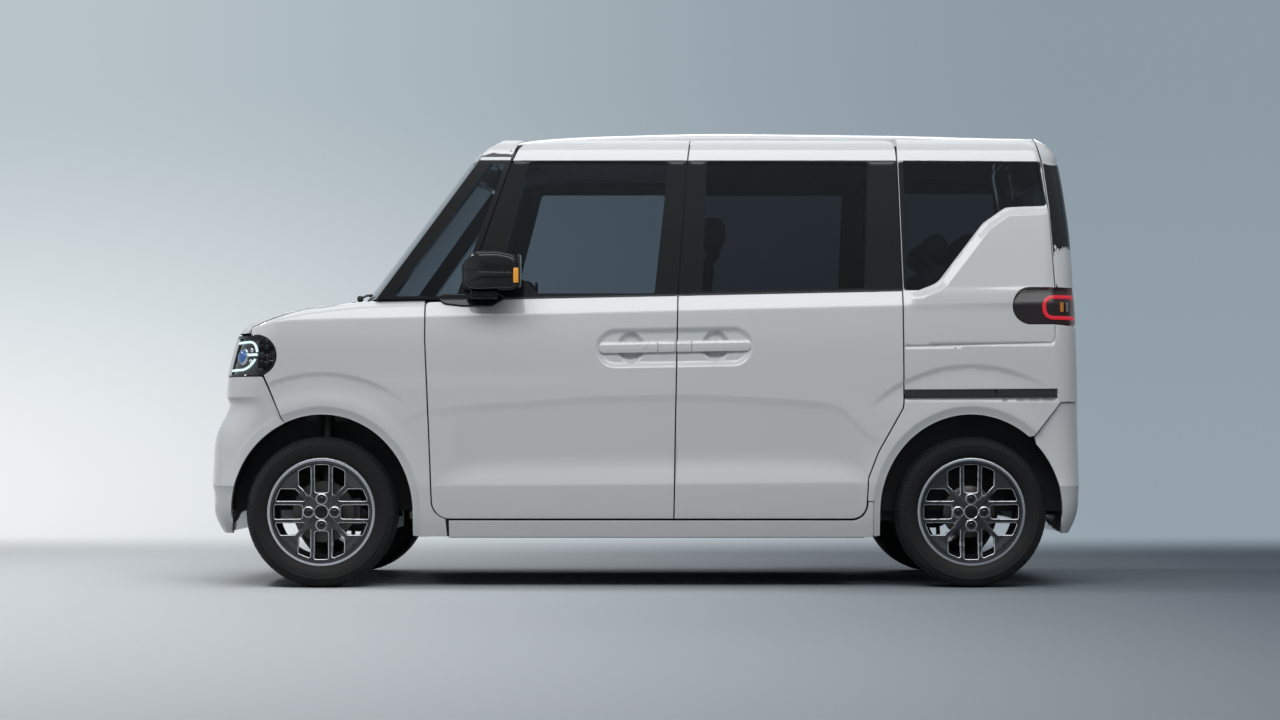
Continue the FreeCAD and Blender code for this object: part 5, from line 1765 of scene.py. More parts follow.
BELT_Z, BELT_SLOPE, GLASS_TOP = 1122.0, 0.021, 1650.0
FRONT_DOOR = (
    (-842, 950), (-842, 1098, 20), (-700, 1104), (-512, 1650), (-478, 1722, 120), (-300, 1737), (181, 1737),
    (171, 1661), (131, 1124), (123, 720), (115, 262), (-812, 262, 70),
)
REAR_DOOR = (
    (181, 1737), (975, 1736, 90), (982, 1660), (996, 1143), (999, 720), (997, 690, 60), (900, 520, 160), (861, 420),
    (853, 262, 60), (115, 262), (123, 720), (131, 1124), (171, 1661),
)
FRONT_WINDOW = ((-442, 1645, 20), (96, 1645, 10), (40, 1131, 10), (-413, 1131, 10), (-545, 1262, 30))
REAR_WINDOW_OPENING = ((244, 1645, 10), (868, 1643, 10), (852, 1150, 10), (227, 1137, 10))
QUARTER_WINDOW = (
    (1004, 1650, 8), (1533, 1647, 8), (1556, 1474, 8), (1400, 1468, 60), (1310, 1405, 60), (1130, 1172, 90),
    (1060, 1144), (1008, 1143, 8),
)
QUARTER_EDGE = (
    (982, 1740), (982, 1660), (996, 1143), (999, 720), (997, 690, 60), (900, 520, 160), (861, 420), (856, 330),
    (882, 330), (882, 193),
)
FENDER_EDGE = ((-842, 1099), (-842, 950), (-812, 262, 70), (-600, 262))
SHUT_GAP = 5.0
SEAM = SHUT_GAP / 2


def level_cut(loop: Points, height: float, slope: float, above: bool) -> Points:
    """The part of an outline above or below a line along the car."""
    ends = ((-1500, height - 1500 * slope), (1500, height + 1500 * slope))
    return clipped(loop, *(ends if above else ends[::-1]))


@dataclass
class Flank:
    """The painted panels of the doors on both sides, cut from one skin."""

    shop: Workshop
    relief: FlankRelief = field(default_factory=FlankRelief)
    garnish_gap: float = 0.8

    def door_relief(self, x: Points, z: Points) -> Points:
        """Everything that shapes a door's outside."""
        form = self.relief
        return form.scoop(x, z) + form.handle_recess(x, z) + form.blisters(x, z) + form.lip(x, z)

    def handle_rows(self) -> list[Points]:
        """Rows of points round the handle recess and its pockets.

        Returns:
            The rows, each of (x, z) points.
        """
        turn = np.radians(np.arange(0, 360, 4.0))
        along = np.arange(RECESS_ENDS[0], RECESS_ENDS[1] + 1, 7.0)
        rows = []
        for away in (-30.0, -20.0, -12.0, -4.0, 2.0):
            reach = RECESS_RADIUS + away
            for end in RECESS_ENDS:
                rim = circle((end, handle_line(RECESS_HEIGHT, end)), reach, 4.0)
                rows.append(rim[(rim[:, 0] < RECESS_ENDS[0]) | (rim[:, 0] > RECESS_ENDS[1])])
            for sign in (-1, 1):
                rows.append(pairs(along, handle_line(RECESS_HEIGHT, along) + sign * reach))
        half_x, half_z = POCKET_SIZE
        for x, z in POCKETS:
            for share in (0.3, 0.55, 0.75, 0.9, 1.02):
                rows.append(pairs(x + half_x * share * np.cos(turn), z + half_z * share * np.sin(turn)))
        return rows

    def split_door(self, name: str, body: str, outline: Corners, window: Corners) -> None:
        """Build a door's painted lower skin, black window surround and painted top band.

        Args:
            name: The door's name.
            body: The body that the door rides on.
            outline: The door's side-view outline.
            window: The window's outline.
        """
        loop = inset(rounded(outline), SEAM)
        gap = self.garnish_gap / 2
        lower = level_cut(loop, BELT_Z - gap, BELT_SLOPE, False)
        middle = level_cut(level_cut(loop, BELT_Z + gap, BELT_SLOPE, True), GLASS_TOP - gap, 0.0, False)
        top = level_cut(loop, GLASS_TOP + gap, 0.0, True)
        rows = self.relief.feature_rows(float(loop[:, 0].min()), float(loop[:, 0].max())) + self.handle_rows()
        skins = self.shop.cover(
            f"{name}_skin", lower, "pearl_white_paint", body, relief=self.door_relief, features=rows, grid=15.0,
        )
        replace_both(skins, name)
        self.shop.cover(
            f"{name}_window_surround", middle, "gloss_black", body, holes=[rounded(window)], skin_depth=1.0, edge=1.0,
            grid=20.0,
        )
        self.shop.cover(f"{name}_top_band", top, "pearl_white_paint", body, grid=14.0)

    def build(self) -> None:
        """Build the doors of both sides."""
        self.split_door("front_door", "front_door", FRONT_DOOR, FRONT_WINDOW)
        self.split_door("sliding_door", "body", REAR_DOOR, REAR_WINDOW_OPENING)
        LOG.info("flank: doors")


# Rear quarters and fenders

HOOD_LINE = (
    (-1800, 880), (-1690, 938), (-1590, 996), (-1507, 1043), (-1357, 1088), (-1199, 1112), (-1077, 1124), (-900, 1132),
    (-600, 1136),
)
HOOD_SEAM_ARC = ((-1800.0, 15.7), (-1500.0, 15.7), (-1382.0, 30.0), (-1265.0, 42.0))
HOOD_PLAN_SEAM = ((-1275.0, 692.0), (-1200.0, 682.0), (-1124.0, 660.0), (-1000.0, 648.0))
HEAD_LAMP, TAIL_LAMP = (-1492.0, 890.0), (1488.0, 1080.0)
LAMP_CORNER = (-1517.0, 972.0)


def open_rounded(corners: Corners) -> Points:
    """A rounded run of corners, without the run that would close it."""
    first, last = corners[0], corners[-1]
    ahead = rounded([*corners, (last[0] + 900, last[1]), (first[0] + 900, first[1])])
    start = int(np.argmin(np.hypot(ahead[:, 0] - first[0], ahead[:, 1] - first[1])))
    finish = int(np.argmin(np.hypot(ahead[:, 0] - last[0], ahead[:, 1] - last[1])))
    return ahead[start:finish + 1]


@dataclass
class Wings:
    """The rear quarters, and the fenders with their rounded shoulders."""

    shop: Workshop
    relief: FlankRelief = field(default_factory=FlankRelief)
    shoulder: float = 30.0
    window_band: float = 34.0
    window_stand: float = 15.0
    joint_depth: float = 4.0
    ledge_rise: float = 44.0

    def arch(self, axle: tuple[float, float], start: float, finish: float) -> Points:
        """The wheel opening's edge between two angles, in degrees about the hub."""
        turn = np.radians(np.linspace(start, finish, 60))
        half, height = self.relief.arch_half - SEAM, self.relief.arch_height - SEAM
        return pairs(axle[0] + half * np.cos(turn), axle[1] + height * np.sin(turn))

    def window_raise(self, x: Points, z: Points) -> Points:
        """The quarter's outer face, which stands out beyond a bevel round its window."""
        loop = densified(rounded(QUARTER_WINDOW), 9.0)
        away = np.sqrt(nearest(pairs(np.ravel(x), np.ravel(z)), loop)).reshape(np.shape(x))
        rise = np.clip((away - 4.0) / self.window_band, 0, 1)
        out = self.window_stand * smoothstep(1062, 1150, z) * rise * (1 - smoothstep(1600, 1640, z))
        return -out * smoothstep(1008, 1060, x) * (1 - smoothstep(1545, 1600, x) * 0.75)

    def seam_groove(self, x: Points, z: Points) -> Points:
        """The panel joint below the tail lamp."""
        across, up = x - SEAM_TURN[0], (joint_line(x) + SEAM_RADIUS) - z
        corner = np.hypot(np.maximum(across, 0), np.maximum(up, 0))
        away = corner + np.minimum(np.maximum(across, up), 0) - SEAM_RADIUS
        return self.joint_depth * (1 - smoothstep(0.9, 2.2, np.abs(away))) * (z < 1012)

    def quarter_relief(self, x: Points, z: Points) -> Points:
        """Everything that shapes the quarter's outside."""
        form = self.relief
        plain = form.scoop(x, z) + form.blisters(x, z) + form.lip(x, z) + form.rail_slot(x, z)
        return plain + self.window_raise(x, z) + self.seam_groove(x, z)

    def quarter_rows(self) -> list[Points]:
        """Rows of points along the quarter's window band, joint and rail slot.

        Returns:
            The rows, each of (x, z) points.
        """
        rows = self.relief.feature_rows(840.0, 1800.0)
        window = rounded(QUARTER_WINDOW)
        rows += [inset(window, -away) for away in (4.0, 20.0, 36.0, 40.0)]
        x = np.arange(985.0, 1560.0, 8.0)
        up = np.arange(966.0, 1009.0, 8.0)
        for shift in (-2.4, -0.9, 0.9, 2.4):
            rows.append(pairs(x, joint_line(x) + shift))
            rows.append(arc(SEAM_TURN, SEAM_RADIUS - shift, -90, 0, 8))
            rows.append(pairs(SEAM_TURN[0] + SEAM_RADIUS - shift, up))
        x = np.concatenate((np.arange(985.0, 1590.0, 8.0), [1589.0, 1592.0]))
        for height in (707.0, 709.5, 728.0, 730.0, 732.5, 758.5, 761.5):
            rows.append(pairs(x, rail_line(height, x)))
        side = np.arange(712.0, 762.0, 7.0)
        return rows + [pairs(place, side) for place in (1588.5, 1592.5)]

    def build_quarters(self) -> None:
        """Build the rear quarters with their tail-lamp notch and window hole."""
        skin = self.shop.skin
        low = np.arange(712.0, 1009.0, 9.0)
        gate = np.array([(1584.0, 1148.0), (1565.0, 1465.0), (1545.0, 1650.0), (1524.0, 1740.0)])
        runs = [skin.seen(run) for run in (
            open_rounded(QUARTER_EDGE), [(909.5, 193.0)], self.arch(REAR_AXLE, 180, 50.4),
            densified(np.array([(1499.0, 578.0), (1603.0, 709.0)]), 9.0, closed=False),
        )]
        runs.append(pairs(skin.across(577.0, low, False), low))
        runs += [skin.seen(run) for run in (
            [(x, 1012.0) for x in np.arange(1576.0, 1487.0, -8.0)], arc(TAIL_LAMP, 68.0, 270, 90, 20),
            [(x, 1148.0) for x in np.arange(1490.0, 1584.0, 8.0)], densified(gate, 9.0, closed=False),
        )]
        loop = inset(densified(np.concatenate(runs), 9.0), SEAM)
        hole = skin.seen(inset(rounded(QUARTER_WINDOW), -1.0))
        replace_both(self.shop.cover(
            "quarter_skin", loop, "pearl_white_paint", holes=[hole], relief=self.quarter_relief,
            features=self.quarter_rows(), grid=14.0,
        ), "quarter_panel")

    def hood_z(self, x: Points, y: Points) -> Points:
        """The hood's height over a place in plan."""
        share = y / 700.0
        return table(HOOD_LINE, x) - 14.0 * share**2 - 14.0 * share**4

    def brow(self, v: Points) -> Points:
        """The height at which the side's skin meets the hood's surface."""
        height = np.full(np.shape(v), 1040.0)
        for _ in range(6):
            spot = self.shop.skin.place(v, height)
            height = self.hood_z(spot[:, 0], spot[:, 1])
        return height

    def over(self, v: Points, w: Points) -> Points:
        """The nose's surface: up the side, round its shoulder and in over the hood.

        Args:
            v: Distances along the car, as on the skin.
            w: The height on the side, carried on over the shoulder and inwards.

        Returns:
            One (x, y, z) row for each pair.
        """
        v, w = np.broadcast_arrays(np.asarray(v, float), np.asarray(w, float))
        r = self.shoulder
        top = self.brow(v)
        past = np.maximum(w - (top - r), 0.0)
        angle = np.minimum(past / r, np.pi / 2)
        level = np.where(past > 0, top - r * (1 - np.sin(angle)), w)
        spot, ahead, behind = (self.shop.skin.place(v + shift, level) for shift in (0.0, 0.8, -0.8))
        along = (ahead - behind)[:, :2]
        along = unit(along)
        inward = pairs(-along[:, 1], along[:, 0])
        inward *= np.where(inward[:, 1:2] < -0.02, -1.0, 1.0)
        distance = r * (1 - np.cos(angle)) + np.maximum(past - r * np.pi / 2, 0.0)
        plan = spot[:, :2] + inward * distance[:, None]
        rise = self.hood_z(plan[:, 0], plan[:, 1]) - self.hood_z(spot[:, 0], spot[:, 1])
        return np.stack((plan[:, 0], plan[:, 1], level + np.where(past > 0, rise, 0.0)), axis=1)

    def seam_height(self, x: Points) -> Points:
        """The w of the hood's side seam at stations along the car.

        Args:
            x: The stations.

        Returns:
            One w for each station.
        """
        top = self.brow(x)
        on_arc = np.interp(x, *zip(*HOOD_SEAM_ARC))
        wide = -self.shop.skin.place(x, top)[:, 1]
        in_plan = self.shoulder * np.pi / 2 + wide - self.shoulder - np.interp(x, *zip(*HOOD_PLAN_SEAM))
        mix = smoothstep(-1290, -1240, x)
        return top - self.shoulder + on_arc * (1 - mix) + in_plan * mix

    def fender_relief(self, v: Points, w: Points) -> Points:
        """Everything that shapes the fender's outside."""
        return self.relief.scoop(v, w) + self.relief.blisters(v, w) + self.relief.lip(v, w)

    def build_fenders(self) -> None:
        """Build the fenders, up over their shoulders to the hood's seam."""
        skin = self.shop.skin
        door = open_rounded(FENDER_EDGE)
        door = np.concatenate((door[door[:, 0] < -753], [(-753.0, 193.0)]))
        joint = densified(np.array([(-1391.0, 644.0), (-1462.0, 812.0)]), 9.0, closed=False)
        lamp = np.concatenate((arc(HEAD_LAMP, 78.5, -68, 90, 26), [(x, 968.5) for x in (-1500.0, -1510.0, -1517.0)]))
        runs = [skin.seen(run) for run in (door, [(-890.5, 193.0)], self.arch(FRONT_AXLE, 0, 114.3), joint, lamp)]
        v = np.concatenate((np.linspace(skin.v_seen(*LAMP_CORNER), -1330, 26), np.arange(-1322.0, -1000.0, 9.0)))
        seam = pairs(v, self.seam_height(v))
        seam[0, 1] = max(seam[0, 1], 976.0)
        behind = np.arange(-998.0, -842.0, 9.0)
        for stations in (behind, np.array([-842.0])):
            ledge = self.brow(stations) - self.shoulder + self.ledge_rise
            seam = np.concatenate((seam, pairs(stations, ledge)))
        loop = inset(densified(np.concatenate((*runs, seam)), 9.0), SEAM)
        rows = self.relief.feature_rows(-1700.0, -760.0)
        shifts = (-6.0, 0.0, 8.0, 16.0, 24.0, 32.0, 40.0, 47.0)
        for stations, heights in ((v, shifts), (behind, shifts[:6])):
            edge = self.brow(stations) - self.shoulder
            rows += [pairs(stations, edge + shift) for shift in heights]
        sheet = Sheet("fender_skin", self.over, loop, relief=self.fender_relief, features=rows, depth=14.0, grid=14.0)
        replace_both(self.shop.sheets(sheet, "pearl_white_paint"), "fender")

    def build(self) -> None:
        """Build the quarters and the fenders."""
        self.build_quarters()
        self.build_fenders()
        LOG.info("wings: quarters and fenders")


# Lamps

@dataclass
class Lamps:
    """The head lamps and tail lamps, with their light guides inside clear lenses."""

    shop: Workshop
    head_inner_y: float = 438.0
    tail_inner_y: float = 580.0
    ring_steps: int = 28

    def sunk(self, path: Points, depth: float) -> Points:
        """Places at a depth under the skin, from (v, z) points."""
        place = self.shop.skin.place
        return place(path[:, 0], path[:, 1]) - outward_normals(place, path[:, 0], path[:, 1]) * depth

    def outline(self, end: Points, inner_y: float, low: float, high: float, nose: bool) -> Points:
        """A lamp's outline as places on the skin, from its rounded end to its inner side."""
        skin = self.shop.skin
        corner = [(skin.v_across(inner_y, low, nose), low), (skin.v_across(inner_y, high, nose), high)]
        return densified(np.concatenate((skin.seen(end), corner)), 8.0)

    def head_outline(self, grow: float) -> Points:
        """The head lamp's outline, a little larger or smaller."""
        end = arc(HEAD_LAMP, 81.0 + grow, 90, -90, 24)
        return self.outline(end, self.head_inner_y - grow, 809.0 - grow, 971.0 + grow, True)

    def tail_outline(self, grow: float) -> Points:
        """The tail lamp's outline, a little larger or smaller."""
        end = arc(TAIL_LAMP, 69.4 + grow, 90, 270, 24)
        return self.outline(end, self.tail_inner_y - grow, 1010.6 - grow, 1149.4 + grow, False)

    def head_end(self) -> float:
        """The v at which the head lamp's rounded end begins."""
        return self.shop.skin.v_seen(-1500.0, HEAD_LAMP[1])

    def ribs(self, v: Points, z: Points) -> Points:
        """The fine ribs of the housing's rear part."""
        outer = self.head_end()
        zone = smoothstep(outer - 4, outer + 6, v)
        return zone * 1.6 * (0.5 + 0.5 * np.sin(z * 2 * np.pi / 9.0))

    def build_head(self) -> None:
        """Build the head lamps."""
        z = np.arange(812.0, 970.0, 3.0)
        outer = self.head_end()
        rows = [pairs(v, z) for v in np.arange(outer, outer + 100, 11.0)]
        cases = self.shop.cover(
            "headlamp_case", self.head_outline(-3.0), "lamp_case", relief=self.ribs, features=rows, depth=26.0,
            edge=3.0, grid=9.0, skin_depth=24.0,
        )
        self.shop.cover("headlamp_lens", self.head_outline(-1.0), "lamp_clear", depth=4.0, edge=1.6, grid=12.0)
        rim = inset(self.head_outline(-1.2), 3.5)
        self.shop.put("headlamp_border", tube(self.sunk(rim, 5.0), 4.2, 8, True), "gloss_black", both=True)
        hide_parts("headlamps")
        inner = outer - 178.0
        guides = [tube(self.sunk(self.run(corners), 15.0), 4.6, 12) for corners in (
            [(inner, 838), (outer - 36, 838, 44), (outer - 4, 878)],
            [(outer + 2, 914), (outer - 4, 947, 40), (inner, 947)],
            [(outer - 44, 896), (outer + 4, 896)],
        )]
        self.shop.put("daylight_guides", joined(guides), "light_guide", both=True)
        self.build_projector("projector_0", outer - 92.0, 893.0, 27.0, "projector_glass", ring=True)
        self.build_projector("projector_1", outer - 34.0, 916.0, 9.0, "lamp_silver")
        self.build_projector("projector_2", outer - 34.0, 872.0, 9.0, "lamp_silver")

    def build_projector(self, name: str, v: float, z: float, size: float, finish: str, ring: bool = False) -> None:
        """Build one domed projector in the head lamp.

        Args:
            name: Its name.
            v: Its place along the skin.
            z: Its height.
            size: Its radius.
            finish: The name of its finish.
            ring: Whether a silver ring stands round it.
        """
        spot = self.sunk(np.array([(v, z)]), 24.0)[0]
        way = outward_normals(self.shop.skin.place, np.array([v]), np.array([z]))[0]
        self.shop.put(name, self.dome(spot, way, size), finish, both=True)
        if ring:
            rim = self.dome(spot - way * 2.0, way, size + 6.0, 0.25)
            self.shop.put("projector_ring", rim, "lamp_silver", both=True)

    def run(self, corners: Corners) -> Points:
        """An open run through corners with rounded turns.

        Args:
            corners: The corners, each (v, z) or (v, z, reach of its turn).

        Returns:
            The run's points.
        """
        points = [np.array(corners[0][:2], float)[None, :]]
        share = np.linspace(0, 1, 9)[:, None]
        for before, here, after in zip(corners, corners[1:], corners[2:]):
            base = np.array(here[:2], float)
            first, last = (
                base + (np.array(end[:2]) - base) / np.linalg.norm(np.array(end[:2]) - base) * here[2]
                for end in (before, after)
            )
            points.append((1 - share) ** 2 * first + 2 * share * (1 - share) * base + share**2 * last)
        points.append(np.array(corners[-1][:2], float)[None, :])
        return densified(np.concatenate(points), 6.0, closed=False)

    def dome(self, spot: Points, way: Points, size: float, height: float = 0.7) -> Shape:
        """A domed lens that faces one way.

        Args:
            spot: The middle of its rim.
            way: The way that it faces.
            size: Its radius.
            height: Its height as a share of the radius.

        Returns:
            Its points in mm and its faces.
        """
        side = np.cross(way, (0.0, 0.0, 1.0))
        side /= np.linalg.norm(side)
        up = np.cross(side, way)
        turn = np.linspace(0, 2 * np.pi, self.ring_steps, endpoint=False)[:, None]
        around = np.cos(turn) * side + np.sin(turn) * up
        rings = [spot - way * size * 0.5 + size * around]
        for angle in np.radians((0, 15, 30, 45, 60, 75, 89)):
            rings.append(spot + way * size * height * math.sin(angle) + size * math.cos(angle) * around)
        return np.concatenate(rings), ring_faces(len(rings), self.ring_steps, capped=True)

    def build_tail(self) -> None:
        """Build the tail lamps and the reflectors in the rear bumper."""
        skin = self.shop.skin
        cases = self.shop.cover(
            "tail_lamp_case", self.tail_outline(-3.0), "lamp_case", depth=24.0, edge=3.0, grid=12.0, skin_depth=16.0,
        )
        self.shop.cover("tail_lamp_lens", self.tail_outline(-1.0), "smoked_lens", depth=3.5, edge=1.6, grid=12.0)
        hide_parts("tail_lamps")
        outer, end = skin.v_seen(1541.0, 1078.0), skin.v_across(596.0, 1078.0, False)
        low = skin.v_across(520.0, 330.0, False)
        ring = [(end, 1120), (outer, 1120, 40), (outer, 1036, 40), (end, 1036)]
        for name, corners, depth, radius, finish in (
            ("tail_light_guide", ring, 9.5, 7.2, "red_light_guide"),
            ("tail_indicator", [(outer + 75, 1060), (outer + 75, 1096)], 9.0, 7.0, "amber_lamp"),
            ("reversing_lamp", [(outer + 104, 1060), (outer + 104, 1096)], 9.0, 6.0, "lamp_silver"),
            ("rear_reflector", [(low - 40, 330), (low + 70, 330)], 2.0, 9.0, "tail_lamp_lens"),
        ):
            self.shop.put(name, tube(self.sunk(self.run(corners), depth), radius, 12), finish, both=True)

    def build(self) -> None:
        """Build all lamps."""
        self.build_head()
        self.build_tail()
        LOG.info("lamps: head and tail")


# Hood, trim and roof details

SCREEN_BOW, SCREEN_REACH = 80.0, 600.0
GRILLE_SLOTS = (884, 916)


@dataclass
class Hood:
    """The hood's skin, from the seam on each side round its shoulders to the windscreen."""

    shop: Workshop
    wings: Wings
    border: float = 90.0
    border_rows: int = 22
    thickness: float = 12.0
    lower_edge: float = 977.5

    def back_x(self, y: Points) -> Points:
        """The hood's rear edge in front of the windscreen."""
        return -1122.0 + SCREEN_BOW * (np.asarray(y) / SCREEN_REACH) ** 2 - 57.5

    def border_grid(self) -> tuple[Points, Points]:
        """The (v, w) grid of the border, from the lower edge inwards.

        Returns:
            The v and the w of its points, one row for each step inwards.
        """
        skin = self.shop.skin
        start = skin.v_seen(*LAMP_CORNER)
        v = np.concatenate((
            np.linspace(skin.v_across(0.0, 1000.0, True), start, 44, endpoint=False),
            np.linspace(start, -1330, 24, endpoint=False), np.arange(-1330.0, -1126.0, 9.0),
        ))
        low = np.where(v < start, self.lower_edge, np.maximum(self.wings.seam_height(v) + SEAM, self.lower_edge))
        high = self.wings.brow(v) - self.wings.shoulder + 47.1 + self.border
        share = np.linspace(0, 1, self.border_rows)[:, None]
        return np.broadcast_to(v, (self.border_rows, len(v))), low + (high - low) * share

    def top_points(self, own: Points) -> tuple[Points, Points]:
        """The hood's top over places in plan.

        Args:
            own: The places, as (x, y) rows.

        Returns:
            Its points and its normals there.
        """
        x, y, height = own[:, 0], own[:, 1], self.wings.hood_z
        slope_x = (height(x + 1, y) - height(x - 1, y)) / 2
        slope_y = (height(x, y + 1) - height(x, y - 1)) / 2
        up = np.column_stack((-slope_x, -slope_y, np.ones(len(own))))
        return np.column_stack((own, height(x, y))), unit(up)

    def middle_plan(self, loop: Points) -> tuple[Points, Points]:
        """The plan of the hood's left half inside the border.

        Args:
            loop: The border's inner edge, from the nose to the windscreen.

        Returns:
            The outline, which begins with that edge, and the points inside it.
        """
        back_y = np.arange(loop[-1, 1] + 9.0, -3.0, 12.0)
        middle_x = np.arange(float(self.back_x(0.0)), loop[0, 0], -12.0)
        back = pairs(self.back_x(back_y), back_y)
        outline = np.concatenate((loop, back, pairs(middle_x, 0.0)))
        low, high = outline.min(axis=0), outline.max(axis=0)
        grid = np.array([(a, b) for a in np.arange(low[0], high[0], 17.0) for b in np.arange(low[1], high[1], 17.0)])
        grid = grid[inside(grid, [outline])]
        return outline, grid[clear_of(grid, outline, 8.0)]

    def build(self) -> None:
        """Build the hood's border and its middle as one mesh."""
        v, w = self.border_grid()
        rows, columns = v.shape
        flat = self.wings.over(v.ravel(), w.ravel())
        way = outward_normals(self.wings.over, v.ravel(), w.ravel())
        flat[:, 0] = np.minimum(flat[:, 0], self.back_x(flat[:, 1]))
        flat[np.arange(rows) * columns, 1] = 0.0
        grid = np.arange(rows * columns).reshape(rows, columns)
        faces = [
            [grid[r, c], grid[r, c + 1], grid[r + 1, c + 1], grid[r + 1, c]]
            for r in range(rows - 1) for c in range(columns - 1)
        ]
        points, normals = [flat], [way]
        total = rows * columns
        edge = first = grid[0]
        for depth in (1.2, self.thickness):
            points.append(flat[edge] - way[edge] * depth)
            normals.append(way[edge] * 0.3 + np.array((0.0, 0.0, -0.7)))
            ids = np.arange(total, total + columns)
            faces += [[first[c], first[c + 1], ids[c + 1], ids[c]] for c in range(columns - 1)]
            first, total = ids, total + columns
        rim = grid[-1]
        outline, within = self.middle_plan(flat[rim][:, :2])
        edges = [(i, (i + 1) % len(outline)) for i in range(len(outline))]
        corners = triangulated(np.concatenate((outline, within)), edges, [outline])
        own = np.concatenate((outline[columns:], within))
        ids = np.concatenate((rim, np.arange(total, total + len(own))))
        top, up = self.top_points(own)
        faces += ids[corners].tolist()
        places, ways = np.concatenate((*points, top)), np.concatenate((*normals, up))
        size = len(places)
        thing = mesh_object(
            "hood_skin", np.concatenate((places, places * MIRRORED)),
            faces + [[i + size for i in face[::-1]] for face in faces],
            self.shop.paints.get("pearl_white_paint"), np.concatenate((ways, ways * MIRRORED)),
        )
        self.shop.hang(thing, "hood", "pearl_white_paint")
        self.shop.put("hood_frame", block((-1470, -520, 990), (-1200, 520, 1010), 8.0), "body_steel", "hood")
        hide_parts("hood")
        LOG.info("hood: skin and frame")


@dataclass(frozen=True)
class Strip:
    """A thin piece on the flank: its outline, finish, depth, how far it stands out, and its body."""

    name: str
    corners: Corners
    finish: str
    depth: float
    proud: float
    body: str = "body"


STRIPS = (
    Strip(
        "rail_slot_lining", ((1001, 729, 2), (1590, 732, 6), (1590, 764, 8), (1001, 759, 2)), "black_plastic",
        3.0, -7.0,
    ),
    Strip(
        "belt_strip_front", ((-836, 1100.5, 3), (126, 1119.5, 3), (126, 1127, 3), (-700, 1110.5, 3)), "black_plastic",
        8.0, 1.6, "front_door",
    ),
    Strip(
        "belt_strip_rear", ((134, 1120, 3), (992, 1138, 3), (992, 1146, 3), (134, 1128, 3)), "black_plastic",
        8.0, 1.6,
    ),
    Strip(
        "quarter_front_strip", ((986.5, 1651, 1), (1008, 1651, 1), (1012.5, 1141, 1), (1000.5, 1141, 1)),
        "gloss_black", 2.0, 0.5,
    ),
    Strip(
        "quarter_rear_strip", ((1528, 1651, 1), (1541, 1651, 1), (1562, 1468, 1), (1552, 1468, 1)), "gloss_black",
        2.0, 0.5,
    ),
    Strip(
        "roof_joint_front", ((-474, 1647.5, 1), (172, 1647.5, 1), (172, 1651.5, 1), (-474, 1651.5, 1)),
        "black_plastic", 8.0, 0.9, "front_door",
    ),
    Strip(
        "roof_joint_rear", ((177, 1647.5, 1), (978, 1647.5, 1), (978, 1651.5, 1), (177, 1651.5, 1)), "black_plastic",
        8.0, 0.9,
    ),
)
ROOF_CORNER = (
    (-640, 1652, 4), (-519, 1652, 2), (-504, 1687, 10), (-487, 1722, 10), (-462, 1733, 3), (-545, 1733, 12),
    (-604, 1700, 24),
)


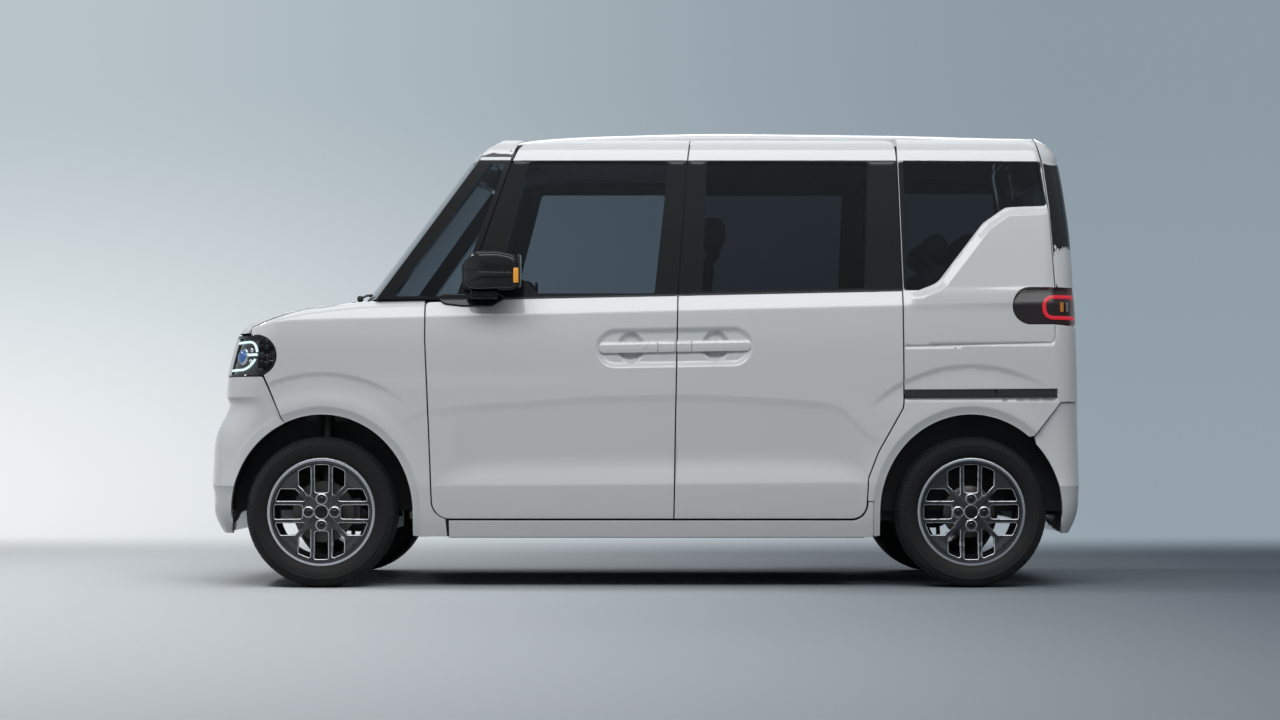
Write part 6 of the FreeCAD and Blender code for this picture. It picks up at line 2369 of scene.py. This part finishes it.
@dataclass
class OuterTrim:
    """Sill covers, rail-slot linings, weatherstrips, wipers, grille and tail details."""

    shop: Workshop

    def strip(self, strip: Strip, loop: Points) -> None:
        """Build a thin piece on the flank, inside a side-view outline."""
        self.shop.cover(
            strip.name, self.shop.skin.seen(loop), strip.finish, strip.body, depth=strip.depth, edge=1.5, grid=24.0,
            skin_depth=-strip.proud,
        )

    def build_sides(self) -> None:
        """Build the sill covers, roof corners, slot linings and weatherstrips."""
        door = inset(rounded(REAR_DOOR, 8.0), -SHUT_GAP)
        corner = door[(door[:, 0] > 780) & (door[:, 1] < 331)][::-1]
        cover = np.concatenate(([(-748.5, 193.0), (879.5, 193.0), (879.5, 331.5)], corner, [(-748.5, 257.5)]))
        self.strip(Strip("sill_cover", (), "pearl_white_paint", 9.0, 0.6), densified(cover, 9.0))
        self.strip(Strip("roof_corner", ROOF_CORNER, "pearl_white_paint", 4.0, 0.8), rounded(ROOF_CORNER, 7.0))
        for strip in STRIPS:
            self.strip(strip, rounded(strip.corners, 10.0))

    def build_wipers(self) -> None:
        """Build the windscreen's wipers."""
        for number, (foot_y, blade) in enumerate(((-380.0, 560.0), (90.0, 420.0))):
            base = np.array((-1128.0, foot_y, 1128.0))
            tip = base + np.array((34.0, blade * 0.52, 30.0))
            arm = [base, base + (tip - base) * 0.4 + (0, 0, 8), tip]
            self.shop.put(f"wiper_arm_{number}", tube(arm, 5.0, 8), "black_plastic")
            run = np.array([
                (-1112.0, foot_y - 30.0, 1140.0), (-1104.0, foot_y + blade * 0.5, 1150.0),
                (-1112.0, foot_y + blade, 1140.0),
            ])
            run[:, 0] += SCREEN_BOW * (run[:, 1] / SCREEN_REACH) ** 2 - 6.0
            self.shop.put(f"wiper_blade_{number}", tube(run, 5.5, 8), "rubber")
            self.shop.put(f"wiper_cap_{number}", block(base - 12, base + 12, 8.0), "black_plastic")

    def build_nose(self) -> None:
        """Build the bumper's seam, the lower mesh, the grille's slots and the fog lamps."""
        rear, front = self.shop.skin.v_seen(-1588.0, 291.0), self.shop.skin.v_across(470.0, 291.0, True)
        seam = densified(np.array([(rear, 289.4), (front, 289.4), (front, 292.4), (rear, 292.4)]), 10.0)
        self.shop.cover("bumper_seam", seam, "black_plastic", depth=2.0, edge=0.4, grid=20.0, skin_depth=-0.3)
        mesh = [block((-1690, y - 2, 338), (-1680, y + 2, 472), 1.5) for y in range(-400, 401, 32)]
        self.shop.put("lower_mesh_uprights", joined(mesh), "black_plastic")
        self.shop.put("lower_mesh_backing", block((-1670, -425, 332), (-1664, 425, 478), 2.0), "black_steel")
        self.shop.blocks(
            (f"grille_slot_{z}", (-1600, -378, z - 4), (-1590, 378, z + 20), 1.0, "black_steel")
            for z in GRILLE_SLOTS
        )
        self.shop.blocks(
            (f"fog_lamp_{side}", (-1668, y - 46, 382), (-1650, y + 46, 428), 14.0, "lamp_silver")
            for side, y in zip(SIDES, (-520, 520))
        )

    def build_tail_band(self) -> None:
        """Build the gloss-black band round the tailgate's window and its corners."""
        skin = self.shop.skin
        low, high = 1152.0, 1641.0
        gate = densified(np.array([(1589.5, low), (1570.5, 1465.0), (1551.5, high)]), 10.0, closed=False)

        def level(height: float, start: float, finish: float) -> list[tuple[float, float]]:
            """Points across the tail at one height."""
            y = np.linspace(start, finish, max(3, int(abs(finish - start) / 14)))
            return [(skin.v_across(a, height, False), height) for a in y]

        side = [(skin.v_across(524.0 - (z - 1200.0) * 0.125, z, False), z) for z in np.linspace(1606.0, 1194.0, 30)]
        loop = np.concatenate((
            skin.seen(gate), level(high, 575.0, 0.0), level(1607.0, 0.0, 466.0), side, level(1192.0, 518.0, 0.0),
            level(low, 0.0, 590.0),
        ))
        self.shop.cover(
            "tailgate_band", loop, "gloss_black", "tailgate", depth=3.0, edge=1.0, grid=16.0, skin_depth=-0.6,
        )

    def build_tail(self) -> None:
        """Build the tailgate's handle, wiper, high stop lamp and roof aerial."""
        self.build_tail_band()
        self.shop.blocks((
            ("tailgate_handle", (1676, -170, 905), (1694, 170, 938), 7.0, "pearl_white_paint", "tailgate"),
            ("tailgate_handle_recess", (1672, -150, 896), (1688, 150, 910), 4.0, "black_plastic", "tailgate"),
            ("high_stop_lamp", (1596, -110, 1674), (1612, 110, 1688), 4.0, "tail_lamp_lens", "tailgate"),
        ))
        arm = tube([(1668, 0, 1196), (1670, 120, 1214), (1664, 300, 1228)], 5.0, 8)
        self.shop.put("rear_wiper_arm", arm, "black_plastic", "tailgate")
        blade = tube([(1664, 70, 1236), (1662, 200, 1240), (1658, 350, 1236)], 4.5, 8)
        self.shop.put("rear_wiper_blade", blade, "rubber", "tailgate")
        cap = block((1656, -16, 1180), (1676, 16, 1212), 8.0)
        self.shop.put("rear_wiper_cap", cap, "black_plastic", "tailgate")
        aerial = tube([(1330, 0, 1776), (1350, 0, 1779), (1420, 0, 1781)], 3.0, 8)
        self.shop.put("roof_aerial", aerial, "black_plastic")

    def build(self) -> None:
        """Build all of it."""
        self.build_sides()
        self.build_wipers()
        self.build_nose()
        self.build_tail()
        LOG.info("outer trim: sills, strips, wipers, nose and tail details")


# The cabin

@dataclass(frozen=True)
class PadForm:
    """One padded piece: its box, how round it is, how far its faces crown and where its channels are."""

    name: str
    low: tuple[float, float, float]
    high: tuple[float, float, float]
    radius: float = 40.0
    crown: float = 10.0
    face: int = 2
    face_sign: float = 1.0
    channels: tuple[tuple[int, float], ...] = ()
    lean: float = 0.0
    pivot: tuple[float, float, float] = (0.0, 0.0, 0.0)
    fill: float = 0.75
    cuts: int = 26
    channel_depth: float = 9.0
    channel_width: float = 6.0

    def shape(self) -> Shape:
        """The crowned pad with its seams pressed in.

        Returns:
            Its points in mm and its faces.
        """
        form = bmesh.new()
        bmesh.ops.create_cube(form, size=2.0)
        bmesh.ops.subdivide_edges(form, edges=form.edges[:], cuts=self.cuts, use_grid_fill=True)
        form.verts.index_update()
        q = np.array([tuple(v.co) for v in form.verts])
        faces = [[v.index for v in f.verts] for f in form.faces]
        form.free()
        low, high = np.array(self.low, float), np.array(self.high, float)
        half, middle = (high - low) / 2, (high + low) / 2
        radius = min(self.radius, float(half.min()) * 0.96)
        spot = q * half
        core = np.clip(spot, -(half - radius), half - radius)
        out = spot - core
        spot = core + unit(out) * radius
        for axis in range(3):
            first, second = (k for k in range(3) if k != axis)
            flat = np.abs(q[:, axis]) > 0.999
            rise = (1 - q[:, first] ** 2) * (1 - q[:, second] ** 2)
            amount = self.crown if axis == self.face else self.crown * 0.5
            resting = axis == 2 and self.lean == 0
            push = np.where(resting & (q[:, axis] < 0), 0.0, amount)
            spot[:, axis] += np.where(flat, np.sign(q[:, axis]) * push * (rise - 0.35), 0.0)
        front = q[:, self.face] * self.face_sign > 0.999
        place = spot + middle
        for axis, where in self.channels:
            press = self.channel_depth * np.exp(-((place[:, axis] - where) / self.channel_width) ** 2)
            spot[:, self.face] -= np.where(front, self.face_sign * press, 0.0)
        shape = (spot + middle, faces)
        return turned(shape, (0, 1, 0), self.lean, self.pivot) if self.lean else shape


@dataclass
class Cabin:
    """Seats, head restraints, dashboard details, door trims and the roof lining."""

    shop: Workshop

    def pad(self, form: PadForm) -> bpy.types.Object:
        thing = self.shop.put(form.name, form.shape(), "seat_fabric", sharp=70.0)[0]
        return thing

    def posts(self, name: str, middle: float, reach: float, low: Sequence[float], high: Sequence[float]) -> None:
        """Build the two posts of a head restraint between two (x, z) places."""
        ends = [[(x, middle + way * reach, z) for x, z in (low, high)] for way in (-1, 1)]
        self.shop.put(name, joined(tube(pair, 6.0, 10) for pair in ends), "stainless_steel")

    def build_front_seat(self, side: str, low: float, high: float) -> bpy.types.Object:
        """Build one front seat between two stations across the car.

        Args:
            side: Its side, left or right.
            low: Where it begins.
            high: Where it ends.

        Returns:
            Its cushion.
        """
        quarter, middle = (high - low) / 4, (low + high) / 2
        seams = ((1, low + quarter), (1, high - quarter))
        cushion = self.pad(PadForm(
            f"front_cushion_{side}", (-330, low, 452.6), (70, high, 638.6), 46.0, 12.0, 2, 1.0, (*seams, (0, -150.0)),
        ))
        self.pad(PadForm(
            f"front_back_{side}", (14, low + 6, 624), (134, high - 6, 1296), 48.0, 12.0, 0, -1.0,
            (*seams, (2, 880.0), (2, 1120.0)), 13.6, (70, 0, 620),
        ))
        self.pad(PadForm(
            f"front_headrest_{side}", (212, middle - 125, 1316), (312, middle + 125, 1452), 46.0, 8.0, 0, -1.0, (), 8.0,
            (262, 0, 1316), 0.8, 16,
        ))
        self.posts(f"front_headrest_posts_{side}", middle, 60, (244, 1262), (252, 1340))
        outside = (low - 2, low + 10) if side == "left" else (high - 10, high + 2)
        cover = block((-40, outside[0], 560), (110, outside[1], 640), 5.0)
        self.shop.put(f"recliner_cover_{side}", cover, "dark_trim")
        return cushion

    def build_bench_half(self, side: str, low: float, high: float) -> None:
        """Build one half of the rear bench between two stations across the car.

        Args:
            side: Its side, left or right.
            low: Where it begins.
            high: Where it ends.
        """
        middle = (low + high) / 2
        seams = ((1, middle - 110), (1, middle + 110))
        self.pad(PadForm(
            f"bench_cushion_{side}", (620, low, 502.6), (1055, high, 680), 44.0, 10.0, 2, 1.0, (*seams, (0, 800.0)),
        ))
        outer_low, outer_high = (low - 40, high) if side == "left" else (low, high + 40)
        self.pad(PadForm(
            f"bench_back_{side}", (1000, outer_low, 690), (1105, outer_high, 1272), 44.0, 10.0, 0, -1.0,
            (*seams, (2, 1000.0)), 10.4, (1000, 0, 690),
        ))
        self.pad(PadForm(
            f"bench_headrest_{side}", (1118, middle - 120, 1286), (1208, middle + 120, 1392), 40.0, 7.0, 0, -1.0, (),
            8.0, (1160, 0, 1286), 0.8, 16,
        ))
        self.posts(f"bench_headrest_posts_{side}", middle, 55, (1158, 1245), (1166, 1310))

    def build_seats(self) -> None:
        """Build the front seats and the bench as separate padded pieces."""
        cushion = self.build_front_seat("left", -585.0, -35.0)
        self.build_front_seat("right", 35.0, 585.0)
        self.build_bench_half("left", -510.0, -3.0)
        self.build_bench_half("right", 3.0, 510.0)
        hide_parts("seats")

    def build_dashboard(self) -> None:
        """Build the instrument hood, screen, vents, shelf and steering-wheel details."""
        shop = self.shop
        shop.blocks((
            ("instrument_hood", (-850, 210, 1072), (-690, 490, 1140), 24.0, "dark_trim"),
            ("instrument_face", (-694, 232, 1082), (-686, 468, 1126), 4.0, "gloss_black"),
        ))
        screen = turned(block((-700, -120, 985), (-688, 120, 1120), 6.0), (0, 1, 0), -12.0, (-700, 0, 985))
        shop.put("centre_screen", screen, "gloss_black")
        vents = [block((-652, y - 42, 1000), (-632, y + 42, 1044), 8.0) for y in (-510.0, -170.0, 170.0, 510.0)]
        shop.put("dash_vents", joined(vents), "gloss_black")
        shop.blocks((
            ("glovebox_lid", (-646, -540, 860), (-632, -190, 978), 8.0, "dark_trim"),
            ("climate_panel", (-646, -90, 880), (-628, 90, 960), 6.0, "gloss_black"),
        ))
        knob = [(0, -12), (15, -12), (17, -9), (17, 8), (0, 8)]
        places = [(-626, y, 920) for y in (-52.0, 0.0, 52.0)]
        knobs = [turned(lathe(knob, place, 24), (0, 0, 1), 90.0, place) for place in places]
        shop.put("climate_knobs", joined(knobs), "wheel_edge")
        stalk = tube([(-636, 110, 930), (-600, 118, 952), (-576, 122, 972)], 7.0, 10)
        shop.put("shift_stalk", stalk, "dark_trim")
        shop.blocks((
            ("shift_knob", (-590, 104, 960), (-558, 140, 1008), 14.0, "gloss_black"),
            ("dash_shelf_rim", (-652, -556, 1036), (-634, 556, 1050), 6.0, "seat_fabric"),
        ))
        pad = turned(block((-582, 268, 905), (-548, 432, 1010), 14.0), (0, 1, 0), -28.0, (-560, 350, 960))
        shop.put("steering_wheel_pad", pad, "dark_trim", "steering_wheel")

    def build_door_trims(self) -> None:
        """Build the door trims, the door frames inside, the armrests and the bins."""
        front, rear = (inset(rounded(outline, 14.0), 34.0) for outline in (FRONT_DOOR, REAR_DOOR))
        front_hole, rear_hole = ([inset(rounded(window), -1.5)] for window in (FRONT_WINDOW, REAR_WINDOW_OPENING))
        lower = clipped(front, (1500, 1105.0), (-1500, 1105.0), 14.0)
        upper = clipped(front, (-1500, 1109.0), (1500, 1109.0), 14.0)
        armrest = rounded([(-420, 760, 20), (40, 790, 20), (40, 850, 20), (-420, 830, 20)], 12.0)
        door_bin = rounded([(-600, 330, 20), (-60, 330, 20), (-60, 450, 20), (-600, 450, 20)], 12.0)
        for name, loop, holes, depth, edge, grid, skin_depth, finish, body in (
            ("front_door_trim", lower, (), 19.0, 8.0, 26.0, 36.5, "dark_trim", "front_door"),
            ("front_door_frame", upper, front_hole, 34.0, 5.0, 26.0, 21.0, "black_plastic", "front_door"),
            ("sliding_door_trim", rear, rear_hole, 19.0, 8.0, 26.0, 36.5, "dark_trim", "body"),
            ("front_armrest", armrest, (), 30.0, 10.0, 26.0, 58.0, "seat_fabric", "front_door"),
            ("front_door_bin", door_bin, (), 24.0, 8.0, 30.0, 58.0, "dark_trim", "front_door"),
        ):
            self.shop.cover(
                name, loop, finish, body, holes=holes, depth=depth, edge=edge, grid=grid, skin_depth=skin_depth,
            )

    def build_roof_and_floor(self) -> None:
        """Build the headlining, the inner mirror, the sun visors and the floor mats."""
        shop = self.shop
        shop.put("roof_lining", block((-430, -540, 1700), (1440, 540, 1708), 4.0), "roof_cloth")
        mirror = turned(block((-560, -110, 1560), (-545, 110, 1620), 7.0), (0, 1, 0), 8.0, (-550, 0, 1590))
        shop.put("inner_mirror", mirror, "dark_trim")
        shop.put("inner_mirror_stem", tube([(-556, 0, 1600), (-590, 0, 1650), (-600, 0, 1690)], 7.0, 8), "dark_trim")
        for side, y in zip(SIDES, (-310.0, 310.0)):
            visor = turned(block((-560, y - 190, 1672), (-400, y + 190, 1690), 8.0), (0, 1, 0), -14.0, (-480, 0, 1680))
            shop.put(f"sun_visor_{side}", visor, "roof_cloth")
            shop.put(f"floor_mat_{side}", block((-820, y - 210, 293), (-340, y + 210, 299), 3.0), "seat_fabric")

    def build(self) -> None:
        """Build all of it."""
        self.build_seats()
        self.build_dashboard()
        self.build_door_trims()
        self.build_roof_and_floor()
        LOG.info("cabin: seats, dashboard details and trims")


# The studio

@dataclass(frozen=True)
class Softbox:
    """One soft area lamp: its name, its place, the point that it faces, its width and height and its watts."""

    name: str
    place: tuple[float, float, float]
    target: tuple[float, float, float]
    size: tuple[float, float]
    power: float

    def build(self) -> None:
        """Hang the lamp, out of the camera's sight."""
        data = bpy.data.lights.new(self.name, "AREA")
        data.shape = "RECTANGLE"
        data.size, data.size_y = self.size
        data.energy = self.power
        lamp = bpy.data.objects.new(self.name, data)
        lamp.location = self.place
        lamp.visible_camera = False
        way = Vector(self.target) - Vector(self.place)
        lamp.rotation_euler = way.to_track_quat("-Z", "Y").to_euler()
        bpy.context.scene.collection.objects.link(lamp)


@dataclass
class Studio:
    """The pale floor, the sweep behind it, the soft lights and the camera."""

    camera_place: tuple[float, float, float] = (-0.015, -10.4325, 0.532)
    camera_tilt: float = 92.01
    focal_length: float = 71.16
    floor_half: float = 40.0
    sweep_start: float = 6.0
    sweep_radius: float = 4.0
    sweep_steps: int = 12
    sweep_top: float = 14.0
    # Painted light on the floor: pale at the left as a painted pool of light, dark at the right as painted shade.
    floor_left: Colour = (0.79, 0.825, 0.845)
    floor_right: Colour = (0.145, 0.18, 0.216)
    floor_indirect: Colour = (0.20, 0.22, 0.23)
    # Painted light on the wall and sky behind: pale at the left, dark at the right as painted shade.
    wall_left: Colour = (0.88, 0.91, 0.92)
    wall_right: Colour = (0.30, 0.36, 0.41)
    sky_left: Colour = (0.48, 0.55, 0.59)
    sky_right: Colour = (0.27, 0.33, 0.38)
    air_low: Colour = (0.24, 0.275, 0.30)
    air_high: Colour = (0.62, 0.68, 0.74)
    air_light: Colour = (0.12, 0.13, 0.14)
    softboxes: tuple[Softbox, ...] = (
        Softbox("overhead", (0.0, -0.6, 5.2), (0.0, -0.3, 0.8), (6.0, 2.4), 60.0),
        Softbox("front_softbox", (-0.4, -6.0, 5.8), (0.0, -0.4, 0.8), (8.5, 2.6), 310.0),
        Softbox("side_lamp", (-6.6, 0.4, 6.2), (0.0, 0.2, 0.4), (0.9, 0.9), 170.0),
        Softbox("far_softbox", (0.4, 5.4, 5.2), (0.0, 0.4, 0.8), (7.5, 1.8), 90.0),
    )

    def build(self) -> None:
        """Build all of it."""
        self.build_floor()
        for softbox in self.softboxes:
            softbox.build()
        self.build_air()
        self.build_camera()

    def build_floor(self) -> None:
        """Build the floor and sweep as one curved sheet."""
        rows = [(-self.floor_half, 0.0), (self.sweep_start, 0.0)]
        for step in range(1, self.sweep_steps + 1):
            angle = math.radians(90.0 * step / self.sweep_steps)
            rows.append((
                self.sweep_start + self.sweep_radius * math.sin(angle), self.sweep_radius * (1 - math.cos(angle)),
            ))
        rows.append((self.sweep_start + self.sweep_radius, self.sweep_top))
        verts = [(x, y, z) for y, z in rows for x in (-self.floor_half, self.floor_half)]
        faces = [(2 * i, 2 * i + 1, 2 * i + 3, 2 * i + 2) for i in range(len(rows) - 1)]
        mesh = bpy.data.meshes.new("studio_floor")
        mesh.from_pydata(verts, [], faces)
        mesh.polygons.foreach_set("use_smooth", [True] * len(faces))
        mesh.materials.append(self.paper())
        floor = bpy.data.objects.new("studio_floor", mesh)
        bpy.context.scene.collection.objects.link(floor)

    def ramp(
        self, tree: bpy.types.NodeTree, value: bpy.types.NodeSocket, low: float, high: float,
    ) -> bpy.types.NodeSocket:
        """A smooth rise from 0 to 1 as a value goes from low to high.

        Args:
            tree: The tree to add to.
            value: The value's socket.
            low: The value that gives 0.
            high: The value that gives 1.

        Returns:
            The socket of the rise.
        """
        node = tree.nodes.new("ShaderNodeMapRange")
        node.interpolation_type = "SMOOTHSTEP"
        node.inputs["From Min"].default_value = low
        node.inputs["From Max"].default_value = high
        tree.links.new(value, node.inputs["Value"])
        return node.outputs["Result"]

    def seen_directly(self, tree: bpy.types.NodeTree) -> bpy.types.NodeSocket:
        """1 for rays from the camera, a mirror surface or glass, else 0."""
        path = tree.nodes.new("ShaderNodeLightPath")
        total = link_math(tree, "MAXIMUM", path.outputs["Is Camera Ray"], path.outputs["Is Glossy Ray"])
        return link_math(tree, "MAXIMUM", total, path.outputs["Is Transmission Ray"])

    def layered(
        self, tree: bpy.types.NodeTree, share: bpy.types.NodeSocket, first: bpy.types.NodeSocket,
        second: bpy.types.NodeSocket,
    ) -> bpy.types.NodeSocket:
        """Two shaders, mixed by a share."""
        mix = tree.nodes.new("ShaderNodeMixShader")
        for value, slot_number in ((share, 0), (first, 1), (second, 2)):
            tree.links.new(value, mix.inputs[slot_number])
        return mix.outputs["Shader"]

    def paper(self) -> bpy.types.Material:
        """The floor's and the sweep's material, with painted light: paler at the left than at the right, a painted pool
        of light that falls off into painted shade.

        Far from the car it shines by itself, and from behind the camera sees through it.

        Returns:
            The material.
        """
        material = bpy.data.materials.new("studio_paper")
        material.use_nodes = True
        tree = material.node_tree
        shader = tree.nodes["Principled BSDF"]
        shader.inputs["Roughness"].default_value = 0.28
        shader.inputs["Specular IOR Level"].default_value = 0.0
        x, y, z = link_axes(tree, "Object")
        # Painted light: the floor's colour falls from a painted pool of light at the left to painted shade at the
        # right.
        floor = link_mix(tree, self.ramp(tree, x, -3.6, 3.4), self.floor_left, self.floor_right)
        seen = link_mix(tree, self.seen_directly(tree), self.floor_indirect, floor)
        tree.links.new(seen, shader.inputs["Base Color"])
        # Painted light: the glowing wall and sky fall from pale at the left to painted shade at the right.
        painted_light_falloff = self.ramp(tree, x, -5.6, 3.6)
        low = link_mix(tree, painted_light_falloff, self.wall_left, self.wall_right)
        high = link_mix(tree, painted_light_falloff, self.sky_left, self.sky_right)
        glow = tree.nodes.new("ShaderNodeEmission")
        tree.links.new(link_mix(tree, self.ramp(tree, z, 0.0, 3.6), low, high), glow.inputs["Color"])
        far = self.ramp(tree, y, 2.2, 5.2)
        away = link_math(tree, "ABSOLUTE", x, 0.0)
        for other in (self.ramp(tree, away, 5.0, 9.0), self.ramp(tree, y, -11.0, -16.0)):
            far = link_math(tree, "MAXIMUM", far, other)
        share = link_math(tree, "MULTIPLY", far, self.seen_directly(tree))
        lit = self.layered(tree, share, shader.outputs["BSDF"], glow.outputs["Emission"])
        back = tree.nodes.new("ShaderNodeNewGeometry").outputs["Backfacing"]
        from_camera = tree.nodes.new("ShaderNodeLightPath").outputs["Is Camera Ray"]
        clear = tree.nodes.new("ShaderNodeBsdfTransparent").outputs["BSDF"]
        whole = self.layered(tree, link_math(tree, "MULTIPLY", back, from_camera), lit, clear)
        tree.links.new(whole, tree.nodes["Material Output"].inputs["Surface"])
        return material

    def build_air(self) -> None:
        """Fill the world with an even light, which is seen as a wall and sky with painted light that is paler towards
        the left.
        """
        world = bpy.data.worlds.new("studio_air")
        world.use_nodes = True
        tree = world.node_tree
        x, _, z = link_axes(tree, "Generated")
        # Painted light: towards the left, the seen horizon takes the wall's pale painted-light colour.
        low = link_mix(tree, self.ramp(tree, x, -0.9, -0.2), self.wall_left, self.air_low)
        seen = link_mix(tree, self.ramp(tree, z, 0.06, 0.42), low, self.air_high)
        colour = link_mix(tree, self.seen_directly(tree), self.air_light, seen)
        tree.links.new(colour, tree.nodes["Background"].inputs["Color"])
        bpy.context.scene.world = world

    def build_camera(self) -> None:
        """Put the camera where the photograph was taken from."""
        data = bpy.data.cameras.new("camera")
        data.lens = self.focal_length
        data.sensor_width = 36.0
        camera = bpy.data.objects.new("camera", data)
        camera.location = self.camera_place
        camera.rotation_euler = (math.radians(self.camera_tilt), 0.0, 0.0)
        bpy.context.scene.collection.objects.link(camera)
        bpy.context.scene.camera = camera
        bpy.context.scene.view_settings.view_transform = "Standard"


def main() -> None:
    """Build the car's looks in order and log a line for each group of pieces."""
    logging.basicConfig(level=logging.INFO, format="%(message)s")
    build_effects()
    paints = Paintbox()
    Studio().build()
    paints.dress_cad()
    shop = Workshop(paints)
    Flank(shop).build()
    wings = Wings(shop)
    wings.build()
    Hood(shop, wings).build()
    Wheels(shop).build()
    DoorFittings(shop).build()
    Lamps(shop).build()
    OuterTrim(shop).build()
    Cabin(shop).build()


if __name__ == "__main__":
    main()
